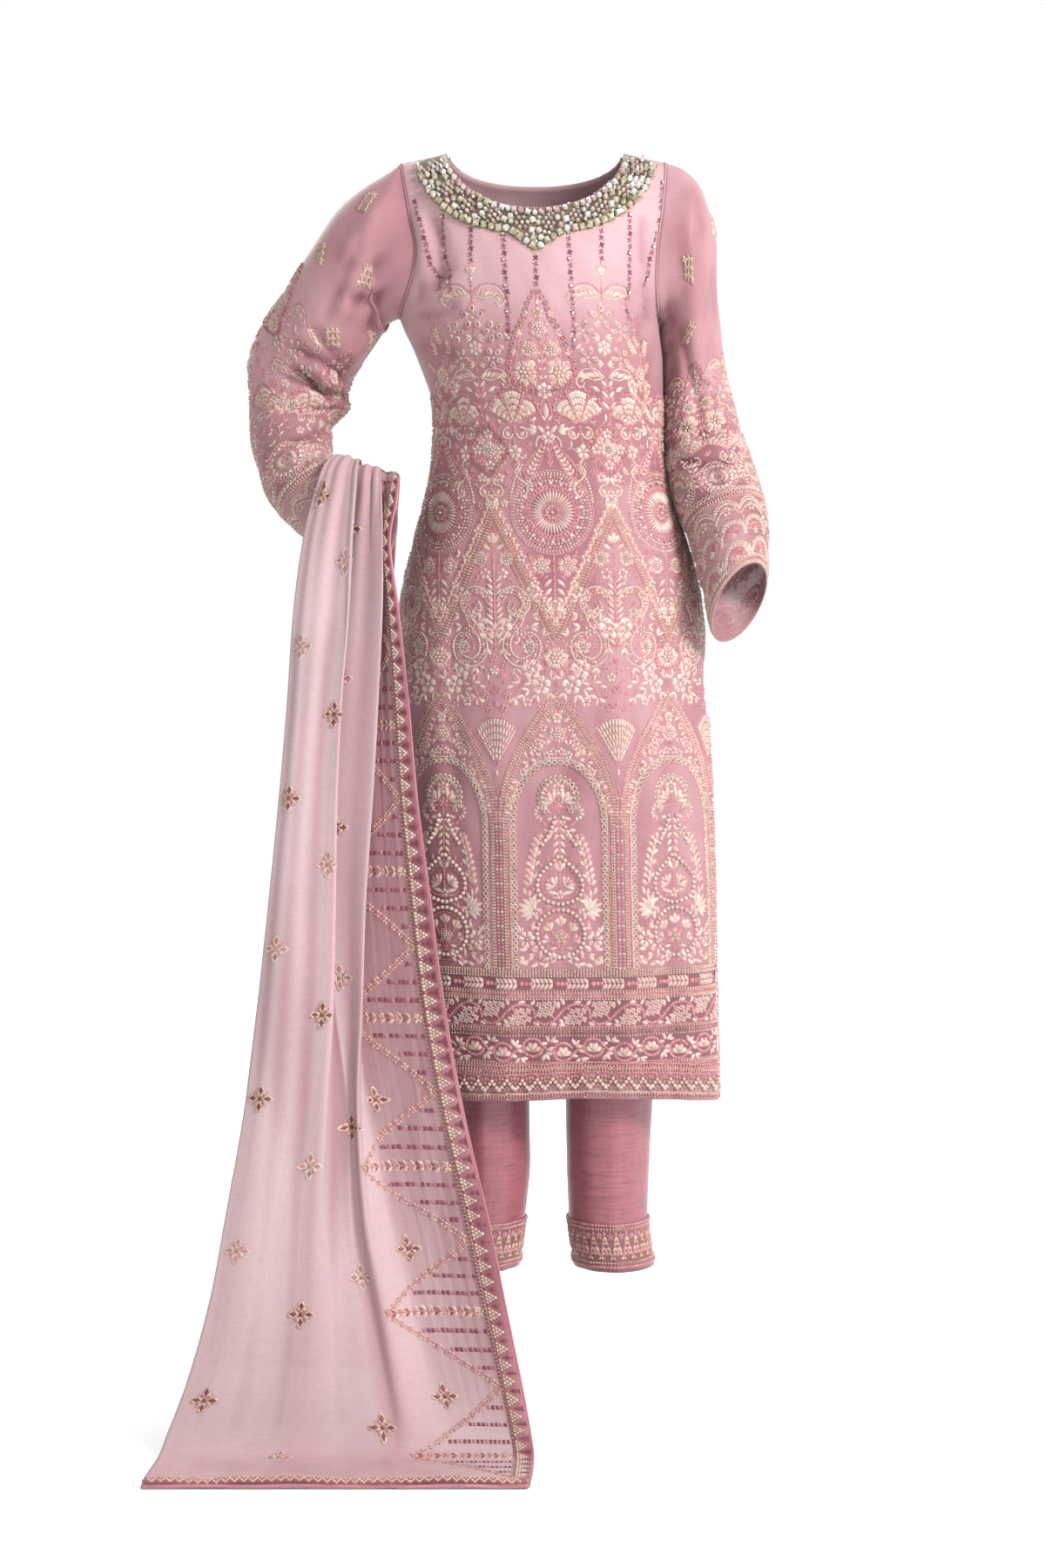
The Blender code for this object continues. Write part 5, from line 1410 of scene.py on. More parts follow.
def crest():
    """The pointed cluster in the middle of the chest: five full blooms in a chain frame. Origin at its tip."""
    pen = Pen()
    frame_line = [(0.001, 0), (0.0105, -0.016), (0.0145, -0.030), (0.0250, -0.046), (0.0310, -0.066), (0.0365, -0.082), (0.0350, -0.098), (0.0220, -0.108), (0.004, -0.113)]
    x, y, a, _ = pen.path(frame_line, 0.0072)
    for k, (px, py, pa) in enumerate(zip(x, y, a)):
        pen.ring(PINK, px, py, 0.0074, 0.0058, pa + 0.9, 0.0012)
        pen.leaf(CREAM, px - 0.0016, py - 0.0010, pa + 0.9, 0.0044, 0.0026)
    pen.cord(PINK, [(px * 0.82, py - 0.002) for px, py in frame_line[1:6]], 0.0018, 0.004)
    for px, py, t in ((0.0105, -0.029, 0.4), (0.019, -0.049, 0.2), (0.027, -0.069, 0.0), (0.0085, -0.079, -0.9), (0.0075, -0.100, -0.6), (0.016, -0.104, 0.3)):
        for d in (-0.6, 0.0, 0.6):
            pen.leaf(CREAM if d else GOLD, px, py, t + d, 0.0084, 0.0036)
    # outward leaves at the widest part
    for px, py, t in ((0.043, -0.080, 0.2), (0.041, -0.092, -0.3), (0.040, -0.066, 0.7), (0.034, -0.054, 0.9)):
        pen.leaf(CREAM, px, py, t, 0.0092, 0.0036)
        pen.bead(PINK, px + 0.006, py + 0.004, 0.0030)
    rows = [both(pen.array())]
    mid = Pen()
    mid.ruffle(0, -0.0445, 0.0118)
    for sign in (-1, 1):
        mid.ruffle(sign * 0.0122, -0.0660, 0.0112, second=GOLD, centre=SEQ, turn=sign * 0.3)
        mid.ruffle(sign * 0.0190, -0.0915, 0.0158, second=GOLD, centre=SEQ, turn=sign * 0.2)
        ring = [(sign * 0.0190 + math.cos(q) * 0.0176, -0.0910 + math.sin(q) * 0.0176) for q in np.linspace(0, 2 * PI, 24)]
        mid.cord(PINK, ring, 0.0016, 0.0038, smooth_path=False)
    mid.cord(PINK, [(0, -0.054), (0.0005, -0.090), (0, -0.118)], 0.0024, 0.004)
    mid.flower(0, -0.026, 0.0060, 5, CREAM, PINK, GOLD)
    mid.leaf(CREAM, 0, -0.018, PI / 2, 0.0080, 0.0036)
    mid.cord(PINK, [(0, -0.004), (0, -0.034)], 0.0016, 0.0040, smooth_path=False)
    mid.flower(0, -0.112, 0.0092, 6, CREAM, PINK, SEQ)
    for k in range(4):
        for sign in (-1, 1):
            mid.leaf(CREAM, 0, -0.072 - 0.009 * k, PI / 2 + sign * 0.9, 0.0066, 0.0030)
    rows.append(mid.array())
    return np.concatenate(rows)


def fan(r=0.040, fills=(CREAM, GOLD)):
    """A palmette: one tall lobe between two broad ones, each outlined and filled. Its root is at the origin."""
    pen = Pen()
    for mid, half, reach in ((PI / 2, 0.37, 1.0), (PI / 2 + 0.75, 0.36, 0.86), (PI / 2 - 0.75, 0.36, 0.86)):
        lobe = r * reach
        edge = []
        for t in np.linspace(-1, 1, 13):
            rad = lobe * (0.90 + 0.10 * math.cos(t * PI / 2) + 0.040 * math.cos(4.0 * PI * t))
            edge.append((rad * math.cos(mid + half * t), rad * math.sin(mid + half * t)))
        outline = [(edge[0][0] * 0.14, edge[0][1] * 0.14)] + edge + [(edge[-1][0] * 0.14, edge[-1][1] * 0.14)]
        pen.cord(PINK, outline, 0.0026, 0.0036, 0.0017, smooth_path=False)
        for tier, (rad, count, size, colour) in enumerate(((0.90, 6, 0.20, fills[0]), (0.71, 5, 0.20, fills[0]), (0.52, 4, 0.18, fills[1]), (0.35, 3, 0.17, fills[0]), (0.20, 2, 0.14, fills[1]))):
            for j in range(count):
                a = mid + half * 0.84 * (2 * (j + 0.5) / count - 1)
                reach_here = lobe * (rad - 0.02 * abs(j - (count - 1) / 2))
                pen.one(STITCH, colour, math.cos(a) * (reach_here - lobe * size * 0.92), math.sin(a) * (reach_here - lobe * size * 0.92), a, lobe * size, lobe * 2 * half * rad / count * 0.98, 0.0016)
        pen.flower(math.cos(mid) * lobe * 0.60, math.sin(mid) * lobe * 0.60, lobe * 0.13, 5, PINK, None, CREAM)
    for sign in (-1, 1):  # little scallops outside
        pen.leaf(PINK, 0, 0.001, PI / 2 + sign * 1.45, r * 0.26, r * 0.10)
    pen.bead(PINK, 0, 0.002, 0.0046)
    pen.leaf(PINK, 0, -0.001, -PI / 2, r * 0.16, r * 0.07)
    return pen.array()


def scrolls(size=0.0085, colour=CREAM):
    """Two small scrolls side by side, hanging from the origin."""
    pen = Pen()
    t = np.linspace(0, 1, 18)
    a = PI * 0.55 - 1.55 * PI * t
    r = size * (0.60 - 0.22 * t)
    pts = np.stack([size * 0.62 + r * np.cos(a), -size * 0.72 + r * np.sin(a)], 1)
    pen.cord(colour, pts, 0.0021, 0.0030, 0.0014, smooth_path=False)
    pen.cord(PINK, pts * 1.0 + np.array([0.0012, -0.0009]), 0.0013, 0.0032, 0.0008, smooth_path=False)
    pen.leaf(GOLD, size * 0.50, -size * 1.02, 0.9, size * 0.62, size * 0.34)
    rows = both(pen.array())
    mid = Pen()
    mid.bead(PINK, 0, -0.0015, 0.0038)
    mid.leaf(PINK, 0, -0.003, -PI / 2, size * 0.9, 0.0030)
    return np.concatenate([rows, mid.array()])


def diamond(w=0.0240, h=0.0280):
    pen = Pen()
    corner = [(0, h), (w, 0), (0, -h), (-w, 0), (0, h)]
    for a, b in zip(corner[:-1], corner[1:]):
        bulge = ((a[0] + b[0]) / 2 * 1.10, (a[1] + b[1]) / 2 * 1.10)
        pen.cord(PINK, [(p * 1.14, q * 1.14) for p, q in (a, bulge, b)], 0.0018, 0.0038, 0.0010)
        pen.rings(PINK, [a, bulge, b], 0.0066, 0.0060, height=0.0014)
        pen.beads(CREAM, [a, bulge, b], 0.0028, 0.0060)
        inner = [(p * 0.84, q * 0.84) for p, q in (a, bulge, b)]
        pen.cord(PINK, inner, 0.0017, 0.0038, 0.0009)
    pen.ruffle(0, 0, 0.0108, third=PINK, centre=GOLD)
    for k in range(4):
        a = PI / 2 + k * PI / 2
        reach = 0.0178 if k % 2 == 0 else 0.0145
        pen.flower(math.cos(a) * reach, math.sin(a) * reach, 0.0056, 5, CREAM, None, PINK)
        b = a + PI / 4
        pen.flower(math.cos(b) * 0.0135, math.sin(b) * 0.0145, 0.0044, 5, PINK if k % 2 else CREAM, None, GOLD)
    for d in (-1.15, -0.6, 0.6, 1.15):
        pen.leaf(CREAM, 0, -h * 1.12, -PI / 2 + d, 0.0100, 0.0036)
    pen.flower(-0.0105, -h * 1.12, 0.0050, 5, CREAM, None, PINK)
    pen.flower(0.0105, -h * 1.12, 0.0050, 5, CREAM, None, PINK)
    pen.leaf(CREAM, 0, h * 1.12, PI / 2, 0.0080, 0.0034)
    return pen.array()


def medallion(r=0.0440):
    """A round of a flower, a burst of gold, sequins and rings of chain."""
    pen = Pen()
    for k in range(8):
        a = 2 * PI * k / 8
        pen.petal(PINK, math.cos(a) * r * 0.05, math.sin(a) * r * 0.05, a, r * 0.155, r * 0.105, 0.0013)
        pen.leaf(CREAM, math.cos(a + PI / 8) * r * 0.12, math.sin(a + PI / 8) * r * 0.12, a + PI / 8, r * 0.10, 0.0020, 0.0014)
    pen.bead(CREAM, 0, 0, r * 0.085, kind=PEARL)
    count = 38
    for k in range(count):
        a = 2 * PI * k / count
        pen.leaf(CREAM, math.cos(a) * r * 0.250, math.sin(a) * r * 0.250, a, r * 0.335, r * 0.066, 0.0017)
    count = 40
    for k in range(count):
        a = 2 * PI * k / count
        pen.one(STITCH, PINK, math.cos(a) * r * 0.600, math.sin(a) * r * 0.600, a + 0.30, r * 0.095, 0.0030, 0.0012)
    for k in range(18):
        a = 2 * PI * (k + 0.5) / 18
        pen.bead(SEQ, math.cos(a) * r * 0.750, math.sin(a) * r * 0.750, 0.0040, kind=SEQUIN, height=0.0006)
        b = 2 * PI * k / 18
        pen.bead(PINK, math.cos(b) * r * 0.750, math.sin(b) * r * 0.750, 0.0036)
    for rad, colour, kind in ((0.235, PINK, "cord"), (0.592, PINK, "cord"), (0.690, PINK, "cord"), (0.81, GOLD, "beads"), (0.895, PINK, "bead"), (0.985, GOLD, "braid"), (1.06, PINK, "cord")):
        line = [(math.cos(t) * r * rad, math.sin(t) * r * rad) for t in np.linspace(0, 2 * PI, 49)]
        if kind == "cord":
            pen.cord(colour, line, 0.0020, 0.0038, smooth_path=False)
        elif kind == "bead":
            pen.beads(colour, line, 0.0034, 0.0040, smooth_path=False, every=3, other=CREAM)
        elif kind == "beads":
            pen.beads(CREAM, line, 0.0032, 0.0040, smooth_path=False, every=2, other=GOLD)
        else:
            pen.braid(colour, line, 0.0038, 0.0036, smooth_path=False, other=CREAM)
    return pen.array()


def drop_top():
    """The stem, leaves and pointed frame over a medallion. Origin at the medallion's middle."""
    pen = Pen()
    leaf = [(0.0265, 0.036), (0.0300, 0.046), (0.0245, 0.056), (0.0125, 0.070), (0.0035, 0.082)]
    back = [(0.0265, 0.036), (0.0190, 0.042), (0.0115, 0.054), (0.0065, 0.068), (0.0035, 0.082)]
    pen.cord(PINK, leaf, 0.0022, 0.0038, 0.0014)
    pen.cord(PINK, back, 0.0022, 0.0038, 0.0014)
    for k in range(7):
        t = (k + 0.4) / 7
        px, py = 0.0255 - 0.0195 * t, 0.040 + 0.034 * t
        for d in (0.75, -0.75):
            pen.leaf(CREAM if k % 2 else GOLD, px, py, 2.08 + d, 0.0062 * (1.1 - 0.5 * t), 0.0030)
    pen.cord(PINK, [(0.040, 0.018), (0.037, 0.034), (0.031, 0.048), (0.020, 0.064)], 0.0016, 0.0040, 0.0011)
    pen.beads(CREAM, [(0.047, 0.010), (0.044, 0.026), (0.038, 0.042), (0.030, 0.054)], 0.0030, 0.0038)
    # upper cluster with curling leaves
    pen.cord(CREAM, [(0.003, 0.076), (0.008, 0.084), (0.013, 0.080), (0.014, 0.073)], 0.0019, 0.0032)
    pen.cord(PINK, [(0.002, 0.070), (0.008, 0.090), (0.014, 0.092)], 0.0014, 0.0036)
    for px, py, t, length in ((0.012, 0.091, 0.15, 0.0120), (0.012, 0.091, 0.75, 0.0090), (0.012, 0.091, -0.45, 0.0090), (0.004, 0.088, 0.9, 0.0100)):
        pen.leaf(CREAM, px, py, t, length, 0.0044)
    pen.cord(PINK, [(0.001, 0.100), (0.0062, 0.108), (0.0048, 0.119), (0.0, 0.131)], 0.0019, 0.0038)
    pen.leaf(GOLD, 0.0010, 0.101, PI / 2 - 0.65, 0.0075, 0.0032)
    pen.cord(PINK, [(0.0, 0.098), (0.0035, 0.090), (0.002, 0.080)], 0.0016, 0.0038)
    rows = both(pen.array())
    mid = Pen()
    mid.leaf(CREAM, 0, 0.104, PI / 2, 0.0160, 0.0056)
    mid.leaf(PINK, 0, 0.131, PI / 2, 0.0090, 0.0040)
    mid.bead(CREAM, 0, 0.094, 0.0042)
    mid.cord(PINK, [(0, 0.050), (0, 0.094)], 0.0018, 0.0038, smooth_path=False)
    mid.flower(0, 0.0830, 0.0062, 5, CREAM, None, PINK)
    for k in range(3):
        for sign in (-1, 1):
            mid.leaf(PINK, 0, 0.052 + 0.0075 * k, PI / 2 - sign * 0.6, 0.0070, 0.0028)
    return np.concatenate([rows, mid.array()])


def squiggle():
    """A hanging string of curls and beads, 0.055 m long, curling to +x."""
    pen = Pen()
    pen.cord(PINK, [(0, 0.020), (0, -0.002)], 0.0016, 0.0042)
    pen.flower(0, -0.004, 0.0068, 5, CREAM, None, PINK)
    pts = [(0, -0.011), (0.0040, -0.018), (-0.001, -0.026), (0.003, -0.034), (0.0105, -0.040), (0.0115, -0.049), (0.0060, -0.054), (0.0035, -0.048)]
    pen.cord(CREAM, pts, 0.0022, 0.0034, 0.0014)
    pen.cord(PINK, [(x + 0.0014, y - 0.0012) for x, y in pts], 0.0014, 0.0036, 0.0009)
    for k, (px, py) in enumerate(pts[1:-2]):
        pen.flower(px + (0.0042 if k % 2 else -0.0042), py, 0.0036, 5, CREAM if k % 2 else PINK, None, GOLD)
    return pen.array()


def chevrons(reach=2):
    """Zigzag rope, peaks up at odd half pitches. Heights are the cloth's own."""
    pen = Pen()
    high, low = -0.406, -0.546
    for k in range(-reach, reach):
        x0, x1 = k * PITCH, (k + 1) * PITCH
        mid = (x0 + x1) / 2
        for side in (-1, 1):
            a = np.array((x0 if side < 0 else x1, low))
            b = np.array((mid, high))
            slope = b - a
            length = np.hypot(*slope)
            off = np.array([-slope[1], slope[0]]) / length * (1 if side < 0 else -1)
            if off[1] < 0:
                off = -off

            def shifted(d):
                # the offset lines meet on the peaks' and the valleys' own axes
                lift = d * length / abs(slope[0])
                return [tuple(a + (0, lift)), tuple((a + b) / 2 + (0, lift)), tuple(b + (0, lift))]

            pen.cord(PINK, shifted(-0.0066), 0.0019, 0.0038, smooth_path=False)
            pen.braid(GOLD, shifted(-0.0042), 0.0040, 0.0034, 0.0015, smooth_path=False, other=PINK)
            pen.braid(PINK, shifted(-0.0010), 0.0036, 0.0034, 0.0014, smooth_path=False, other=GOLD)
            pen.braid(GOLD, shifted(0.0020), 0.0040, 0.0034, 0.0015, smooth_path=False, other=GOLD)
            pen.cord(PINK, shifted(0.0044), 0.0019, 0.0038, smooth_path=False)
            x, y, t, _ = pen.path(shifted(0.0056), 0.0082, smooth_path=False)
            for j, (px, py, pt) in enumerate(zip(x, y, t)):
                out = pt + (1.25 if slope[0] > 0 else -1.25)
                if j % 4 == 2:
                    pen.flower(px + off[0] * 0.0016, py + off[1] * 0.0016, 0.0052, 5, CREAM, None, PINK)
                else:
                    for d in (-0.75, 0.0, 0.75):
                        pen.leaf(GOLD if d else PINK, px, py, out + d, 0.0076, 0.0034)
        pen.flower(mid, high + 0.014, 0.0078, 5, CREAM, PINK, GOLD)
        pen.leaf(PINK, mid, high + 0.020, PI / 2, 0.0080, 0.0036)
    return pen.array()


def fern(height=0.070, leaves=9, size=0.012):
    """V-shaped pairs of leaves on a stem, root at the bottom."""
    pen = Pen()
    pen.cord(PINK, [(0, -0.004), (0, height)], 0.0028, 0.0040, 0.0014, smooth_path=False)
    for k in range(leaves):
        y = height * (k + 0.3) / leaves
        for sign in (-1, 1):
            pen.leaf(CREAM, sign * 0.0012, y, PI / 2 - sign * 0.85, size * (1 - 0.30 * k / leaves), 0.0038, 0.0013)
            pen.leaf(PINK, sign * 0.0010, y - height / leaves * 0.45, PI / 2 - sign * 0.95, size * 0.80, 0.0026, 0.0010)
    return pen.array()


def volute(s=1.0):
    """One large scroll of flowers in a roped band, for the right side of a stem. Origin at the stem's foot."""
    pen = Pen()
    band = [(0.005, 0.050), (0.014, 0.063), (0.028, 0.063), (0.036, 0.050), (0.028, 0.039), (0.019, 0.044), (0.021, 0.052)]
    tail = [(0.035, 0.048), (0.028, 0.030), (0.015, 0.012), (0.015, -0.006), (0.028, -0.016), (0.044, -0.009), (0.047, 0.006), (0.040, 0.014), (0.033, 0.009)]
    for line, w, full in ((band, 0.0090, True), (tail, 0.0092, False)):
        pts = catmull(np.array(line) * s, np.linspace(0, len(line) - 1, 60))
        d = np.gradient(pts, axis=0)
        off = np.stack([-d[:, 1], d[:, 0]], 1) / np.hypot(d[:, 0], d[:, 1])[:, None]
        taper = (0.45 + 0.55 * np.sin(np.linspace(0.15, PI - 0.15, 60)))[:, None]
        pen.cord(CREAM, pts + off * w / 2 * taper, 0.0022, 0.0034, 0.0017, smooth_path=False)
        pen.cord(CREAM if not full else PINK, pts - off * w / 2 * taper, 0.0022, 0.0034, 0.0017, smooth_path=False)
        if full:
            x, y, t, _ = pen.path(pts, 0.0082, smooth_path=False)
            for k, (px, py) in enumerate(zip(x, y)):
                pen.flower(px, py, 0.0048, 5, CREAM if k % 3 else PINK, None, PINK if k % 3 else CREAM)
        else:
            x, y, t, _ = pen.path(pts, 0.0040, smooth_path=False)
            for k, (px, py, pt) in enumerate(zip(x, y, t)):
                pen.one(STITCH, GOLD if k % 3 == 0 else PINK, px - math.cos(pt + 0.8) * 0.0030, py - math.sin(pt + 0.8) * 0.0030, pt + 0.8, 0.0062, 0.0028, 0.0014)
    pen.ruffle(0.0385 * s, 0.0010 * s, 0.0096, third=PINK, centre=GOLD)
    pen.flower(0.0085 * s, 0.0215 * s, 0.0122, 5, CREAM, PINK, SEQ)
    pen.flower(0.0445 * s, 0.0640 * s, 0.0082, 5, CREAM, PINK, GOLD)
    pen.flower(0.0510 * s, 0.0460 * s, 0.0070, 5, PINK, CREAM, GOLD)
    pen.flower(0.0300 * s, 0.0200 * s, 0.0094, 6, PINK, CREAM, GOLD)
    for px, py, tt in ((0.043, 0.053, 0.5), (0.043, 0.036, 0.0), (0.041, 0.024, -0.1), (0.010, 0.000, -1.6), (0.018, 0.030, 2.2), (0.055, 0.014, 0.9), (0.055, -0.006, -0.5), (0.022, -0.022, -1.2), (0.044, -0.020, -0.9)):
        for d in (-0.55, 0.0, 0.55):
            pen.leaf(CREAM if d else PINK, px * s, py * s, tt + d, 0.0098, 0.0040)
    return pen.array()


def tiered_fan(r=0.0570, half=0.52):
    """Rows of short upright dashes in a fan, its root at the bottom."""
    pen = Pen()
    for tier, (rad, count, size) in enumerate(((0.96, 14, 0.125), (0.81, 12, 0.120), (0.665, 10, 0.115), (0.525, 8, 0.110), (0.39, 5, 0.105), (0.26, 3, 0.10))):
        arc = [(math.cos(t) * r * (rad - size * 0.98), math.sin(t) * r * (rad - size * 0.98)) for t in np.linspace(PI / 2 - half, PI / 2 + half, 12)]
        pen.cord(PINK, arc, 0.0030, 0.0036, 0.0010, smooth_path=False)
        for k in range(count):
            a = PI / 2 + half * 0.96 * (2 * (k + 0.5) / count - 1)
            pen.one(STITCH, CREAM, math.cos(a) * r * (rad - size), math.sin(a) * r * (rad - size), a, r * size * 0.98, 2 * half * r * rad / count * 0.70, 0.0018)
            pen.bead(CREAM, math.cos(a) * r * rad * 0.99, math.sin(a) * r * rad * 0.99, 2 * half * r * rad / count * 0.86)
    arc = [(math.cos(t) * r * 1.01, math.sin(t) * r * 1.01) for t in np.linspace(PI / 2 - half, PI / 2 + half, 14)]
    pen.cord(PINK, arc, 0.0020, 0.0036, 0.0010, smooth_path=False)
    for sign in (-1, 1):
        pen.cord(PINK, [(0, 0.002), (math.sin(sign * half * 1.08) * r, math.cos(half * 1.08) * r)], 0.0016, 0.0038, 0.0009, smooth_path=False)
    pen.leaf(CREAM, 0, -0.009, PI / 2, 0.0080, 0.0034)
    rows = pen.array()
    turn = np.abs(np.arctan2(rows[:, 2], np.maximum(rows[:, 3], 1e-4))) / half
    drop = 1 - 0.15 * np.clip(turn, 0, 1.1) ** 2
    rows[:, 2:4] *= drop[:, None]
    return rows


def arch_line(half, apex, foot, spring=-0.7550):
    """Right half of a pointed arch, from its foot to the apex."""
    pts = [(half, foot), (half, (foot + spring) / 2), (half, spring)]
    for x in 1 - np.linspace(0.10, 1, 16) ** 2:
        pts.append((half * x, spring + (apex - spring) * (1 - x) ** 0.52))
    return pts


def arcade(arches, foot=-0.9180):
    """Pointed arches, their posts and round inner arches."""
    pen = Pen()
    pen.cord(PINK, arch_line(0.0682, -0.6020, foot, -0.7500)[2:], 0.0022, 0.0038, 0.0012, smooth_path=False)
    pen.braid(GOLD, arch_line(0.0658, -0.6060, foot, -0.7530)[2:], 0.0042, 0.0035, 0.0015, smooth_path=False, other=CREAM)
    pen.cord(PINK, arch_line(0.0634, -0.6105, foot, -0.7560)[2:], 0.0026, 0.0036, 0.0013, smooth_path=False)
    pen.braid(GOLD, arch_line(0.0611, -0.6150, foot, -0.7590), 0.0042, 0.0035, 0.0016, smooth_path=False, other=CREAM)
    pen.cord(PINK, arch_line(0.0587, -0.6200, foot, -0.7620), 0.0022, 0.0038, 0.0012, smooth_path=False)
    pen.cord(PINK, arch_line(0.0562, -0.6240, foot, -0.7640)[:3], 0.0018, 0.0038, 0.0011, smooth_path=False)
    t = np.linspace(0, PI / 2, 16)
    for half, rise, kind in ((0.0513, 0.0700, "rings"), (0.0548, 0.0745, "cord"), (0.0480, 0.0660, "thin")):
        line = [(half, foot), (half, -0.753)] + [(half * math.cos(q) ** 0.92, -0.753 + rise * math.sin(q)) for q in t[1:]]
        if kind == "rings":
            pen.rings(CREAM, line, 0.0076, 0.0068, smooth_path=False, height=0.0013)
        elif kind == "cord":
            pen.cord(CREAM, line, 0.0018, 0.0036, 0.0011, smooth_path=False)
        else:
            pen.cord(PINK, line, 0.0014, 0.0040, 0.0009, smooth_path=False)
    # buds that fill the space between the two arches
    rng = np.random.default_rng(11)
    spots = []
    for px in np.arange(0.0045, 0.060, 0.0019):
        for py in np.arange(-0.742, -0.618, 0.0019):
            x = px / 0.0587
            roof = -0.7620 + (-0.6200 + 0.7620) * max(0.0, 1 - x) ** 0.52 if x < 1 else -9
            q = min(1.0, px / 0.0548)
            floor = -0.753 + 0.0745 * math.sqrt(max(0.0, 1 - q * q)) if px < 0.0548 else -0.757
            if py < roof - 0.0034 and py > floor + 0.0036 and np.hypot(px, py + 0.652) > 0.0150:
                spots.append((px, py))
    order = rng.permutation(len(spots))
    chosen = []
    for k in order:
        px, py = spots[k]
        if all((px - qx) ** 2 + (py - qy) ** 2 > 0.0070**2 for qx, qy in chosen):
            chosen.append((px, py))
    for k, (px, py) in enumerate(sorted(chosen)):
        turn = math.atan2(py + 0.700, px) + 0.9 * math.sin(k * 2.3)
        if k % 3 == 0:
            pen.flower(px, py, 0.0046, 5, CREAM, None, PINK)
        elif k % 3 == 1:
            pen.bud(px - 0.002 * math.cos(turn), py - 0.002 * math.sin(turn), turn, 0.0078, CREAM, PINK)
        else:
            pen.bud(px - 0.002 * math.cos(turn), py - 0.002 * math.sin(turn), turn, 0.0078, PINK, CREAM)
    one = [both(pen.array())]
    mid = Pen()
    mid.ruffle(0, -0.652, 0.0118, third=PINK)
    mid.flower(0, -0.6345, 0.0056, 5, CREAM, None, GOLD)
    mid.bead(PINK, 0, -0.6260, 0.0036)
    mid.flower(0, -0.6700, 0.0052, 5, PINK, None, CREAM)
    one = np.concatenate(one + [mid.array()])
    posts = Pen()
    for k in arches:
        x = (k + 0.5) * PITCH
        for dx in (-0.0024, 0.0024):
            posts.beads(PINK, [(x + dx, foot), (x + dx, -0.722)], 0.0036, 0.0040, smooth_path=False, every=4, other=CREAM)
        posts.leaf(PINK, x, -0.722, PI / 2, 0.0110, 0.0040)
        for dx in (-0.0118, 0.0118):
            posts.braid(PINK, [(x + dx, foot), (x + dx, -0.800)], 0.0034, 0.0038, 0.0013, smooth_path=False, other=GOLD)
    return np.concatenate([moved(one, k * PITCH) for k in arches] + [posts.array()])


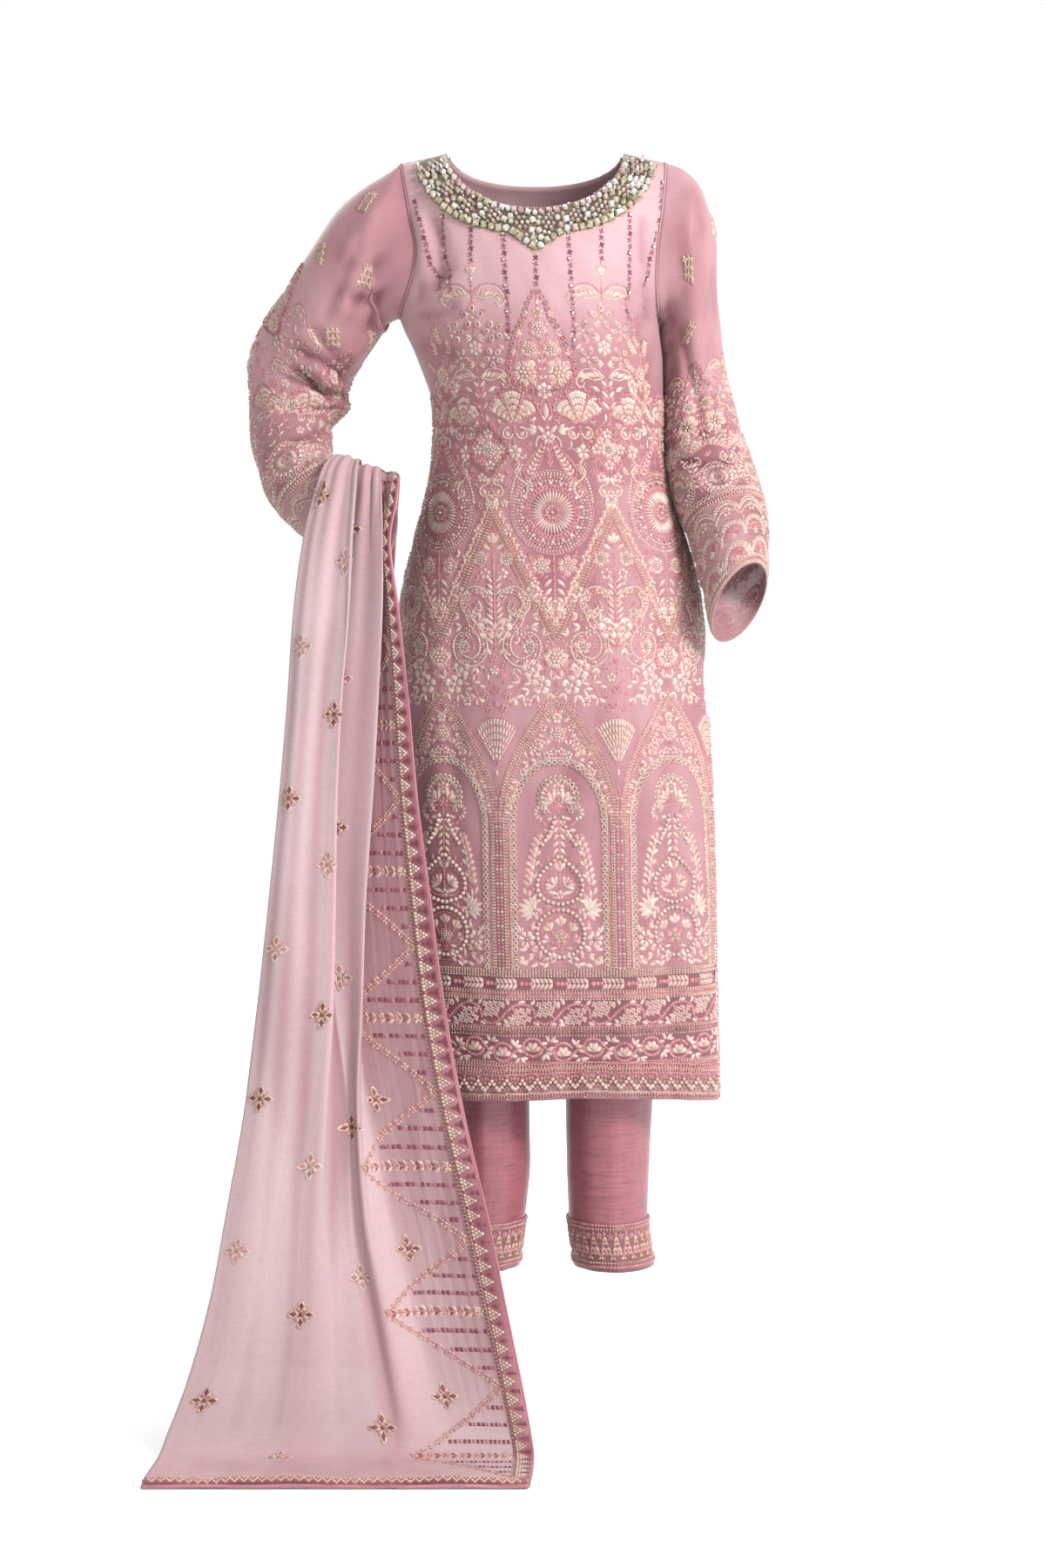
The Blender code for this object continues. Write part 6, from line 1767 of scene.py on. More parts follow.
def vase():
    """What stands inside an arch: crown, hanging chains, a drop, a round and side leaves. Heights are the cloth's own."""
    pen = Pen()  # right half
    mid = Pen()
    cy = -0.7225
    # crown: a fringe of loops round two buds and a flower
    for k in range(10):
        a = PI / 2 - (k + 0.5) * (PI * 0.80) / 10
        pen.ring(CREAM, math.cos(a) * 0.0205, cy + math.sin(a) * 0.0215, 0.0072, 0.0046, a, 0.0014)
        pen.leaf(PINK, math.cos(a) * 0.0125, cy + math.sin(a) * 0.0135, a, 0.0066, 0.0026, 0.0010)
    pen.cord(PINK, [(0.0, cy + 0.0165), (0.0090, cy + 0.0135), (0.0158, cy + 0.004), (0.0150, cy - 0.008)], 0.0016, 0.0036)
    for px, py, t in ((0.0098, cy - 0.0015, 0.75),):
        for d in (-0.9, -0.3, 0.3, 0.9):
            pen.petal(CREAM, px - 0.004, py - 0.004, t + d, 0.0112, 0.0046, 0.0013)
        pen.leaf(GOLD, px - 0.003, py - 0.003, t, 0.0086, 0.0042, 0.0012, 0.0010)
    for k in range(7):  # whorl at the side
        a = -1.4 + 0.62 * k
        pen.petal(CREAM, 0.0195 + math.cos(a) * 0.0034, cy - 0.0180 + math.sin(a) * 0.0034, a, 0.0052, 0.0031)
    pen.cord(PINK, [(0.002, cy - 0.012), (0.010, cy - 0.012), (0.0165, cy - 0.016)], 0.0017, 0.0036)
    mid.flower(0, cy + 0.0095, 0.0066, 6, CREAM, PINK, GOLD)
    mid.flower(0, cy - 0.0075, 0.0052, 5, PINK, None, CREAM)
    mid.cord(PINK, [(0, cy - 0.010), (0, cy - 0.064)], 0.0016, 0.0040, smooth_path=False)
    # bead chains down
    pen.beads(CREAM, [(0.0042, cy - 0.020), (0.0078, cy - 0.034), (0.0140, cy - 0.046), (0.0200, cy - 0.056)], 0.0052, 0.0054, kind=PEARL)
    pen.leaf(GOLD, 0.0058, cy - 0.036, -0.95, 0.0170, 0.0044)
    for k in range(5):
        pen.leaf(CREAM, 0.0010, cy - 0.026 - 0.0080 * k, -PI / 2 + 0.75, 0.0078, 0.0034)
    pen.beads(PINK, [(0.0090, cy - 0.030), (0.0160, cy - 0.042), (0.0215, cy - 0.052)], 0.0030, 0.0050)
    # flower and bead strings out to the sides
    x, y, _, _ = pen.path([(0.0215, -0.7660), (0.0270, -0.7800), (0.0315, -0.7980), (0.0352, -0.8220)], 0.0072)
    for k, (px, py) in enumerate(zip(x, y)):
        pen.bud(px - 0.0012, py - 0.0034, 1.15, 0.0084, CREAM, PINK)
        pen.leaf(PINK, px, py - 0.003, -0.4, 0.0060, 0.0028)
    # the drop
    drop = [(0, -0.7880), (0.0072, -0.7950), (0.0170, -0.8040), (0.0245, -0.8150), (0.0248, -0.8280), (0.0175, -0.8380), (0.0, -0.8440)]
    pen.beads(CREAM, drop, 0.0054, 0.0056, kind=PEARL)
    pen.cord(PINK, drop, 0.0036, 0.0040, 0.0008)
    pen.cord(PINK, [(px * 0.80, -0.818 + (py + 0.818) * 0.80) for px, py in drop], 0.0016, 0.0038)
    for d in (-1.0, -0.5, 0.0, 0.5, 1.0):
        pen.petal(CREAM, 0.0098 - 0.0040, -0.8200 - 0.0030, 0.70 + d, 0.0098, 0.0040, 0.0013)
    pen.leaf(PINK, 0.0070, -0.8220, 0.70, 0.0080, 0.0044, 0.0012, 0.0008)
    pen.leaf(CREAM, 0.0020, -0.8320, 0.25, 0.0115, 0.0036)
    pen.leaf(PINK, 0.0020, -0.8360, 0.0, 0.0090, 0.0028)
    mid.bud(0, -0.8060, PI / 2, 0.0105, CREAM, PINK)
    mid.cord(PINK, [(0, -0.840), (0, -0.806)], 0.0017, 0.0040, smooth_path=False)
    mid.flower(0, -0.8330, 0.0046, 5, CREAM, None, PINK)
    # side leaf fans
    for k in range(7):
        a = -0.95 + 0.46 * k
        pen.leaf(CREAM, 0.0310, -0.8500, a, 0.0165 - 0.0012 * abs(k - 3), 0.0050)
    for k in range(4):
        pen.leaf(CREAM, 0.0380 - 0.003 * k, -0.8330 - 0.003 * k, 1.2 + 0.5 * k, 0.0085, 0.0036)
    pen.cord(PINK, [(0.017, -0.848), (0.026, -0.853), (0.038, -0.846), (0.045, -0.834)], 0.0017, 0.0038)
    pen.flower(0.0290, -0.8510, 0.0052, 5, CREAM, None, PINK)
    # the round below
    ry = -0.8765
    ring = [(math.cos(t) * 0.0270, ry + math.sin(t) * 0.0270) for t in np.linspace(-PI / 2, PI / 2, 20)]
    pen.beads(CREAM, ring, 0.0052, 0.0056, kind=PEARL, smooth_path=False)
    pen.cord(PINK, ring, 0.0036, 0.0040, 0.0008, smooth_path=False)
    pen.cord(PINK, [(px * 0.80, ry + (py - ry) * 0.80) for px, py in ring], 0.0016, 0.0038, smooth_path=False)
    pen.cord(PINK, [(0.001, ry - 0.019), (0.006, ry - 0.006), (0.012, ry + 0.005)], 0.0019, 0.0036)
    pen.cord(PINK, [(0.002, ry - 0.014), (0.010, ry - 0.011), (0.017, ry - 0.005)], 0.0016, 0.0036)
    pen.bud(0.0110, ry + 0.0030, 1.0, 0.0096, CREAM, GOLD)
    pen.bud(0.0140, ry - 0.0085, 0.5, 0.0080, CREAM, PINK)
    pen.leaf(PINK, 0.006, ry - 0.004, 1.9, 0.0072, 0.0028)
    pen.leaf(CREAM, 0.005, ry - 0.016, -0.2, 0.0080, 0.0030)
    mid.cord(PINK, [(0, ry - 0.023), (0.001, ry - 0.005), (0, ry + 0.008)], 0.0019, 0.0036)
    mid.bud(0, ry + 0.0085, PI / 2, 0.0095, CREAM, GOLD)
    mid.ruffle(0, ry - 0.0050, 0.0076, third=PINK, centre=GOLD)
    # side flowers and the foot
    for k in range(7):
        a = 2 * PI * k / 7 + 0.2
        pen.petal(CREAM, 0.0385 + math.cos(a) * 0.0022, -0.8830 + math.sin(a) * 0.0022, a, 0.0066, 0.0044)
    pen.bead(PINK, 0.0385, -0.8830, 0.0034, lift=0.0008)
    pen.cord(PINK, [(0.0010, -0.9090), (0.014, -0.9095), (0.028, -0.9030), (0.037, -0.8920)], 0.0018, 0.0038)
    for px, py, t in ((0.034, -0.895, 2.6), (0.038, -0.894, -0.1), (0.031, -0.900, -0.9), (0.024, -0.905, 1.7), (0.014, -0.9085, -0.8), (0.012, -0.9070, 1.9), (0.042, -0.903, -1.0), (0.026, -0.911, -0.3), (0.038, -0.912, 0.5), (0.018, -0.912, 0.2), (0.005, -0.906, 1.1), (0.045, -0.876, 1.2), (0.033, -0.872, 1.9)):
        pen.leaf(CREAM, px, py, t, 0.0092, 0.0038)
        pen.leaf(PINK if px < 0.03 else GOLD, px, py, t + 0.75, 0.0062, 0.0030)
    for q in np.linspace(0.15, 0.92, 9):  # small leaves outside the drop
        i = q * (len(drop) - 1)
        px, py = np.array(drop[int(i)]) + (i - int(i)) * (np.array(drop[int(i) + 1]) - np.array(drop[int(i)]))
        out = math.atan2(py + 0.818, px)
        pen.leaf(PINK, px + math.cos(out) * 0.0030, py + math.sin(out) * 0.0030, out + 0.5, 0.0066, 0.0032)
    for q in np.linspace(-1.35, 1.0, 11):
        pen.leaf(CREAM if int(q * 10) % 2 else PINK, math.cos(q) * 0.0302, ry + math.sin(q) * 0.0302, q + 0.7, 0.0072, 0.0034)
    for px, py, t in ((0.0225, -0.7790, 0.2), (0.0190, -0.7690, 0.6), (0.0130, -0.7560, 0.8), (0.0245, -0.7900, 0.0), (0.0080, -0.7420, 0.6), (0.0270, -0.8050, 0.1)):
        pen.leaf(PINK, px, py, t, 0.0086, 0.0038)
        pen.leaf(CREAM, px - 0.002, py - 0.004, t - 0.8, 0.0076, 0.0034)
    for k in range(8):  # a second fringe in the crown
        a = PI / 2 - (k + 0.5) * (PI * 0.74) / 8
        pen.leaf(CREAM, math.cos(a) * 0.0150, cy + math.sin(a) * 0.0158, a, 0.0058, 0.0034, 0.0014)
    rows = np.concatenate([both(pen.array()), mid.array()])
    short = (rows[:, 0] != STITCH) & (rows[:, 0] != PEARL)
    rows[short, 5:7] *= 1.14
    rows[rows[:, 0] == PEARL, 5:7] *= 0.92
    return rows


def spray():
    """Leaves and a bloom that fill the ground between two arch tips. Origin at the bloom."""
    pen = Pen()
    pen.flower(0.017, 0.001, 0.0110, 5, CREAM, PINK, SEQ)
    for px, py, t in ((0.028, 0.004, 0.3), (0.031, -0.004, -0.5), (0.022, 0.013, 1.3), (0.009, -0.008, -2.0), (0.022, -0.010, -1.2), (0.037, -0.010, -1.0), (0.041, 0.004, 0.6), (0.006, 0.008, 2.2)):
        for d in (-0.6, 0.0, 0.6):
            pen.leaf(CREAM if d else PINK, px, py, t + d, 0.0104, 0.0040)
    pen.cord(PINK, [(0.006, 0.014), (0.016, 0.014), (0.030, 0.008), (0.042, -0.002), (0.048, -0.014)], 0.0018, 0.004)
    pen.bud(0.047, -0.013, -1.2, 0.0100, CREAM, PINK)
    pen.flower(0.0450, 0.0120, 0.0066, 5, PINK, None, CREAM)
    pen.flower(0.0330, -0.0180, 0.0056, 5, CREAM, None, PINK)
    pen.flower(0.0160, -0.0240, 0.0060, 5, PINK, None, CREAM)
    return both(pen.array())


def hem_bands(half):
    """Bands of the skirt's foot, from the arches down to the last edge."""
    pen = Pen()

    def line(y):
        return [(-half, y), (half, y)]

    pen.braid(GOLD, line(-0.9192), 0.0040, 0.0034, 0.0016, smooth_path=False, other=CREAM)
    pen.cord(PINK, line(-0.9215), 0.0016, 0.0038, smooth_path=False)
    pen.braid(GOLD, line(-0.9238), 0.0040, 0.0034, 0.0016, smooth_path=False, other=CREAM)
    # groups of slanting leaves with pink dots between
    gap = 0.0405
    for k in range(int(half / gap) + 1):
        for sign in (-1, 1):
            cx = sign * (k + 0.5) * gap
            for j in range(5):
                px = cx + (j - 2) * 0.0048
                pen.leaf(CREAM, px, -0.9335, PI - 0.90, 0.0088, 0.0042, 0.0017)
                pen.leaf(CREAM, px, -0.9335, PI + 0.90, 0.0088, 0.0042, 0.0017)
            for j in range(3):
                pen.bead(PINK, cx + gap / 2 + (j - 1) * 0.0050, -0.9335, 0.0062)
    pen.braid(GOLD, line(-0.9425), 0.0036, 0.0034, 0.0014, smooth_path=False, other=CREAM)
    pen.cord(PINK, line(-0.9450), 0.0024, 0.0038, smooth_path=False)
    pen.cord(PINK, line(-0.9475), 0.0024, 0.0038, smooth_path=False)
    pen.braid(GOLD, line(-0.9502), 0.0040, 0.0034, 0.0016, smooth_path=False, other=CREAM)
    # flowering scroll: each repeat has a curving stem with full sprays of loops on both sides
    gap = 0.0630
    count = int(half / gap) + 1
    u = Pen()
    u.cord(PINK, [(-0.0300, -0.0085), (-0.0215, -0.0122), (-0.0110, -0.0085), (-0.0020, 0.0005), (0.0070, 0.0080), (0.0180, 0.0105), (0.0290, 0.0050), (0.0320, -0.0060)], 0.0032, 0.0038, 0.0014)
    u.cord(PINK, [(-0.0090, -0.0070), (-0.0160, 0.0010), (-0.0240, 0.0040)], 0.0024, 0.0036, 0.0012)
    u.cord(PINK, [(0.0060, 0.0070), (0.0110, -0.0030), (0.0190, -0.0070)], 0.0024, 0.0036, 0.0012)
    for px, py in ((-0.0270, 0.0100), (-0.0205, 0.0105), (-0.0150, 0.0112), (-0.0245, 0.0048), (-0.0185, 0.0052), (-0.0270, -0.0010), (-0.0205, -0.0010), (-0.0120, 0.0058), (-0.0145, 0.0002), (-0.0080, 0.0108),
                   (0.0110, 0.0020), (0.0165, 0.0030), (0.0075, -0.0040), (0.0135, -0.0045), (0.0195, -0.0020), (0.0240, -0.0065), (0.0180, -0.0100), (0.0115, -0.0105), (0.0240, 0.0030), (0.0050, -0.0098)):
        for q in range(4):
            u.leaf(CREAM, px, py, 0.45 + q * PI / 2, 0.0040, 0.0030, 0.0015)
    for px, py, tt in ((-0.0040, -0.0060, -0.9), (0.0005, -0.0040, -0.4), (-0.0050, 0.0055, 1.5), (-0.0150, -0.0128, 0.15), (0.0270, 0.0090, 0.9), (0.0130, 0.0125, 0.1), (0.0020, 0.0095, 1.9), (0.0290, -0.0105, -0.3), (-0.0050, -0.0128, -0.1)):
        u.leaf(CREAM, px, py, tt, 0.0086, 0.0040)
    one = u.array()
    scroll = [moved(one, k * gap, -0.9672) for k in range(-count, count + 1)]
    pen.cord(PINK, line(-0.9822), 0.0016, 0.0040, smooth_path=False)
    pen.braid(GOLD, line(-0.9845), 0.0030, 0.0034, 0.0013, smooth_path=False, other=CREAM)
    pen.rings(PINK, line(-0.9882), 0.0050, 0.0048, smooth_path=False, height=0.0013)
    pen.beads(GOLD, line(-0.9882), 0.0022, 0.0048, smooth_path=False)
    pen.braid(GOLD, line(-0.9918), 0.0030, 0.0034, 0.0013, smooth_path=False, other=CREAM)
    # heart-shaped buds in curls along a running stem
    gap = 0.0345
    count = int(half / gap) + 1
    curls = []
    for k in range(-count, count + 1):
        up = 1 if k % 2 else -1
        px, py = k * gap, -1.0085 + up * 0.0026
        q = Pen()
        ring = [(px + math.cos(tt) * 0.0112, py + math.sin(tt) * 0.0102) for tt in np.linspace(0.4, 0.4 + 1.85 * PI, 20)]
        q.cord(PINK, ring, 0.0034, 0.0036, 0.0014, smooth_path=False)
        q.cord(PINK, [(px + 0.0100, py + up * 0.004), (px + gap * 0.5, py - up * 0.0030), (px + gap - 0.0105, py - up * 0.0060)], 0.0030, 0.0038, 0.0014)
        for d in (-1.05, -0.35, 0.35, 1.05):
            q.petal(CREAM, px, py - 0.0048, PI / 2 + d, 0.0108 - 0.001 * abs(d), 0.0056, 0.0018)
        q.leaf(GOLD, px, py - 0.0036, PI / 2, 0.0080, 0.0044, 0.0012, 0.0014)
        for dx, dy, tt in ((0.0135, 0.0070, 0.9), (0.0145, 0.0060, 0.1), (0.0165, 0.0035, -0.5), (0.0140, 0.0075, 2.0), (0.0205, -0.0060, -0.9), (0.0190, -0.0065, -2.1), (0.0170, -0.0055, 2.9), (0.0210, -0.0080, 0.1)):
            q.leaf(CREAM, px + dx, py - up * dy, -tt * up, 0.0088, 0.0042)
        curls.append(q.array())
    pen.cord(PINK, line(-1.0225), 0.0016, 0.0040, smooth_path=False)
    pen.braid(GOLD, line(-1.0252), 0.0036, 0.0034, 0.0013, smooth_path=False, other=CREAM)
    pen.cord(PINK, line(-1.0282), 0.0026, 0.0038, smooth_path=False)
    pen.cord(PINK, line(-1.0308), 0.0026, 0.0038, smooth_path=False)
    return np.concatenate([pen.array()] + scroll + curls)


def hem_edge(half, chart, lifted=0.0016):
    """The last band: gold clusters in a zigzag and the finished edge, which follow the hem."""
    pen = Pen()
    s = np.linspace(-half, half, 200)
    edge_z = np.interp(s, *_edge(chart))

    def line(up):
        return np.stack([s, edge_z + up], 1)

    pen.braid(PINK, line(0.0018), 0.0036, 0.0034, 0.0012, smooth_path=False, other=GOLD)
    pen.braid(GOLD, line(0.0050), 0.0034, 0.0034, 0.0013, smooth_path=False, other=PINK)
    pen.cord(GOLD, line(0.0075), 0.0016, 0.0036, smooth_path=False)
    pen.cord(PINK, line(0.0296), 0.0024, 0.0038, smooth_path=False)
    pen.braid(GOLD, line(0.0324), 0.0038, 0.0034, 0.0014, smooth_path=False, other=PINK)
    pen.cord(PINK, line(0.0352), 0.0024, 0.0038, smooth_path=False)
    pen.braid(PINK, line(0.0380), 0.0038, 0.0036, 0.0014, smooth_path=False, other=GOLD)
    pen.cord(PINK, line(0.0404), 0.0020, 0.0038, smooth_path=False)
    gap = 0.0172
    for k in range(int(2 * half / gap)):
        x = -half + (k + 0.5) * gap
        z = float(np.interp(x, s, edge_z)) + 0.0190
        for dx, dz in ((0, 0.0040), (-0.0026, 0.0004), (0.0026, 0.0004), (-0.0056, -0.0034), (0.0056, -0.0034), (-0.0083, -0.0056), (0.0083, -0.0056)):
            pen.one(PEARL, CREAM if abs(dx) > 0.005 else GOLD, x + dx, z + dz, 0, 0.0050, 0.0050, 0.0024)
        for dx, dz in ((0, -0.0042), (-0.0024, -0.0060), (0.0024, -0.0060), (0, 0.0085)):
            pen.bead(PINK, x + dx, z + dz, 0.0034)
        for dx, dz in ((-0.0050, 0.0052), (0.0050, 0.0052), (-0.0083, 0.0012), (0.0083, 0.0062), (-0.0083, 0.0062)):
            pen.leaf(PINK, x + dx, z + dz - 0.002, PI / 2, 0.0046, 0.0034, 0.0012)
        pen.leaf(MAUVE, x, z - 0.0012, -PI / 2, 0.0042, 0.0034, 0.0010)
    rows = pen.array()
    rows[:, 8] += lifted
    return rows


def _edge(chart):
    """Where the cloth ends at the foot, against a."""
    low = np.array([chart.b[chart.inside[:, j]].min() if chart.inside[:, j].any() else -1.07 for j in range(len(chart.a))])
    a = chart.a
    order = np.argsort(a)
    return a[order], low[order]


def side_cluster():
    """An upright plant of large buds for the sides of the chest and waist. Origin at its top."""
    pen = Pen()
    pen.cord(PINK, [(0, 0.0), (0.001, -0.04), (-0.001, -0.085)], 0.0022, 0.004)
    for px, py, tilt, size in ((0.0, -0.022, 0.0, 0.026), (0.0125, -0.034, -0.45, 0.024), (-0.0125, -0.034, 0.45, 0.024), (0.0180, -0.056, -0.85, 0.020), (-0.0180, -0.056, 0.85, 0.020)):
        t = PI / 2 + tilt
        x0, y0 = px - math.cos(t) * size * 0.5, py - math.sin(t) * size * 0.5
        outline = []
        for q in np.linspace(0, 2 * PI, 19):
            u, w = size * 0.5 * (1 - math.cos(q)), size * 0.27 * math.sin(q) * (1 - 0.35 * (1 - math.cos(q)) / 2)
            outline.append((x0 + math.cos(t) * u - math.sin(t) * w, y0 + math.sin(t) * u + math.cos(t) * w))
        pen.cord(PINK, outline, 0.0022, 0.0036, 0.0014, smooth_path=False)
        for j in range(5):
            u = size * (0.10 + 0.15 * j)
            for sign in (-1, 1):
                pen.one(STITCH, GOLD if (j + (sign > 0)) % 2 else CREAM, x0 + math.cos(t) * u, y0 + math.sin(t) * u, t + sign * 0.62, size * 0.24, size * 0.12, 0.0016)
    pen.ruffle(0.0, -0.0660, 0.0125, third=PINK)
    for sign in (-1, 1):
        pen.flower(sign * 0.0150, -0.0780, 0.0080, 5, CREAM, PINK, GOLD)
        for d in (-0.5, 0.0, 0.5):
            pen.leaf(GOLD if d else CREAM, sign * 0.010, -0.086, (-0.5 if sign > 0 else PI + 0.5) + d, 0.0100, 0.0040)
            pen.leaf(PINK, sign * 0.006, -0.006 + 0.004 * d, (0.9 if sign > 0 else PI - 0.9) + d, 0.0080, 0.0034)
    return pen.array()


def spot(chart, x, z):
    """a at a given x and height."""
    i = int(np.clip((z - chart.b[0]) / (chart.b[-1] - chart.b[0]) * (len(chart.b) - 1), 0, len(chart.b) - 1))
    row = chart.p[i, :, 0]
    order = np.argsort(row)
    return float(np.interp(x, row[order], np.asarray(chart.a)[order]))


def bodice_lines(chart):
    lines = (
        ([(-0.1370, -0.0525), (-0.1310, -0.0775), (-0.1225, -0.1095), (-0.1155, -0.131), (-0.108, -0.158)], 0),
        ([(-0.1050, -0.0710), (-0.1020, -0.1100), (-0.0950, -0.1600)], 5),
        ([(-0.0725, -0.0875), (-0.0725, -0.1290)], 0),
        ([(-0.0365, -0.0925), (-0.0345, -0.1350), (-0.0316, -0.1760), (-0.030, -0.215)], 4),
        ([(-0.0005, -0.1195), (0.0005, -0.1560)], 0),
        ([(0.0357, -0.0905), (0.0385, -0.1400), (0.0416, -0.1915), (0.042, -0.225)], 4),
        ([(0.0728, -0.0810), (0.0728, -0.1270)], 0),
        ([(0.1050, -0.0690), (0.1045, -0.1300), (0.1040, -0.1915)], 6),
        ([(0.1430, -0.0300), (0.1380, -0.0820), (0.1283, -0.1200), (0.1205, -0.1540)], 5),
    )
    return [cross_line([(spot(chart, x, z), z) for x, z in line], sequins=every) for line, every in lines]


def fill_gaps(rows, zone, gap=0.0098, need=0.0050, seed=5, pale=0.35):
    """Small sprigs in the ground left free between motifs. zone(x, y) says where they may go."""
    along = np.where(rows[:, 0] <= STITCH, rows[:, 5] / 2, 0.0)
    cx, cy = rows[:, 2] + np.cos(rows[:, 4]) * along, rows[:, 3] + np.sin(rows[:, 4]) * along
    rng = np.random.default_rng(seed)
    xs, ys = np.meshgrid(np.arange(cx.min(), cx.max(), 0.0034), np.arange(cy.min(), cy.max(), 0.0034))
    xs, ys = (xs + rng.uniform(-0.001, 0.001, xs.shape)).ravel(), (ys + rng.uniform(-0.001, 0.001, ys.shape)).ravel()
    keep = zone(xs, ys)
    xs, ys = xs[keep], ys[keep]
    near = np.full(len(xs), 9.0)
    for k in range(0, len(cx), 400):
        d = (xs[:, None] - cx[None, k : k + 400]) ** 2 + (ys[:, None] - cy[None, k : k + 400]) ** 2
        near = np.minimum(near, d.min(axis=1))
    near = np.sqrt(near)
    order = np.argsort(-near + rng.uniform(0, 0.002, len(near)))
    pen, chosen = Pen(), []
    for k in order:
        if near[k] < need or any((xs[k] - qx) ** 2 + (ys[k] - qy) ** 2 < gap * gap for qx, qy in chosen):
            continue
        chosen.append((xs[k], ys[k]))
        room, roll = min(near[k], 0.0085), rng.random()
        turn = PI / 2 + rng.uniform(-1.2, 1.2)
        x, y = xs[k], ys[k]
        c = CREAM if rng.random() < pale else PINK
        if roll < 0.40:
            for d in (-0.8, 0.0, 0.8):
                pen.leaf(c if d else PINK, x - 0.002 * math.cos(turn), y - 0.002 * math.sin(turn), turn + d, room * 0.95, 0.0032)
            pen.leaf(PINK, x - 0.002 * math.cos(turn), y - 0.002 * math.sin(turn), turn + PI, room * 0.7, 0.0018)
        elif roll < 0.70:
            pen.flower(x, y, room * 0.62, 5, c, None, GOLD)
        else:
            pen.leaf(c, x, y, turn, room * 0.9, 0.0034)
            pen.leaf(PINK, x, y, turn + 2.1, room * 0.8, 0.0028)
            pen.leaf(PINK, x, y, turn - 2.1, room * 0.8, 0.0028)
            pen.bead(CREAM, x, y, 0.0026)
    return pen.array()


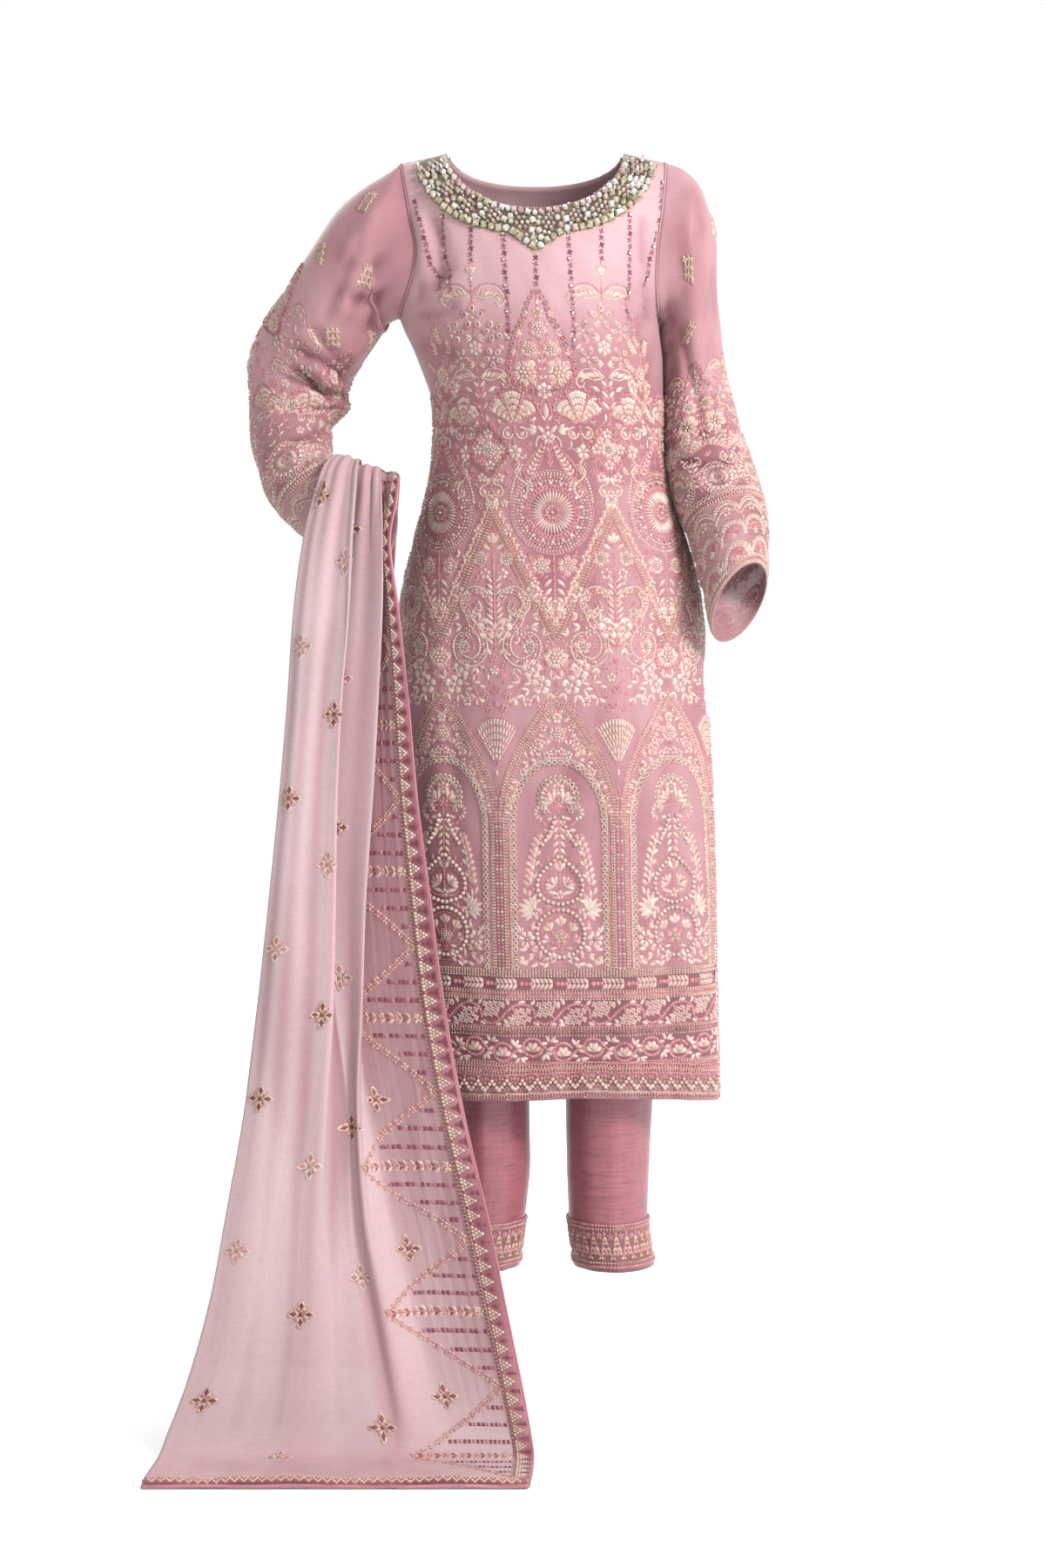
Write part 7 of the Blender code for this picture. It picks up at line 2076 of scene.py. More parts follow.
def kameez_field(work, chart, front=True):
    if front:
        for rows in bodice_lines(chart):
            work.add(rows)
    else:
        for s in (-0.108, -0.072, -0.036, 0.0, 0.036, 0.072, 0.108):
            top = -0.052 - 0.02 * (abs(s) < 0.09)
            work.add(cross_line([(s, top), (s * 0.97, -0.125 - 0.02 * (abs(s) < 0.05))], sequins=5))
    for s in (-0.074, 0.074):
        work.add(plant(), s, -0.142)
    work.add(crest(), 0, -0.158)
    for s, z in ((-0.126, -0.186), (0.124, -0.186), (-0.1320, -0.2400), (0.1300, -0.2400)):
        work.add(side_cluster(), s, z, scale=1.0 if z > -0.2 else 0.7)
    for s in (-0.0370, 0.0370, -0.1000, 0.1000, -0.165, 0.165):
        outer = abs(s) > 0.05
        work.add(fan(0.036 if outer else 0.041), s, -0.3080 if outer else -0.3060)
        work.add(thick(scrolls(0.0118), 1.15), s, -0.3085)
    for s in (-PITCH / 2, PITCH / 2, -1.5 * PITCH, 1.5 * PITCH):
        work.add(thick(diamond(), 1.10), s, -0.3345)
        work.add(thick(scrolls(0.0118), 1.15), s, -0.3725)
    for s in (0, -PITCH, PITCH):
        work.add(medallion(), s, -0.4045)
        work.add(thick(drop_top(), 1.12), s, -0.4045)
        for sign in (-1, 1):
            work.add(thick(squiggle(), 1.18), s + sign * 0.0385, -0.3330, mirror=sign > 0)
    work.add(chevrons())
    for s in (0, -PITCH, PITCH):
        v = Pen()
        for sign in (-1, 1):
            v.ruffle(sign * 0.0150, -0.4640, 0.0118, centre=SEQ, third=PINK)
            for k in range(4):
                v.leaf(CREAM, sign * 0.003, -0.4790 - 0.010 * k, -PI / 2 + sign * 0.8, 0.0120, 0.0042)
                v.leaf(PINK, sign * 0.006, -0.4750 - 0.010 * k, -PI / 2 + sign * 1.1, 0.0086, 0.0032)
            v.flower(sign * 0.0070, -0.5180, 0.0056, 5, CREAM, None, PINK)
        v.cord(PINK, [(0, -0.451), (0, -0.534)], 0.0026, 0.004, smooth_path=False)
        v.flower(0, -0.5085, 0.0068, 5, CREAM, PINK, SEQ)
        v.bead(CREAM, 0, -0.5260, 0.0046)
        v.ruffle(0, -0.5665, 0.0150, third=PINK, centre=GOLD)
        for k in range(14):
            a = 2 * PI * k / 14
            v.leaf(PINK, math.cos(a) * 0.0140, -0.5665 + math.sin(a) * 0.0140, a, 0.0076, 0.0034)
            v.bead(CREAM, math.cos(a + 0.22) * 0.0200, -0.5665 + math.sin(a + 0.22) * 0.0200, 0.0028)
        for sign in (-1, 1):
            v.flower(sign * 0.0270, -0.5790, 0.0112, 5, CREAM, PINK, SEQ)
        work.add(v.array(), s)
        work.add(spray(), s, -0.5980)
    for s in (-PITCH / 2, PITCH / 2, -1.5 * PITCH, 1.5 * PITCH):
        u = Pen()
        u.bud(0, -0.4400, PI / 2, 0.0130, CREAM, GOLD)
        for sign in (-1, 1):
            u.ruffle(sign * 0.0152, -0.4560, 0.0104, third=PINK, centre=GOLD)
            u.leaf(CREAM, sign * 0.003, -0.446, PI / 2 - sign * 1.0, 0.013, 0.0044)
            u.leaf(PINK, sign * 0.003, -0.440, PI / 2 - sign * 0.7, 0.011, 0.0038)
            u.flower(sign * 0.0100, -0.4730, 0.0062, 5, CREAM, PINK, GOLD)
        u.cord(PINK, [(0, -0.448), (0, -0.478)], 0.0022, 0.004, smooth_path=False)
        work.add(u.array(), s)
        work.add(fern(0.076, 11, 0.0135), s, -0.5540)
        work.add(both(volute()), s, -0.5560)
        low = Pen()
        for sign in (-1, 1):
            low.curl(PINK, sign * 0.0045, -0.602, 0.0060, -PI / 2, -sign, 1.1, 0.0018)
            low.flower(sign * 0.0130, -0.6080, 0.0050, 5, PINK, None, CREAM)
            low.leaf(CREAM, sign * 0.0120, -0.600, 0.3 if sign > 0 else PI - 0.3, 0.0090, 0.0036)
            low.leaf(PINK, sign * 0.0030, -0.622, PI / 2 + sign * 0.5, 0.0100, 0.0040)
        for sign in (-1, 1):
            low.flower(sign * 0.0085, -0.6230, 0.0052, 5, PINK, None, CREAM)
            low.leaf(PINK, sign * 0.0150, -0.6180, 0.4 if sign > 0 else PI - 0.4, 0.0080, 0.0034)
        work.add(low.array(), s)
        work.add(tiered_fan(), s, -0.6900)
    arches = (-1, 0, 1)
    work.add(arcade(arches))
    for k in arches:
        work.add(vase(), k * PITCH)
    for k in (-2, 2):
        work.add(arcade((0,)), k * PITCH)
    work.add(hem_bands(0.250))
    work.add(hem_edge(0.245, chart))
    so_far = np.concatenate([p[:, :9] for p in work.parts])

    def zone(x, y):
        inside = (y < -0.295) & (y > -0.600) & (np.abs(x) < 0.20)
        # the plain ground under the chevrons' peaks and beside the rounds stays open
        phase = np.abs((x / PITCH + 0.5) % 1 - 0.5) * 2
        open_ground = (y < -0.455) & (y > -0.545) & (phase > 0.42) & (phase < 0.70)
        return inside & ~open_ground & (chart.at(x, y)[2])

    if front:
        work.add(fill_gaps(so_far, zone, gap=0.0112, need=0.0058, seed=5))


def yoke_stones(work, chart):
    """Stones packed between the neckline and the scalloped outer edge."""
    pen = Pen()
    rng = np.random.default_rng(3)
    t = np.linspace(-1, 1, 1200)
    (xi, zi), (xo, zo) = neck_inner(t, NECK_DROP_FRONT), yoke_outer(t)
    placed = []

    def free(x, z, r):
        return all((x - px) ** 2 + (z - pz) ** 2 > (r + pr) ** 2 * 0.80 for px, pz, pr in placed)

    def line_at(w):
        x, z = xi + (xo - xi) * w, zi + (zo - zi) * w
        a = np.array([spot(chart, px, pz) for px, pz in zip(x[::6], z[::6])])
        return np.stack([a, z[::6]], 1)

    def stone(x, z, kind, colour, size, turn):
        pen.one(SQUARE if kind == "square" else ROUND, SET, x, z, turn, size * 1.14, size * 1.14, 0.0012, 0.0010)
        pen.one(SQUARE if kind == "square" else ROUND, colour, x, z, turn, size, size, 0.0036, 0.0018)

    mid_line = line_at(0.50)
    run = np.concatenate([[0], np.cumsum(np.hypot(*np.diff(mid_line, axis=0).T))])
    for at in np.arange(0.016, run[-1] - 0.010, 0.0315):
        cx, cz = np.interp(at, run, mid_line[:, 0]), np.interp(at, run, mid_line[:, 1])
        for k in range(6):
            a = k * PI / 3 + at * 30
            stone(cx + math.cos(a) * 0.0058, cz + math.sin(a) * 0.0058, "round", STR if k % 2 else STA, 0.0056, a)
            placed.append((cx + math.cos(a) * 0.0058, cz + math.sin(a) * 0.0058, 0.0028))
        stone(cx, cz, "round", STC, 0.0052, 0)
        placed.append((cx, cz, 0.0026))
    for w, size in ((0.93, 0.0080), (0.755, 0.0076), (0.13, 0.0070), (0.31, 0.0074), (0.585, 0.0074), (0.445, 0.0070), (0.85, 0.0060), (0.22, 0.0058), (0.66, 0.0056), (0.38, 0.0054), (0.51, 0.0052), (0.70, 0.0044), (0.80, 0.0042), (0.27, 0.0042), (0.05, 0.0042)):
        line = line_at(w)
        run = np.concatenate([[0], np.cumsum(np.hypot(*np.diff(line, axis=0).T))])
        for at in np.arange(0.003, run[-1] - 0.002, 0.0022):
            x, z = np.interp(at, run, line[:, 0]), np.interp(at, run, line[:, 1])
            x, z = x + rng.uniform(-0.0006, 0.0006), z + rng.uniform(-0.0006, 0.0006)
            s = size * rng.uniform(0.92, 1.06)
            if not free(x, z, s / 2 + 0.0003):
                continue
            placed.append((x, z, s / 2))
            roll = rng.random()
            k = np.clip(np.searchsorted(run, at), 1, len(line) - 1)
            along = math.atan2(line[k, 1] - line[k - 1, 1], line[k, 0] - line[k - 1, 0])
            turn = along + rng.uniform(-0.35, 0.35)
            if w > 0.9:
                stone(x, z, "square" if roll < 0.6 else "round", STA if roll < 0.72 else STC, s, turn)
            elif roll < 0.30:
                stone(x, z, "square", STC, s, turn)
            elif roll < 0.46:
                stone(x, z, "round", STC, s, turn)
            elif roll < 0.74:
                stone(x, z, "square" if roll < 0.62 else "round", STA, s, turn)
            else:
                stone(x, z, "round", STR, s, turn)
    edge = line_at(0.012)
    pen.beads(MAUVE, edge, 0.0034, 0.0036, kind=PEARL, smooth_path=False, every=2, other=STR)
    outer = line_at(1.0)
    run = np.concatenate([[0], np.cumsum(np.hypot(*np.diff(outer, axis=0).T))])
    at = np.linspace(0, run[-1], 1400)
    d = np.gradient(outer, axis=0)
    nx, nz = np.interp(at, run, d[:, 1]), -np.interp(at, run, d[:, 0])
    length = np.hypot(nx, nz)
    bump = 0.0016 + 0.0026 * np.abs(np.sin(at * PI / 0.0150))
    x, z = np.interp(at, run, outer[:, 0]), np.interp(at, run, outer[:, 1])
    sign = -1.0 if True else 1.0
    pen.cord(GOLD, np.stack([x + sign * -nx / length * bump, z + sign * -nz / length * bump], 1), 0.0019, 0.0032, 0.0014, smooth_path=False)
    work.add(pen.array())


def buti(r=0.0125, centre=BURG, petal=GOLD, dots=CREAM):
    """A small four-petalled spot set as a diamond: looped petals, with leaves between them."""
    pen = Pen()
    for k in range(4):
        a = PI / 2 + k * PI / 2
        x, y = math.cos(a) * r * 0.58, math.sin(a) * r * 0.58
        pen.leaf(centre, x - math.cos(a) * r * 0.34, y - math.sin(a) * r * 0.34, a, r * 0.68, r * 0.42, 0.0010)
        for side in (-1, 1):  # the two sides of the loop
            c, s = math.cos(a + PI / 2) * side, math.sin(a + PI / 2) * side
            foot = (math.cos(a) * r * 0.14, math.sin(a) * r * 0.14)
            waist = (x + c * r * 0.25, y + s * r * 0.25)
            tip = (math.cos(a) * r * 1.02, math.sin(a) * r * 1.02)
            for p, q in ((foot, waist), (waist, tip)):
                d = math.atan2(q[1] - p[1], q[0] - p[0])
                pen.one(STITCH, petal, p[0], p[1], d, math.hypot(q[0] - p[0], q[1] - p[1]) * 1.06, r * 0.15, 0.0016, 0.0004)
        b = a + PI / 4
        for d in (-0.50, 0.50):
            pen.leaf(petal if d > 0 else dots, math.cos(b) * r * 0.30, math.sin(b) * r * 0.30, b + d, r * 0.36, r * 0.19, 0.0013, 0.0004)
        pen.bead(dots, math.cos(b) * r * 0.70, math.sin(b) * r * 0.70, r * 0.14)
    pen.bead(centre, 0, 0, r * 0.34, lift=0.0006)
    pen.bead(dots, 0, 0, r * 0.18, lift=0.0016)
    return pen.array()


def block_spot(r=0.0130):
    """A close diamond of small metal blossoms."""
    pen = Pen()
    step_ = r * 0.38
    for i in (-1, 0, 1):
        for j in (-1, 0, 1):
            px, py = (i - j) * step_ * 0.98, (i + j) * step_ * 0.98
            for k in range(4):
                a = PI / 4 + k * PI / 2
                pen.leaf(GOLD if (i + j + k) % 3 else CREAM, px - math.cos(a) * r * 0.04, py - math.sin(a) * r * 0.04, a, r * 0.42, r * 0.28, 0.0016)
            pen.bead(PINK if (i + j) % 2 else CREAM, px, py, r * 0.16, lift=0.0008)
    for k in range(4):
        a = k * PI / 2
        pen.leaf(GOLD, math.cos(a) * r * 0.96, math.sin(a) * r * 0.96, a, r * 0.26, r * 0.16)
    return pen.array()


def ring_line(chart, b, maker):
    """Rows for a line right round a sleeve at height b. maker draws it on metres, from 0 to the whole way round."""
    ma, mb = chart.scale_at(0.25, b)
    spans = chart.ma[int(np.clip((b - chart.b[0]) / (chart.b[-1] - chart.b[0]) * (len(chart.b) - 1), 0, len(chart.b) - 1))]
    whole = float(spans[:-1].mean())
    pen = Pen()
    maker(pen, whole)
    rows = pen.array()
    rows[:, 2] /= whole
    rows[:, 3] = b + rows[:, 3] / mb
    return np.concatenate([rows, np.full((len(rows), 1), whole), np.full((len(rows), 1), mb)], 1)


def cuff_fan(r=0.018):
    """Upright rays of one colour with pale outlines, as on a shell."""
    pen = Pen()
    for k in range(11):
        a = PI / 2 + 1.45 * (2 * (k + 0.5) / 11 - 1)
        pen.petal(PINK, math.cos(a) * r * 0.20, math.sin(a) * r * 0.20, a, r * 0.66, r * 0.20, 0.0013)
        pen.bead(CREAM, math.cos(a) * r * 0.93, math.sin(a) * r * 0.93, r * 0.16)
    arc = [(math.cos(t) * r * 1.06, math.sin(t) * r * 1.06) for t in np.linspace(-0.15, PI + 0.15, 18)]
    pen.cord(CREAM, arc, 0.0019, 0.0034, 0.0014, smooth_path=False)
    pen.cord(GOLD, [(x * 1.14, y * 1.14) for x, y in arc], 0.0015, 0.0036, 0.0010, smooth_path=False)
    pen.flower(0, 0, r * 0.26, 5, CREAM, None, GOLD)
    return pen.array()


def sleeve_field(work, chart, side):
    first = 0.235 if side < 0 else 0.255
    top, start = (0.745, 1 - CUFF_START[-1]) if side < 0 else (0.560, 1 - CUFF_START[1])
    spots = [(0.292, 0.870), (0.125, 0.890), (0.132, 0.780), (0.319, 0.735)] if side < 0 else [(0.278, 0.860), (0.296, 0.655)]
    for a, b in spots + [(a + 0.5, b + 0.02) for a, b in spots] + ([(0.01, 0.66), (0.46, 0.80), (0.93, 0.80)] if side < 0 else [(0.06, 0.78), (0.93, 0.86)]):
        work.add(block_spot(0.0128), a % 1.0, b, true=True)
    if side > 0:
        for a in (first + 0.5,):
            work.add(block_spot(0.0128), a % 1.0, 0.60, true=True)
    shift = 1 / 6 if side < 0 else 0.0
    for k in range(3):
        a = (first + shift + k / 3) % 1.0
        half = (a + 1 / 6) % 1.0
        work.add(crest(), a, top, scale=0.86, true=True)
        work.add(moved(wing_pair(0.030), 0, 0.0), half, top - 0.035, true=True)
        work.add(loop_flower(0.0130), half, top - 0.085, true=True)
        for sign in (-1, 1):
            work.add(loop_flower(0.0100), (half + sign * 0.060) % 1.0, top - 0.105, true=True)
        work.add(wing_pair(0.026), half, top - 0.150, true=True)
        # palmettes below the crest, then rounds between them
        fans = top - 0.275 if side < 0 else start + 0.115
        for sign in (-1, 1):
            work.add(fan(0.030), (a + sign * 0.075) % 1.0, fans, true=True)
            work.add(scrolls(0.0085), (a + sign * 0.075) % 1.0, fans - 0.004, true=True)
            q = Pen()
            q.ruffle(0, 0, 0.0112, third=PINK, centre=GOLD)
            for j in range(8):
                tt = 2 * PI * j / 8
                q.leaf(CREAM if j % 2 else PINK, math.cos(tt) * 0.0112, math.sin(tt) * 0.0112, tt, 0.0080, 0.0040)
            work.add(q.array(), (a + sign * 0.145) % 1.0, fans + 0.020, true=True)
        work.add(medallion(0.0240), half, start + 0.060, true=True)
        work.add(medallion(0.0200), a, start + 0.048, true=True)
        q = Pen()
        for j in range(5):
            for sign in (-1, 1):
                q.leaf(CREAM, 0, -0.008 + 0.007 * j, PI / 2 - sign * 0.8, 0.0096, 0.0040)
        q.cord(PINK, [(0, -0.014), (0, 0.032)], 0.0024, 0.0038, smooth_path=False)
        q.flower(0.012, 0.000, 0.0062, 5, CREAM, None, PINK)
        q.flower(-0.012, 0.000, 0.0062, 5, CREAM, None, PINK)
        for sign in (-1, 1):
            work.add(q.array(), (half + sign * 0.088) % 1.0, start + 0.052, true=True)
    rows = np.concatenate(work.parts)
    metres = rows[:, :9].copy()
    metres[:, 2] *= 0.30
    metres[:, 3] *= 0.45
    top_line = top - 0.02

    def zone(x, y):
        return (y / 0.45 < top_line - 0.02) & (y / 0.45 > start + 0.02)

    extra = fill_gaps(metres, zone, gap=0.0110, need=0.0058, seed=21 + side, pale=0.5)
    extra[:, 2] /= 0.30
    extra[:, 3] /= 0.45
    scales = np.array([chart.scale_at(x % 1.0, y) for x, y in extra[:, 2:4]])
    work.parts.append(np.concatenate([extra, scales], 1))

    def bands(pen, whole):
        pen.braid(GOLD, [(0, 0.0), (whole, 0.0)], 0.0038, 0.0034, 0.0015, smooth_path=False, other=CREAM)
        pen.cord(PINK, [(0, 0.0032), (whole, 0.0032)], 0.0020, 0.0038, smooth_path=False)
        pen.cord(PINK, [(0, -0.0030), (whole, -0.0030)], 0.0020, 0.0038, smooth_path=False)
        pen.rings(CREAM, [(0, 0.0072), (whole, 0.0072)], 0.0062, 0.0056, smooth_path=False, height=0.0014)

    def scallops(pen, whole):
        count = 9
        x = np.linspace(0, whole, count * 14 + 1)
        for dy, colour, width in ((0.0, CREAM, 0.0026), (0.0036, GOLD, 0.0020), (-0.0036, PINK, 0.0022), (-0.0064, CREAM, 0.0018)):
            y = 0.0105 * np.abs(np.sin(PI * x / whole * count)) ** 0.8 + dy
            pen.cord(colour, np.stack([x, y], 1), width, 0.0034, 0.0015, smooth_path=False)
        for k in range(count):
            cx = (k + 0.5) * whole / count
            pen.flower(cx, 0.0020, 0.0056, 5, CREAM, PINK, GOLD)
            pen.curl(CREAM, cx + whole / count * 0.5 + 0.004, -0.002, 0.0042, 0.5, 1, 1.0, 0.0016)

    work.parts.append(ring_line(chart, start - 0.004, bands))
    work.parts.append(ring_line(chart, start * 0.78, scallops))
    for k in range(9):
        a = (first + 0.02 + k / 9) % 1.0
        work.add(cuff_fan(0.0150), a, start * 0.46, true=True)
        work.add(thick(loop_flower(0.0078), 1.1), (a + 1 / 18) % 1.0, start * 0.60, true=True)
    for k in range(7):
        a = (first + 0.02 + k / 7) % 1.0
        work.add(cuff_fan(0.0158), a, start * 0.16, true=True)
        q = Pen()
        q.leaf(CREAM, 0, -0.006, PI / 2, 0.0110, 0.0044)
        for sign in (-1, 1):
            q.leaf(CREAM, sign * 0.001, -0.006, PI / 2 - sign * 0.7, 0.0090, 0.0038)
            q.cord(CREAM, [(0, -0.008), (sign * 0.006, -0.003), (sign * 0.008, 0.004), (sign * 0.004, 0.006)], 0.0016, 0.0032)
        work.add(q.array(), (a + 1 / 14) % 1.0, start * 0.24, true=True)

    def edge(pen, whole):
        pen.braid(GOLD, [(0, 0.0028), (whole, 0.0028)], 0.0038, 0.0034, 0.0014, smooth_path=False, other=CREAM)
        pen.cord(PINK, [(0, 0.0060), (whole, 0.0060)], 0.0020, 0.0038, smooth_path=False)
        pen.cord(BURG, [(0, 0.0003), (whole, 0.0003)], 0.0018, 0.0038, smooth_path=False)
        pen.rings(CREAM, [(0, 0.0098), (whole, 0.0098)], 0.0058, 0.0060, smooth_path=False, height=0.0013)

    work.parts.append(ring_line(chart, 0.002, edge))


BORDER_STRIP = 0.0245
ZIG_FIRST, ZIG_PITCH = -0.071, 0.1655


def zig_a(b):
    """How far in from the edge the zigzag runs at each place along the dupatta."""
    k = (b - ZIG_FIRST) / ZIG_PITCH
    frac = np.abs(k - np.round(k)) * 2  # 0 at a near vertex, 1 at a far one
    far = np.where(b < -0.70, 0.140, 0.112)
    return -(BORDER_STRIP + 0.001 + (far - BORDER_STRIP - 0.001) * frac)


def dupatta_field(work, chart):
    low, high = -1.262, 1.052
    pen = Pen()
    # border strip: burgundy triangles and gold clusters
    gap = 0.0186
    for k in range(int((high - low) / gap)):
        y = low + (k + 0.5) * gap
        for q in range(6):  # dark triangles, their bases on the outer edge
            x, span = -0.0034 - 0.0021 * q, 0.0168 * (1 - q / 6.2)
            pen.one(STITCH, BURG, x, y - span / 2, PI / 2, span, 0.0026, 0.0014)
        z = y + gap / 2
        for x, ys in ((-0.0192, (-0.0058, -0.0020, 0.0020, 0.0058)), (-0.0158, (-0.0038, 0.0, 0.0038)), (-0.0124, (-0.0020, 0.0020)), (-0.0092, (0.0,))):
            for dy in ys:
                pen.one(PEARL, CREAM if abs(dy) < 0.003 else GOLD, x, z + dy, 0, 0.0044, 0.0042, 0.0020)
        pen.bead(PINK, -0.0176, y, 0.0036)
    pen.braid(PINK, [(-0.0016, low), (-0.0016, high)], 0.0030, 0.0046, 0.0012, smooth_path=False, other=CREAM)
    for a, colour, width in ((-0.0222, PINK, 0.0020), (-0.0243, GOLD, 0.0)):
        line = [(a, low), (a, high)]
        if width:
            pen.cord(colour, line, width, 0.0046, smooth_path=False)
        else:
            pen.braid(colour, line, 0.0030, 0.0044, 0.0013, smooth_path=False, other=CREAM)
    work.add(pen.array())
    # the long zigzag of doubled gold beads
    pen = Pen()
    ks = np.arange(math.floor((low - ZIG_FIRST) / ZIG_PITCH), math.ceil((high - ZIG_FIRST) / ZIG_PITCH) + 1)
    knots = []
    for k in ks:
        for half in (0.0, 0.5):
            b = ZIG_FIRST + (k + half) * ZIG_PITCH
            if low + 0.004 < b < high - 0.004:
                knots.append((float(zig_a(b)), b))
    for p, q in zip(knots[:-1], knots[1:]):
        d = np.array(q) - np.array(p)
        off = np.array([-d[1], d[0]]) / np.hypot(*d) * 0.0021
        for sign, colour in ((-1, GOLD), (1, GOLD)):
            pen.beads(colour, [tuple(np.array(p) + sign * off), tuple(np.array(q) + sign * off)], 0.0034, 0.0036, smooth_path=False, every=3, other=PINK)
        pen.cord(PINK, [p, q], 0.0016, 0.0050, 0.0009, smooth_path=False)
    work.add(pen.array())
    # rows of dark stitches inside each tooth, and its flowering spike
    pen = Pen()
    for k in ks:
        middle = ZIG_FIRST + (k + 0.5) * ZIG_PITCH
        for j in range(-3, 4):
            b = middle + j * 0.0205
            if not low + 0.006 < b < high - 0.006:
                continue
            reach = float(zig_a(b)) + 0.006
            if j == 0:
                n = int((-0.030 - reach) / 0.0085)
                pen.cord(PINK, [(-0.026, b), (reach, b)], 0.0018, 0.0044, smooth_path=False)
                for q in range(max(0, n)):
                    x = -0.030 - q * 0.0085
                    for sign in (-1, 1):
                        pen.leaf(CREAM if q % 2 else GOLD, x, b, PI - sign * 0.85, 0.0098, 0.0038)
                        pen.leaf(BURG if q % 2 else PINK, x - 0.004, b, PI - sign * 0.6, 0.0080, 0.0033)
                pen.flower(-0.031, b, 0.0056, 5, GOLD, None, CREAM)
                continue
            count = int((-0.027 - reach) / 0.0054)
            for q in range(max(0, count)):
                x = -0.029 - q * 0.0054
                for t in (0.9, -0.9):
                    pen.one(STITCH, BURG if (q + j) % 3 else MAUVE, x - math.cos(t) * 0.0034, b - math.sin(t) * 0.0034, t, 0.0070, 0.0032, 0.0013)
    work.add(pen.array())
    # scattered spots
    spot_pitch = 0.1685
    for column, a in enumerate((-0.333, -0.246, -0.166)):
        shift = (-0.569, -0.643, -0.604)[column]
        for k in range(-12, 6):
            b = shift - k * spot_pitch
            if low + 0.02 < b < high - 0.02:
                faint = (k + column) % 2 == 0  # worked on the layer below, so it shows paler
                rows = buti(0.0156, PINK if faint else BURG, CREAM if faint else GOLD, PINK)
                if faint:
                    rows[:, 7] *= 0.5
                work.add(rows, a, b, true=True)
    for k in ks:
        b = ZIG_FIRST + k * ZIG_PITCH - 0.010
        if low + 0.02 < b < high - 0.02:
            work.add(buti(0.0154, BURG, GOLD, PINK), -0.094, b, true=True)
    # both ends: a gold zigzag between lines
    for end, sign in ((low - 0.004, 1), (high + 0.004, -1)):
        pen = Pen()
        x = np.arange(-0.350, -0.004, 0.0055)
        y = end + sign * (0.0110 + 0.0040 * (np.arange(len(x)) % 2))
        pen.cord(GOLD, np.stack([x, y], 1), 0.0034, 0.0036, 0.0020, smooth_path=False)
        pen.cord(PINK, [(-0.352, end + sign * 0.0035), (-0.003, end + sign * 0.0035)], 0.0020, 0.0042, smooth_path=False)
        pen.cord(GOLD, [(-0.352, end + sign * 0.0185), (-0.003, end + sign * 0.0185)], 0.0020, 0.0042, smooth_path=False)
        work.add(pen.array())


def strip_chart(surface, high, low, lift):
    """A chart of part of a trouser panel: a in metres across from its first edge, b the height."""
    u = np.linspace(0.004, 0.996, 80)
    z = np.linspace(high, low, 60)
    p, n = surface.at(u[None, :], z[:, None])
    p = p + n * lift
    middle = p[len(z) // 2]
    run = np.concatenate([[0], np.cumsum(np.linalg.norm(np.diff(middle, axis=0), axis=1))])
    a = np.linspace(0, run[-1], 90)
    uu = np.interp(a, run, u)
    p, n = surface.at(uu[None, :], z[:, None])
    return Chart(a, z, p + n * lift, n, np.ones(p.shape[:2], bool))


def trouser_field(work, chart):
    whole = chart.a[-1]
    pen = Pen()
    top, low = TROUSER_CUFF_Z, -1.2715

    def line(z):
        return [(0.001, z), (whole - 0.001, z)]

    for z, colour, width in ((top - 0.0015, PINK, 0.0030), (low + 0.0016, PINK, 0.0030), (low + 0.0060, PINK, 0.0030)):
        pen.cord(colour, line(z), width, 0.0042, 0.0018, smooth_path=False)
    for z in (top - 0.0062, low + 0.0102):
        pen.braid(GOLD, line(z), 0.0034, 0.0036, 0.0014, smooth_path=False, other=PINK)
    high, foot = top - 0.0115, low + 0.0150
    gap = 0.0142
    count = max(2, int(round(whole / gap)))
    for k in range(count):
        x = (k + 0.5) * whole / count
        half = whole / count / 2
        for sign in (-1, 1):
            steps = 5
            for j in range(steps):
                t = (j + 0.5) / steps
                px, pz = x + sign * half * (1 - t), foot + (high - foot) * t
                pen.leaf(GOLD if j % 2 else PINK, px, pz, PI / 2 - sign * -0.25, 0.0068, 0.0031)
                pen.leaf(GOLD, px - sign * 0.0030, pz - 0.003, PI / 2 - sign * 0.9, 0.0052, 0.0026)
        pen.leaf(PINK, x, foot + 0.004, PI / 2, 0.0110, 0.0046)
        pen.flower(x + half, high - 0.002, 0.0040, 5, PINK, None, CREAM)
    work.add(pen.array())


def stitching(charts, surfaces, body):
    done = {}
    Pen.edge = PINK
    work = Work("front_work", charts["front"])
    kameez_field(work, charts["front"], True)
    done["front"] = work.build()
    Pen.edge = None
    work = Work("yoke_work", charts["yoke"])
    yoke_stones(work, charts["yoke"])
    done["front"] += work.build()
    Pen.coarse = 1.5
    work = Work("back_work", charts["back"], lite=True)
    kameez_field(work, charts["back"], False)
    done["back"] = work.build()
    Pen.coarse = 1.0
    for side, word in ((-1, "right"), (1, "left")):
        work = Work(f"sleeve_{word}_work", charts[word])
        sleeve_field(work, charts[word], side)
        done[word] = work.build()
    work = Work("dupatta_work", charts["dupatta"])
    dupatta_field(work, charts["dupatta"])
    done["dupatta"] = work.build()
    for side, word in ((-1, "right"), (1, "left")):
        for facing, where in ((-1, "front"), (1, "back")):
            chart = strip_chart(surfaces[side, facing], TROUSER_CUFF_Z + 0.002, -1.2714, 0.0013)
            work = Work(f"trouser_{where}_{word}_work", chart)
            trouser_field(work, chart)
            done[("leg", side, facing)] = work.build()
    return done


# ---- pieces --------------------------------------------------------------
def finish_piece(obj, nodes):
    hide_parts(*nodes)
    return obj


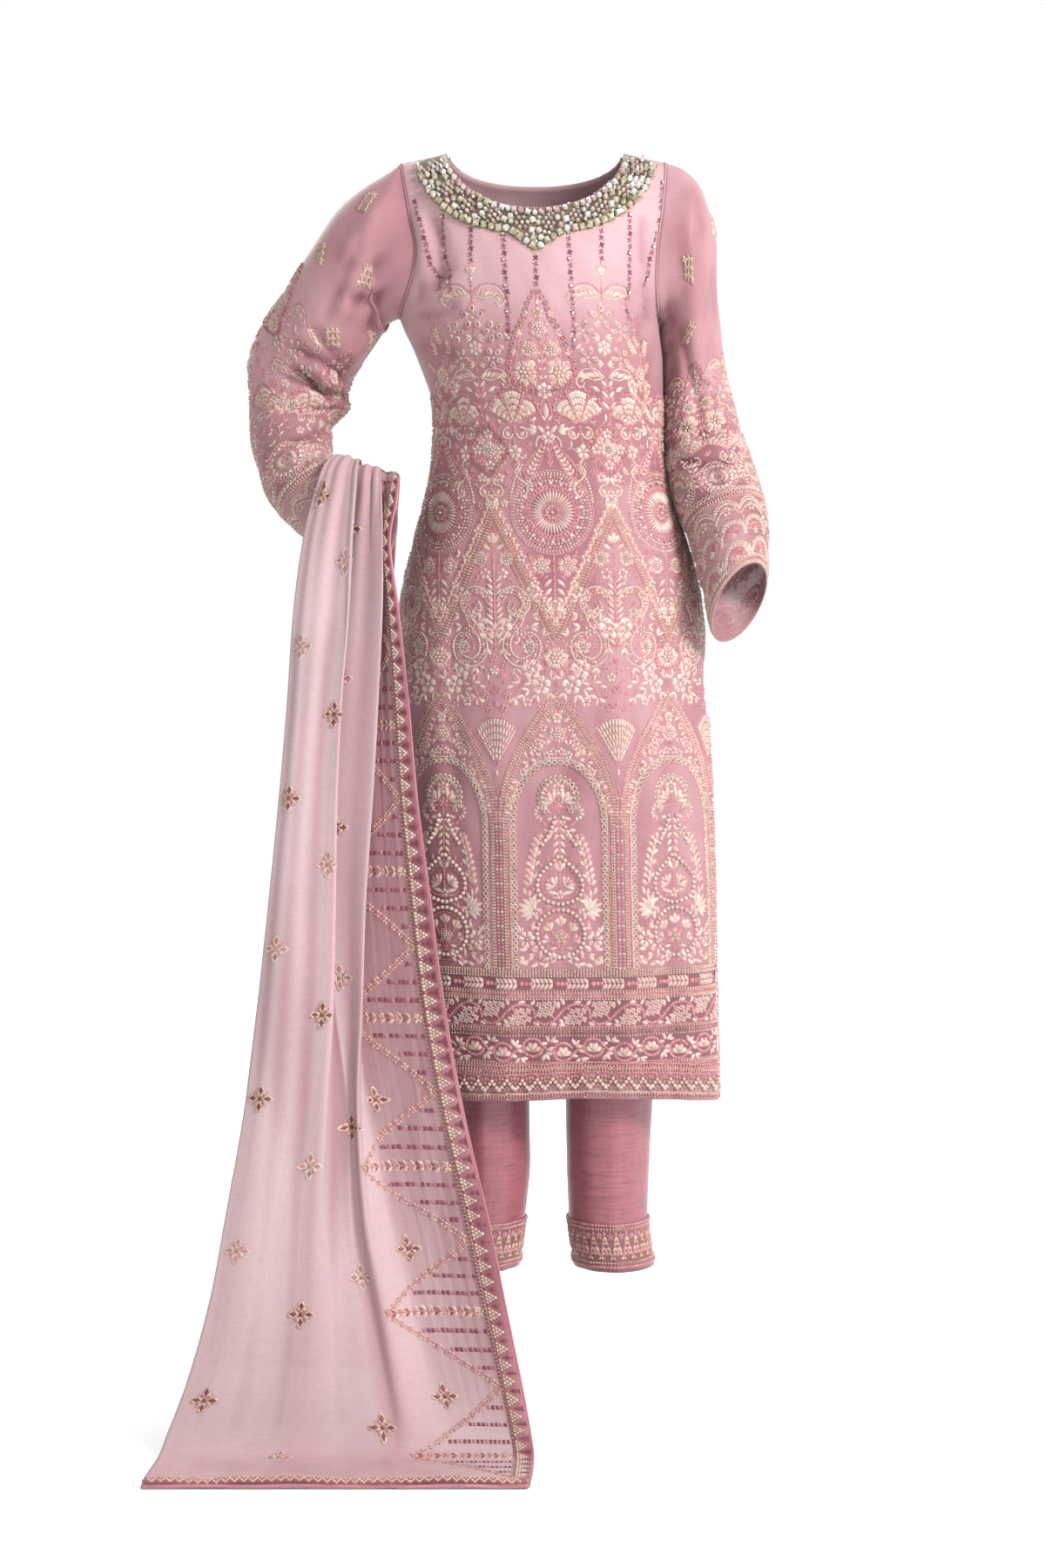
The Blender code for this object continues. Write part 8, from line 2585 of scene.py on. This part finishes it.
def u_of_x(x, z, facing=-1):
    x, z = np.broadcast_arrays(np.asarray(x, float), np.asarray(z, float))
    low, high = np.full(x.shape, -1.0), np.full(x.shape, 1.0)
    for _ in range(40):
        mid = (low + high) / 2
        under = body_points(mid, z, facing)[..., 0] < x
        low, high = np.where(under, mid, low), np.where(under, high, mid)
    return (low + high) / 2


def yoke_outer(t):
    a = np.abs(t)
    x = np.sign(t) * 0.1345 * np.sin(a * PI / 2)
    z = -0.0935 * np.maximum(0.0, 1 - (np.abs(x) / 0.1352) ** 2.6) ** (1 / 1.9)
    point = 0.0215 * np.maximum(0.0, 1 - np.abs(x) / 0.031)
    return x, np.minimum(z - point, shoulder_z(x) - 0.0004)


def neck_inner(t, drop):
    x = np.sign(t) * (NECK_HALF + 0.0002) * np.sin(np.abs(t) * PI / 2) - 0.0005
    return x, np.minimum(neckline_z(x, drop), shoulder_z(x) - 0.0004)


def panel_shell(name, surface, facing):
    u = np.linspace(-1, 1, 81 if facing < 0 else 61)
    top = panel_top(u, facing)
    shares = np.linspace(0, 1, 16 if facing < 0 else 12) ** 1.2
    upper = top[None, :] + (-0.125 - top[None, :]) * shares[:, None]
    t = np.linspace(0, 1, 113 if facing < 0 else 89)[1:, None]
    lower = -0.125 + (hem_z(u)[None, :] + 0.125) * t
    z = np.concatenate([upper, lower])
    p, n = surface.at(u[None, :], z)
    p[:, 0, 0] += SEAM_GAP
    p[:, -1, 0] -= SEAM_GAP
    # painted shade: darker where the cloth turns away under the arms, and on the front beside the dupatta, where its
    # shadow falls
    x, zz = p[..., 0], p[..., 2]
    painted_shade = 0.26 * step(0.080, 0.128, np.abs(x)) * step(-0.06, -0.12, zz) * step(-0.60, -0.40, zz)
    if facing < 0:
        painted_shade = painted_shade + 0.30 * step(-0.055, -0.130, x) * step(-0.55, -0.72, zz)
    return shell(name, p, n, CLOTH, M["kameez"], painted_shade=painted_shade)


def hem_band(name, surface):
    u = np.linspace(-0.998, 0.998, 101)
    z = hem_z(u)[None, :] + 0.034 * (1 - np.linspace(0, 1, 8)[:, None]) + 0.0002
    p, n = surface.at(u[None, :], z)
    return shell(name, p + n * 0.0007, n, 0.0006, M["hem_band"])


def sleeve_shell(side, surface, start, end, steps, name, mat, lift=0.0):
    u = np.linspace(0, 2 * PI, 73)[:-1]
    v = np.linspace(start, end, steps)
    p, n = surface.at(u[None, :], v[:, None])
    return shell(name, p + n * lift, n, CLOTH, mat, around=True)


def trouser_shell(name, surface):
    u = np.linspace(0, 1, 27)
    z = np.linspace(-0.4025, -1.2715, 50)
    p, n = surface.at(u[None, :], z[:, None])
    return shell(name, p, n, 0.0014, M["raw_silk"])


def trouser_ring(side, surfaces, top, low, rows, lift):
    share = np.linspace(0, 1, 27)
    z = np.linspace(top, low, rows)
    front, fn = surfaces[side, -1].at(share[None, :], z[:, None])
    back, bn = surfaces[side, 1].at(share[None, ::-1], z[:, None])
    p = np.concatenate([front, back[:, 1:-1]], 1)
    n = np.concatenate([fn, bn[:, 1:-1]], 1)
    for k in (0, 26):
        n[:, k] = (0, 0, 0)
        n[:, k, 0] = side if k == 0 else -side
        p[:, k, 1] = 0
    return p + n * lift, n


def dupatta_shell(surface):
    u = np.concatenate([np.linspace(0, 2.0, 22), np.linspace(2.0, 7.0, 60)[1:], np.linspace(7.0, 9.0, 34)[1:]])
    v = np.concatenate([np.linspace(-1.060, -0.12, 22), np.linspace(-0.12, 0.16, 40)[1:], np.linspace(0.16, 1.10, 50)[1:], np.linspace(1.10, 1.270, 24)[1:]])
    p, n = surface.at(u[None, :], v[:, None])
    gap = 0.0020 + 0.0002 * np.sin(u[None, :] * 2.1 + v[:, None] * 5)
    lowest = FLOOR_Z + 0.0003
    obj = shell("dupatta", p, n, gap, M["chiffon"])
    co = np.zeros(len(obj.data.vertices) * 3)
    obj.data.vertices.foreach_get("co", co)
    co = co.reshape(-1, 3)
    co[:, 2] = np.maximum(co[:, 2], lowest)
    obj.data.vertices.foreach_set("co", co.reshape(-1))
    obj.data.update()
    tint = obj.data.attributes.new("tint", "FLOAT", "POINT")
    tint.data.foreach_set("value", np.tile(dupatta_tint(u, v).reshape(-1), 2).astype(np.float32))
    return obj


def dupatta_tint(u, v):
    """How many layers of cloth show at each place: 0 one, 1 two or more; lowered where shade is painted in the hollow
    between the folds and along the turned edges.
    """
    A, L = np.broadcast_arrays(u[None, :], v[:, None])

    def hump(middle, half):
        return np.exp(-(((A - middle) / half) ** 2))

    value = 0.41 + 0.05 * np.sin(A * 1.3 + 2.2 * L) + 0.14 * step(0.62, 0.95, L) + 0.10 * step(4.2, 5.0, A)
    value = value + 0.34 * hump(2.75, 0.40) * step(0.10, 0.30, L) * (1 - 0.5 * step(0.85, 1.05, L))   # the pink ridge beside the first fold
    value = value + 0.22 * hump(5.35, 0.70) * step(0.10, 0.30, L) * (1 - 0.4 * step(0.85, 1.05, L))
    value = value - 0.26 * hump(3.70, 0.40) * step(0.20, 0.45, L) * (1 - 0.8 * step(0.75, 0.98, L))  # painted shade in the hollow between the folds
    value = value - 0.22 * (hump(3.02, 0.16) + hump(6.0, 0.18)) * step(0.10, 0.25, L) * (1 - step(0.85, 1.05, L))  # painted shade along the turned edges
    under = step(6.3, 7.0, A) * step(-0.02, 0.06, L) * (1 - (0.55 - 0.30 * step(7.2, 8.6, A)) * step(0.45, 0.80, L)) * (1 - 0.5 * step(1.0, 1.14, L))
    value = value * (1 - under) + 0.10 * under                          # the bordered side over the dark ground
    value = value + 0.30 * (1 - step(0.02, 0.26, np.abs(L))) * (A < 6.3)
    value = value + 0.24 * step(1.10, 1.19, L) * step(0.0, 2.5, 8.4 - A)
    value = value + 0.06 * np.sin(A * 9.0 + 1.5 * np.sin(L * 4.0)) * step(0.15, 0.3, L) * step(0, 0.5, 6.5 - A)
    return np.clip(value, 0.0, 1.0)


def reference_across():
    """Distance from the bordered edge, along the cloth where it is spread widest, against across."""
    u = np.linspace(0, 9, 400)
    p = dupatta_points(u, np.array([1.0]))[0]
    run = np.concatenate([[0], np.cumsum(np.linalg.norm(np.diff(p, axis=0), axis=1))])
    return u, run - run[-1]


def dupatta_chart(surface):
    u, run = reference_across()
    a = np.linspace(run[0], 0, 460)
    b = np.linspace(-1.060, 1.270, 1400)
    across = np.interp(a, run, u)
    p, n = surface.at(across[None, :], b[:, None])
    return Chart(a, -b, p, n, np.ones(p.shape[:2], bool))


def dupatta_edges(chart):
    """The bordered edge: a strip over both faces of the cloth, with a piped edge; and piping on both ends."""
    b = np.linspace(-1.268, 1.058, 620)
    a = np.array((-BORDER_STRIP, -0.0165, -0.0085, -0.0006))
    p, n, _ = chart.at(*np.broadcast_arrays(a[None, :], b[:, None]))
    strip = finish_piece(shell("dupatta_border_strip", p + n * 0.0007, n, 0.0034, M["chiffon_strip"]), ["dupatta_border"])
    p, n, _ = chart.at(np.full(len(b), -0.0004), b)
    edge_dir = unit(chart.at(np.full(len(b), -0.0004), b)[0] - chart.at(np.full(len(b), -0.0060), b)[0])
    line = p + edge_dir * 0.0004 - n * 0.0010
    line[:, 2] = np.maximum(line[:, 2], FLOOR_Z + 0.0019)
    piping = tube("dupatta_edge_piping", line, 0.0014, M["pink"])
    pieces = [strip, piping]
    for k, end in enumerate((-1.2695, 1.0595)):
        across = np.linspace(-0.3560, -0.0010, 150)
        for j, (shift, up) in enumerate(((0.0, 0.0), (0.0016 if end < 0 else -0.0056, 0.0))):
            p, n, _ = chart.at(across, np.full(len(across), end + shift))
            line = p + n * (0.0008 if j else 0.0)
            line[:, 2] = np.maximum(line[:, 2], FLOOR_Z + 0.0027)
            if end < 0 and j:  # the turned-up end lies on itself
                line[:, 2] += 0.0042
            cord = tube(f"dupatta_end_piping_{k}{j}", line + n * 0.0006, 0.0024, M["pink"])
            pieces.append(cord)
    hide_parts("dupatta_end_trim")
    line, front = end_line(chart)
    angle = np.linspace(-0.5, 3.3, 11)[:, None, None]
    up = np.array((0.0, 0.0, 1.0))
    n = np.cos(angle) * front[None] + np.sin(angle) * up
    roll = shell("dupatta_end_roll", line[None] + n * ROLL, n, 0.0008, M["chiffon_strip"])
    pieces.append(roll)
    work = Work("dupatta_end_work", end_chart(chart))
    pen = Pen()
    a = work.chart.a
    x = np.arange(a[0] + 0.003, a[-1] - 0.002, 0.0050)
    pen.cord(GOLD, np.stack([x, 0.0058 + 0.0024 * (-1.0) ** np.arange(len(x))], 1), 0.0021, 0.0034, 0.0012, smooth_path=False)
    for k in range(len(x) - 1):
        pen.bead(CREAM if k % 2 else BURG, x[k], 0.0058 - 0.0022 * (-1.0) ** k, 0.0022)
    pen.cord(GOLD, [(a[0] + 0.002, 0.0098), (a[-1] - 0.002, 0.0098)], 0.0014, 0.0036, 0.0009, smooth_path=False)
    work.add(pen.array())
    return pieces + work.build()


ROLL = 0.0050


def end_line(chart):
    """The middle of the rolled hem at the floor end, and the way it faces."""
    across = np.linspace(-0.3540, -0.0030, 130)
    line = chart.at(across, np.full(len(across), -1.2660))[0].copy()
    front = line - chart.at(across, np.full(len(across), -1.2560))[0]
    front[:, 2] = 0
    front = unit(front)
    wave = 0.0010 * np.sin(across * 47.0) + 0.0006 * np.sin(across * 113.0 + 1.0)
    line[:, 2] = FLOOR_Z + 0.0085 + wave
    return line, front


def end_chart(chart):
    """A chart over the front of the rolled hem: a along it, b round it from the foot."""
    line, front = end_line(chart)
    run = np.concatenate([[0], np.cumsum(np.linalg.norm(np.diff(line, axis=0), axis=1))])
    b = np.linspace(0, 0.0125, 16)
    angle = (b / ROLL - 0.55)[:, None, None]
    n = np.cos(angle) * front[None] + np.sin(angle) * np.array((0.0, 0.0, 1.0))
    p = line[None] + n * ROLL
    a = np.linspace(0, run[-1], 300)
    k = np.interp(a, run, np.arange(len(run)))
    low = np.clip(k.astype(int), 0, len(run) - 2)
    w = (k - low)[None, :, None]
    p = p[:, low] * (1 - w) + p[:, low + 1] * w
    n = unit(n[:, low] * (1 - w) + n[:, low + 1] * w)
    return Chart(a, b, p, n, np.ones(p.shape[:2], bool))


def armhole_seams():
    """A narrow stitched seam where each sleeve meets the body."""
    made = {}
    for side, word in ((-1, "right"), (1, "left")):
        angle = np.linspace(0.04, 2 * PI - 0.04, 160)
        p = armhole_loop(side, angle)
        p[:, 0] -= side * 1.3 * SEAM_GAP
        out = np.stack([np.zeros(len(angle)), -np.sign(np.sin(angle)), np.zeros(len(angle))], 1)
        seam = tube(f"armhole_seam_{word}", p + out * 0.0003, 0.0013, M["sleeve"])
        made[word] = seam
    return made


def build():
    materials()
    # cloth
    body = {-1: panel_surface(-1), 1: panel_surface(1)}
    front = finish_piece(panel_shell("kameez_front_cloth", body[-1], -1), ["kameez_front"])
    back = finish_piece(panel_shell("kameez_back_cloth", body[1], 1), ["kameez_back"])
    bands = [finish_piece(hem_band("front_hem_band_cloth", body[-1]), ["front_hem_band"]),
             finish_piece(hem_band("back_hem_band_cloth", body[1]), ["back_hem_band"])]
    t = np.linspace(-1, 1, 61)
    w = np.linspace(0, 1, 8)[:, None]
    (xi, zi), (xo, zo) = neck_inner(t, NECK_DROP_FRONT), yoke_outer(t)
    x, z = xi + (xo - xi) * w, zi + (zo - zi) * w
    p, n = body[-1].at(u_of_x(x, z), z)
    yoke = finish_piece(shell("neck_yoke_base", p + n * 0.0012, n, 0.0009, M["setting"]), ["neck_yoke"])

    sleeves, sleeve_objs = {}, {}
    for side, word in ((-1, "right"), (1, "left")):
        sleeves[side] = sleeve_surface(side)
        sleeve_objs[side] = finish_piece(sleeve_shell(side, sleeves[side], 0, CUFF_START[side], 92, f"sleeve_{word}_cloth", M["sleeve"]), [f"sleeve_{word}"])
        cuff = finish_piece(sleeve_shell(side, sleeves[side], CUFF_START[side] + 0.003, 1, 26, f"sleeve_{word}_cuff_cloth", M["cuff"]), [f"sleeve_{word}_cuff"])
        sleeve_objs[side, "cuff"] = cuff

    trousers, surfaces = {}, {}
    for side, word in ((-1, "right"), (1, "left")):
        for facing, where in ((-1, "front"), (1, "back")):
            surfaces[side, facing] = trouser_surface(side, facing)
            trousers[side, facing] = finish_piece(trouser_shell(f"trouser_{where}_{word}_cloth", surfaces[side, facing]), [f"trouser_{where}_{word}"])
        p, n = trouser_ring(side, surfaces, TROUSER_CUFF_Z, -1.2715, 10, 0.0012)
        trousers[side, "cuff"] = finish_piece(shell(f"trouser_cuff_{word}_cloth", p, n, 0.0009, M["trouser_cuff"], around=True), [f"trouser_cuff_{word}"])

    drape = dupatta_surface()
    dupatta = finish_piece(dupatta_shell(drape), ["dupatta_back_fall", "dupatta_over_arm", "dupatta_front_fall", "dupatta_floor_end"])

    for node, mat in (("neck_binding", "burgundy"), ("trouser_waistband", "raw_silk")):
        mesh = frame["nodes"][node].data
        for k in range(len(mesh.materials)):
            mesh.materials[k] = M[mat]
        if not mesh.materials:
            mesh.materials.append(M[mat])

    charts = {
        "front": panel_chart(body[-1], -1), "yoke": panel_chart(body[-1], -1, -0.0030), "back": panel_chart(body[1], 1),
        "right": sleeve_chart(sleeves[-1], -1), "left": sleeve_chart(sleeves[1], 1),
        "dupatta": dupatta_chart(drape),
    }
    done = stitching(charts, surfaces, body)
    done["dupatta"] += dupatta_edges(charts["dupatta"])
    for word, seam in armhole_seams().items():
        done[word].append(seam)


def setting():
    """Floor, lights and the camera."""
    mesh = bpy.data.meshes.new("floor")
    mesh.from_pydata([(-30, -30, FLOOR_Z), (30, -30, FLOOR_Z), (30, 30, FLOOR_Z), (-30, 30, FLOOR_Z)], [], [(0, 1, 2, 3)])
    floor = bpy.data.objects.new("floor", mesh)
    bpy.context.scene.collection.objects.link(floor)
    m = Mat("floor_paint")
    speck = m.noise(m.coords("Object", (1, 1, 1)), 0.7, 1.0)
    m.put(Base_Color=m.ramp(speck, ((0.3, (0.994, 0.994, 0.994, 1)), (0.7, (1.0, 1.0, 1.0, 1)))), Roughness=0.9, Specular_IOR_Level=0.1)
    mesh.materials.append(m.mat)
    world = bpy.data.worlds.new("studio")
    world.use_nodes = True
    world.node_tree.nodes["Background"].inputs["Color"].default_value = (1, 1, 1, 1)
    world.node_tree.nodes["Background"].inputs["Strength"].default_value = 1.02
    bpy.context.scene.world = world

    def area(name, place, aim, size, power):
        light = bpy.data.lights.new(name, "AREA")
        light.shape, light.size, light.energy = "DISK", size, power
        obj = bpy.data.objects.new(name, light)
        bpy.context.scene.collection.objects.link(obj)
        from mathutils import Vector

        obj.location = place
        obj.rotation_euler = (Vector(aim) - Vector(place)).to_track_quat("-Z", "Y").to_euler()

    area("key", (2.56, -2.55, 1.3), (0, 0, -0.55), 1.3, 244)
    area("back_light", (-1.8, 3.0, 1.4), (0, 0, -0.6), 1.6, 40)
    camera = bpy.data.cameras.new("camera")
    camera.sensor_fit, camera.sensor_width, camera.lens = "AUTO", 36.0, 80.0
    obj = bpy.data.objects.new("camera", camera)
    obj.location = (-0.015, -4.0, -0.45)
    obj.rotation_euler = (PI / 2 - math.atan(265 / 4000), 0, 0)
    bpy.context.scene.collection.objects.link(obj)
    bpy.context.scene.camera = obj
    bpy.context.scene.view_settings.view_transform = "Standard"


for old in list(bpy.data.objects):
    if old.type == "MESH" and "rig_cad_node" not in old or old.type in ("LIGHT", "CAMERA"):
        bpy.data.objects.remove(old)
build()
setting()
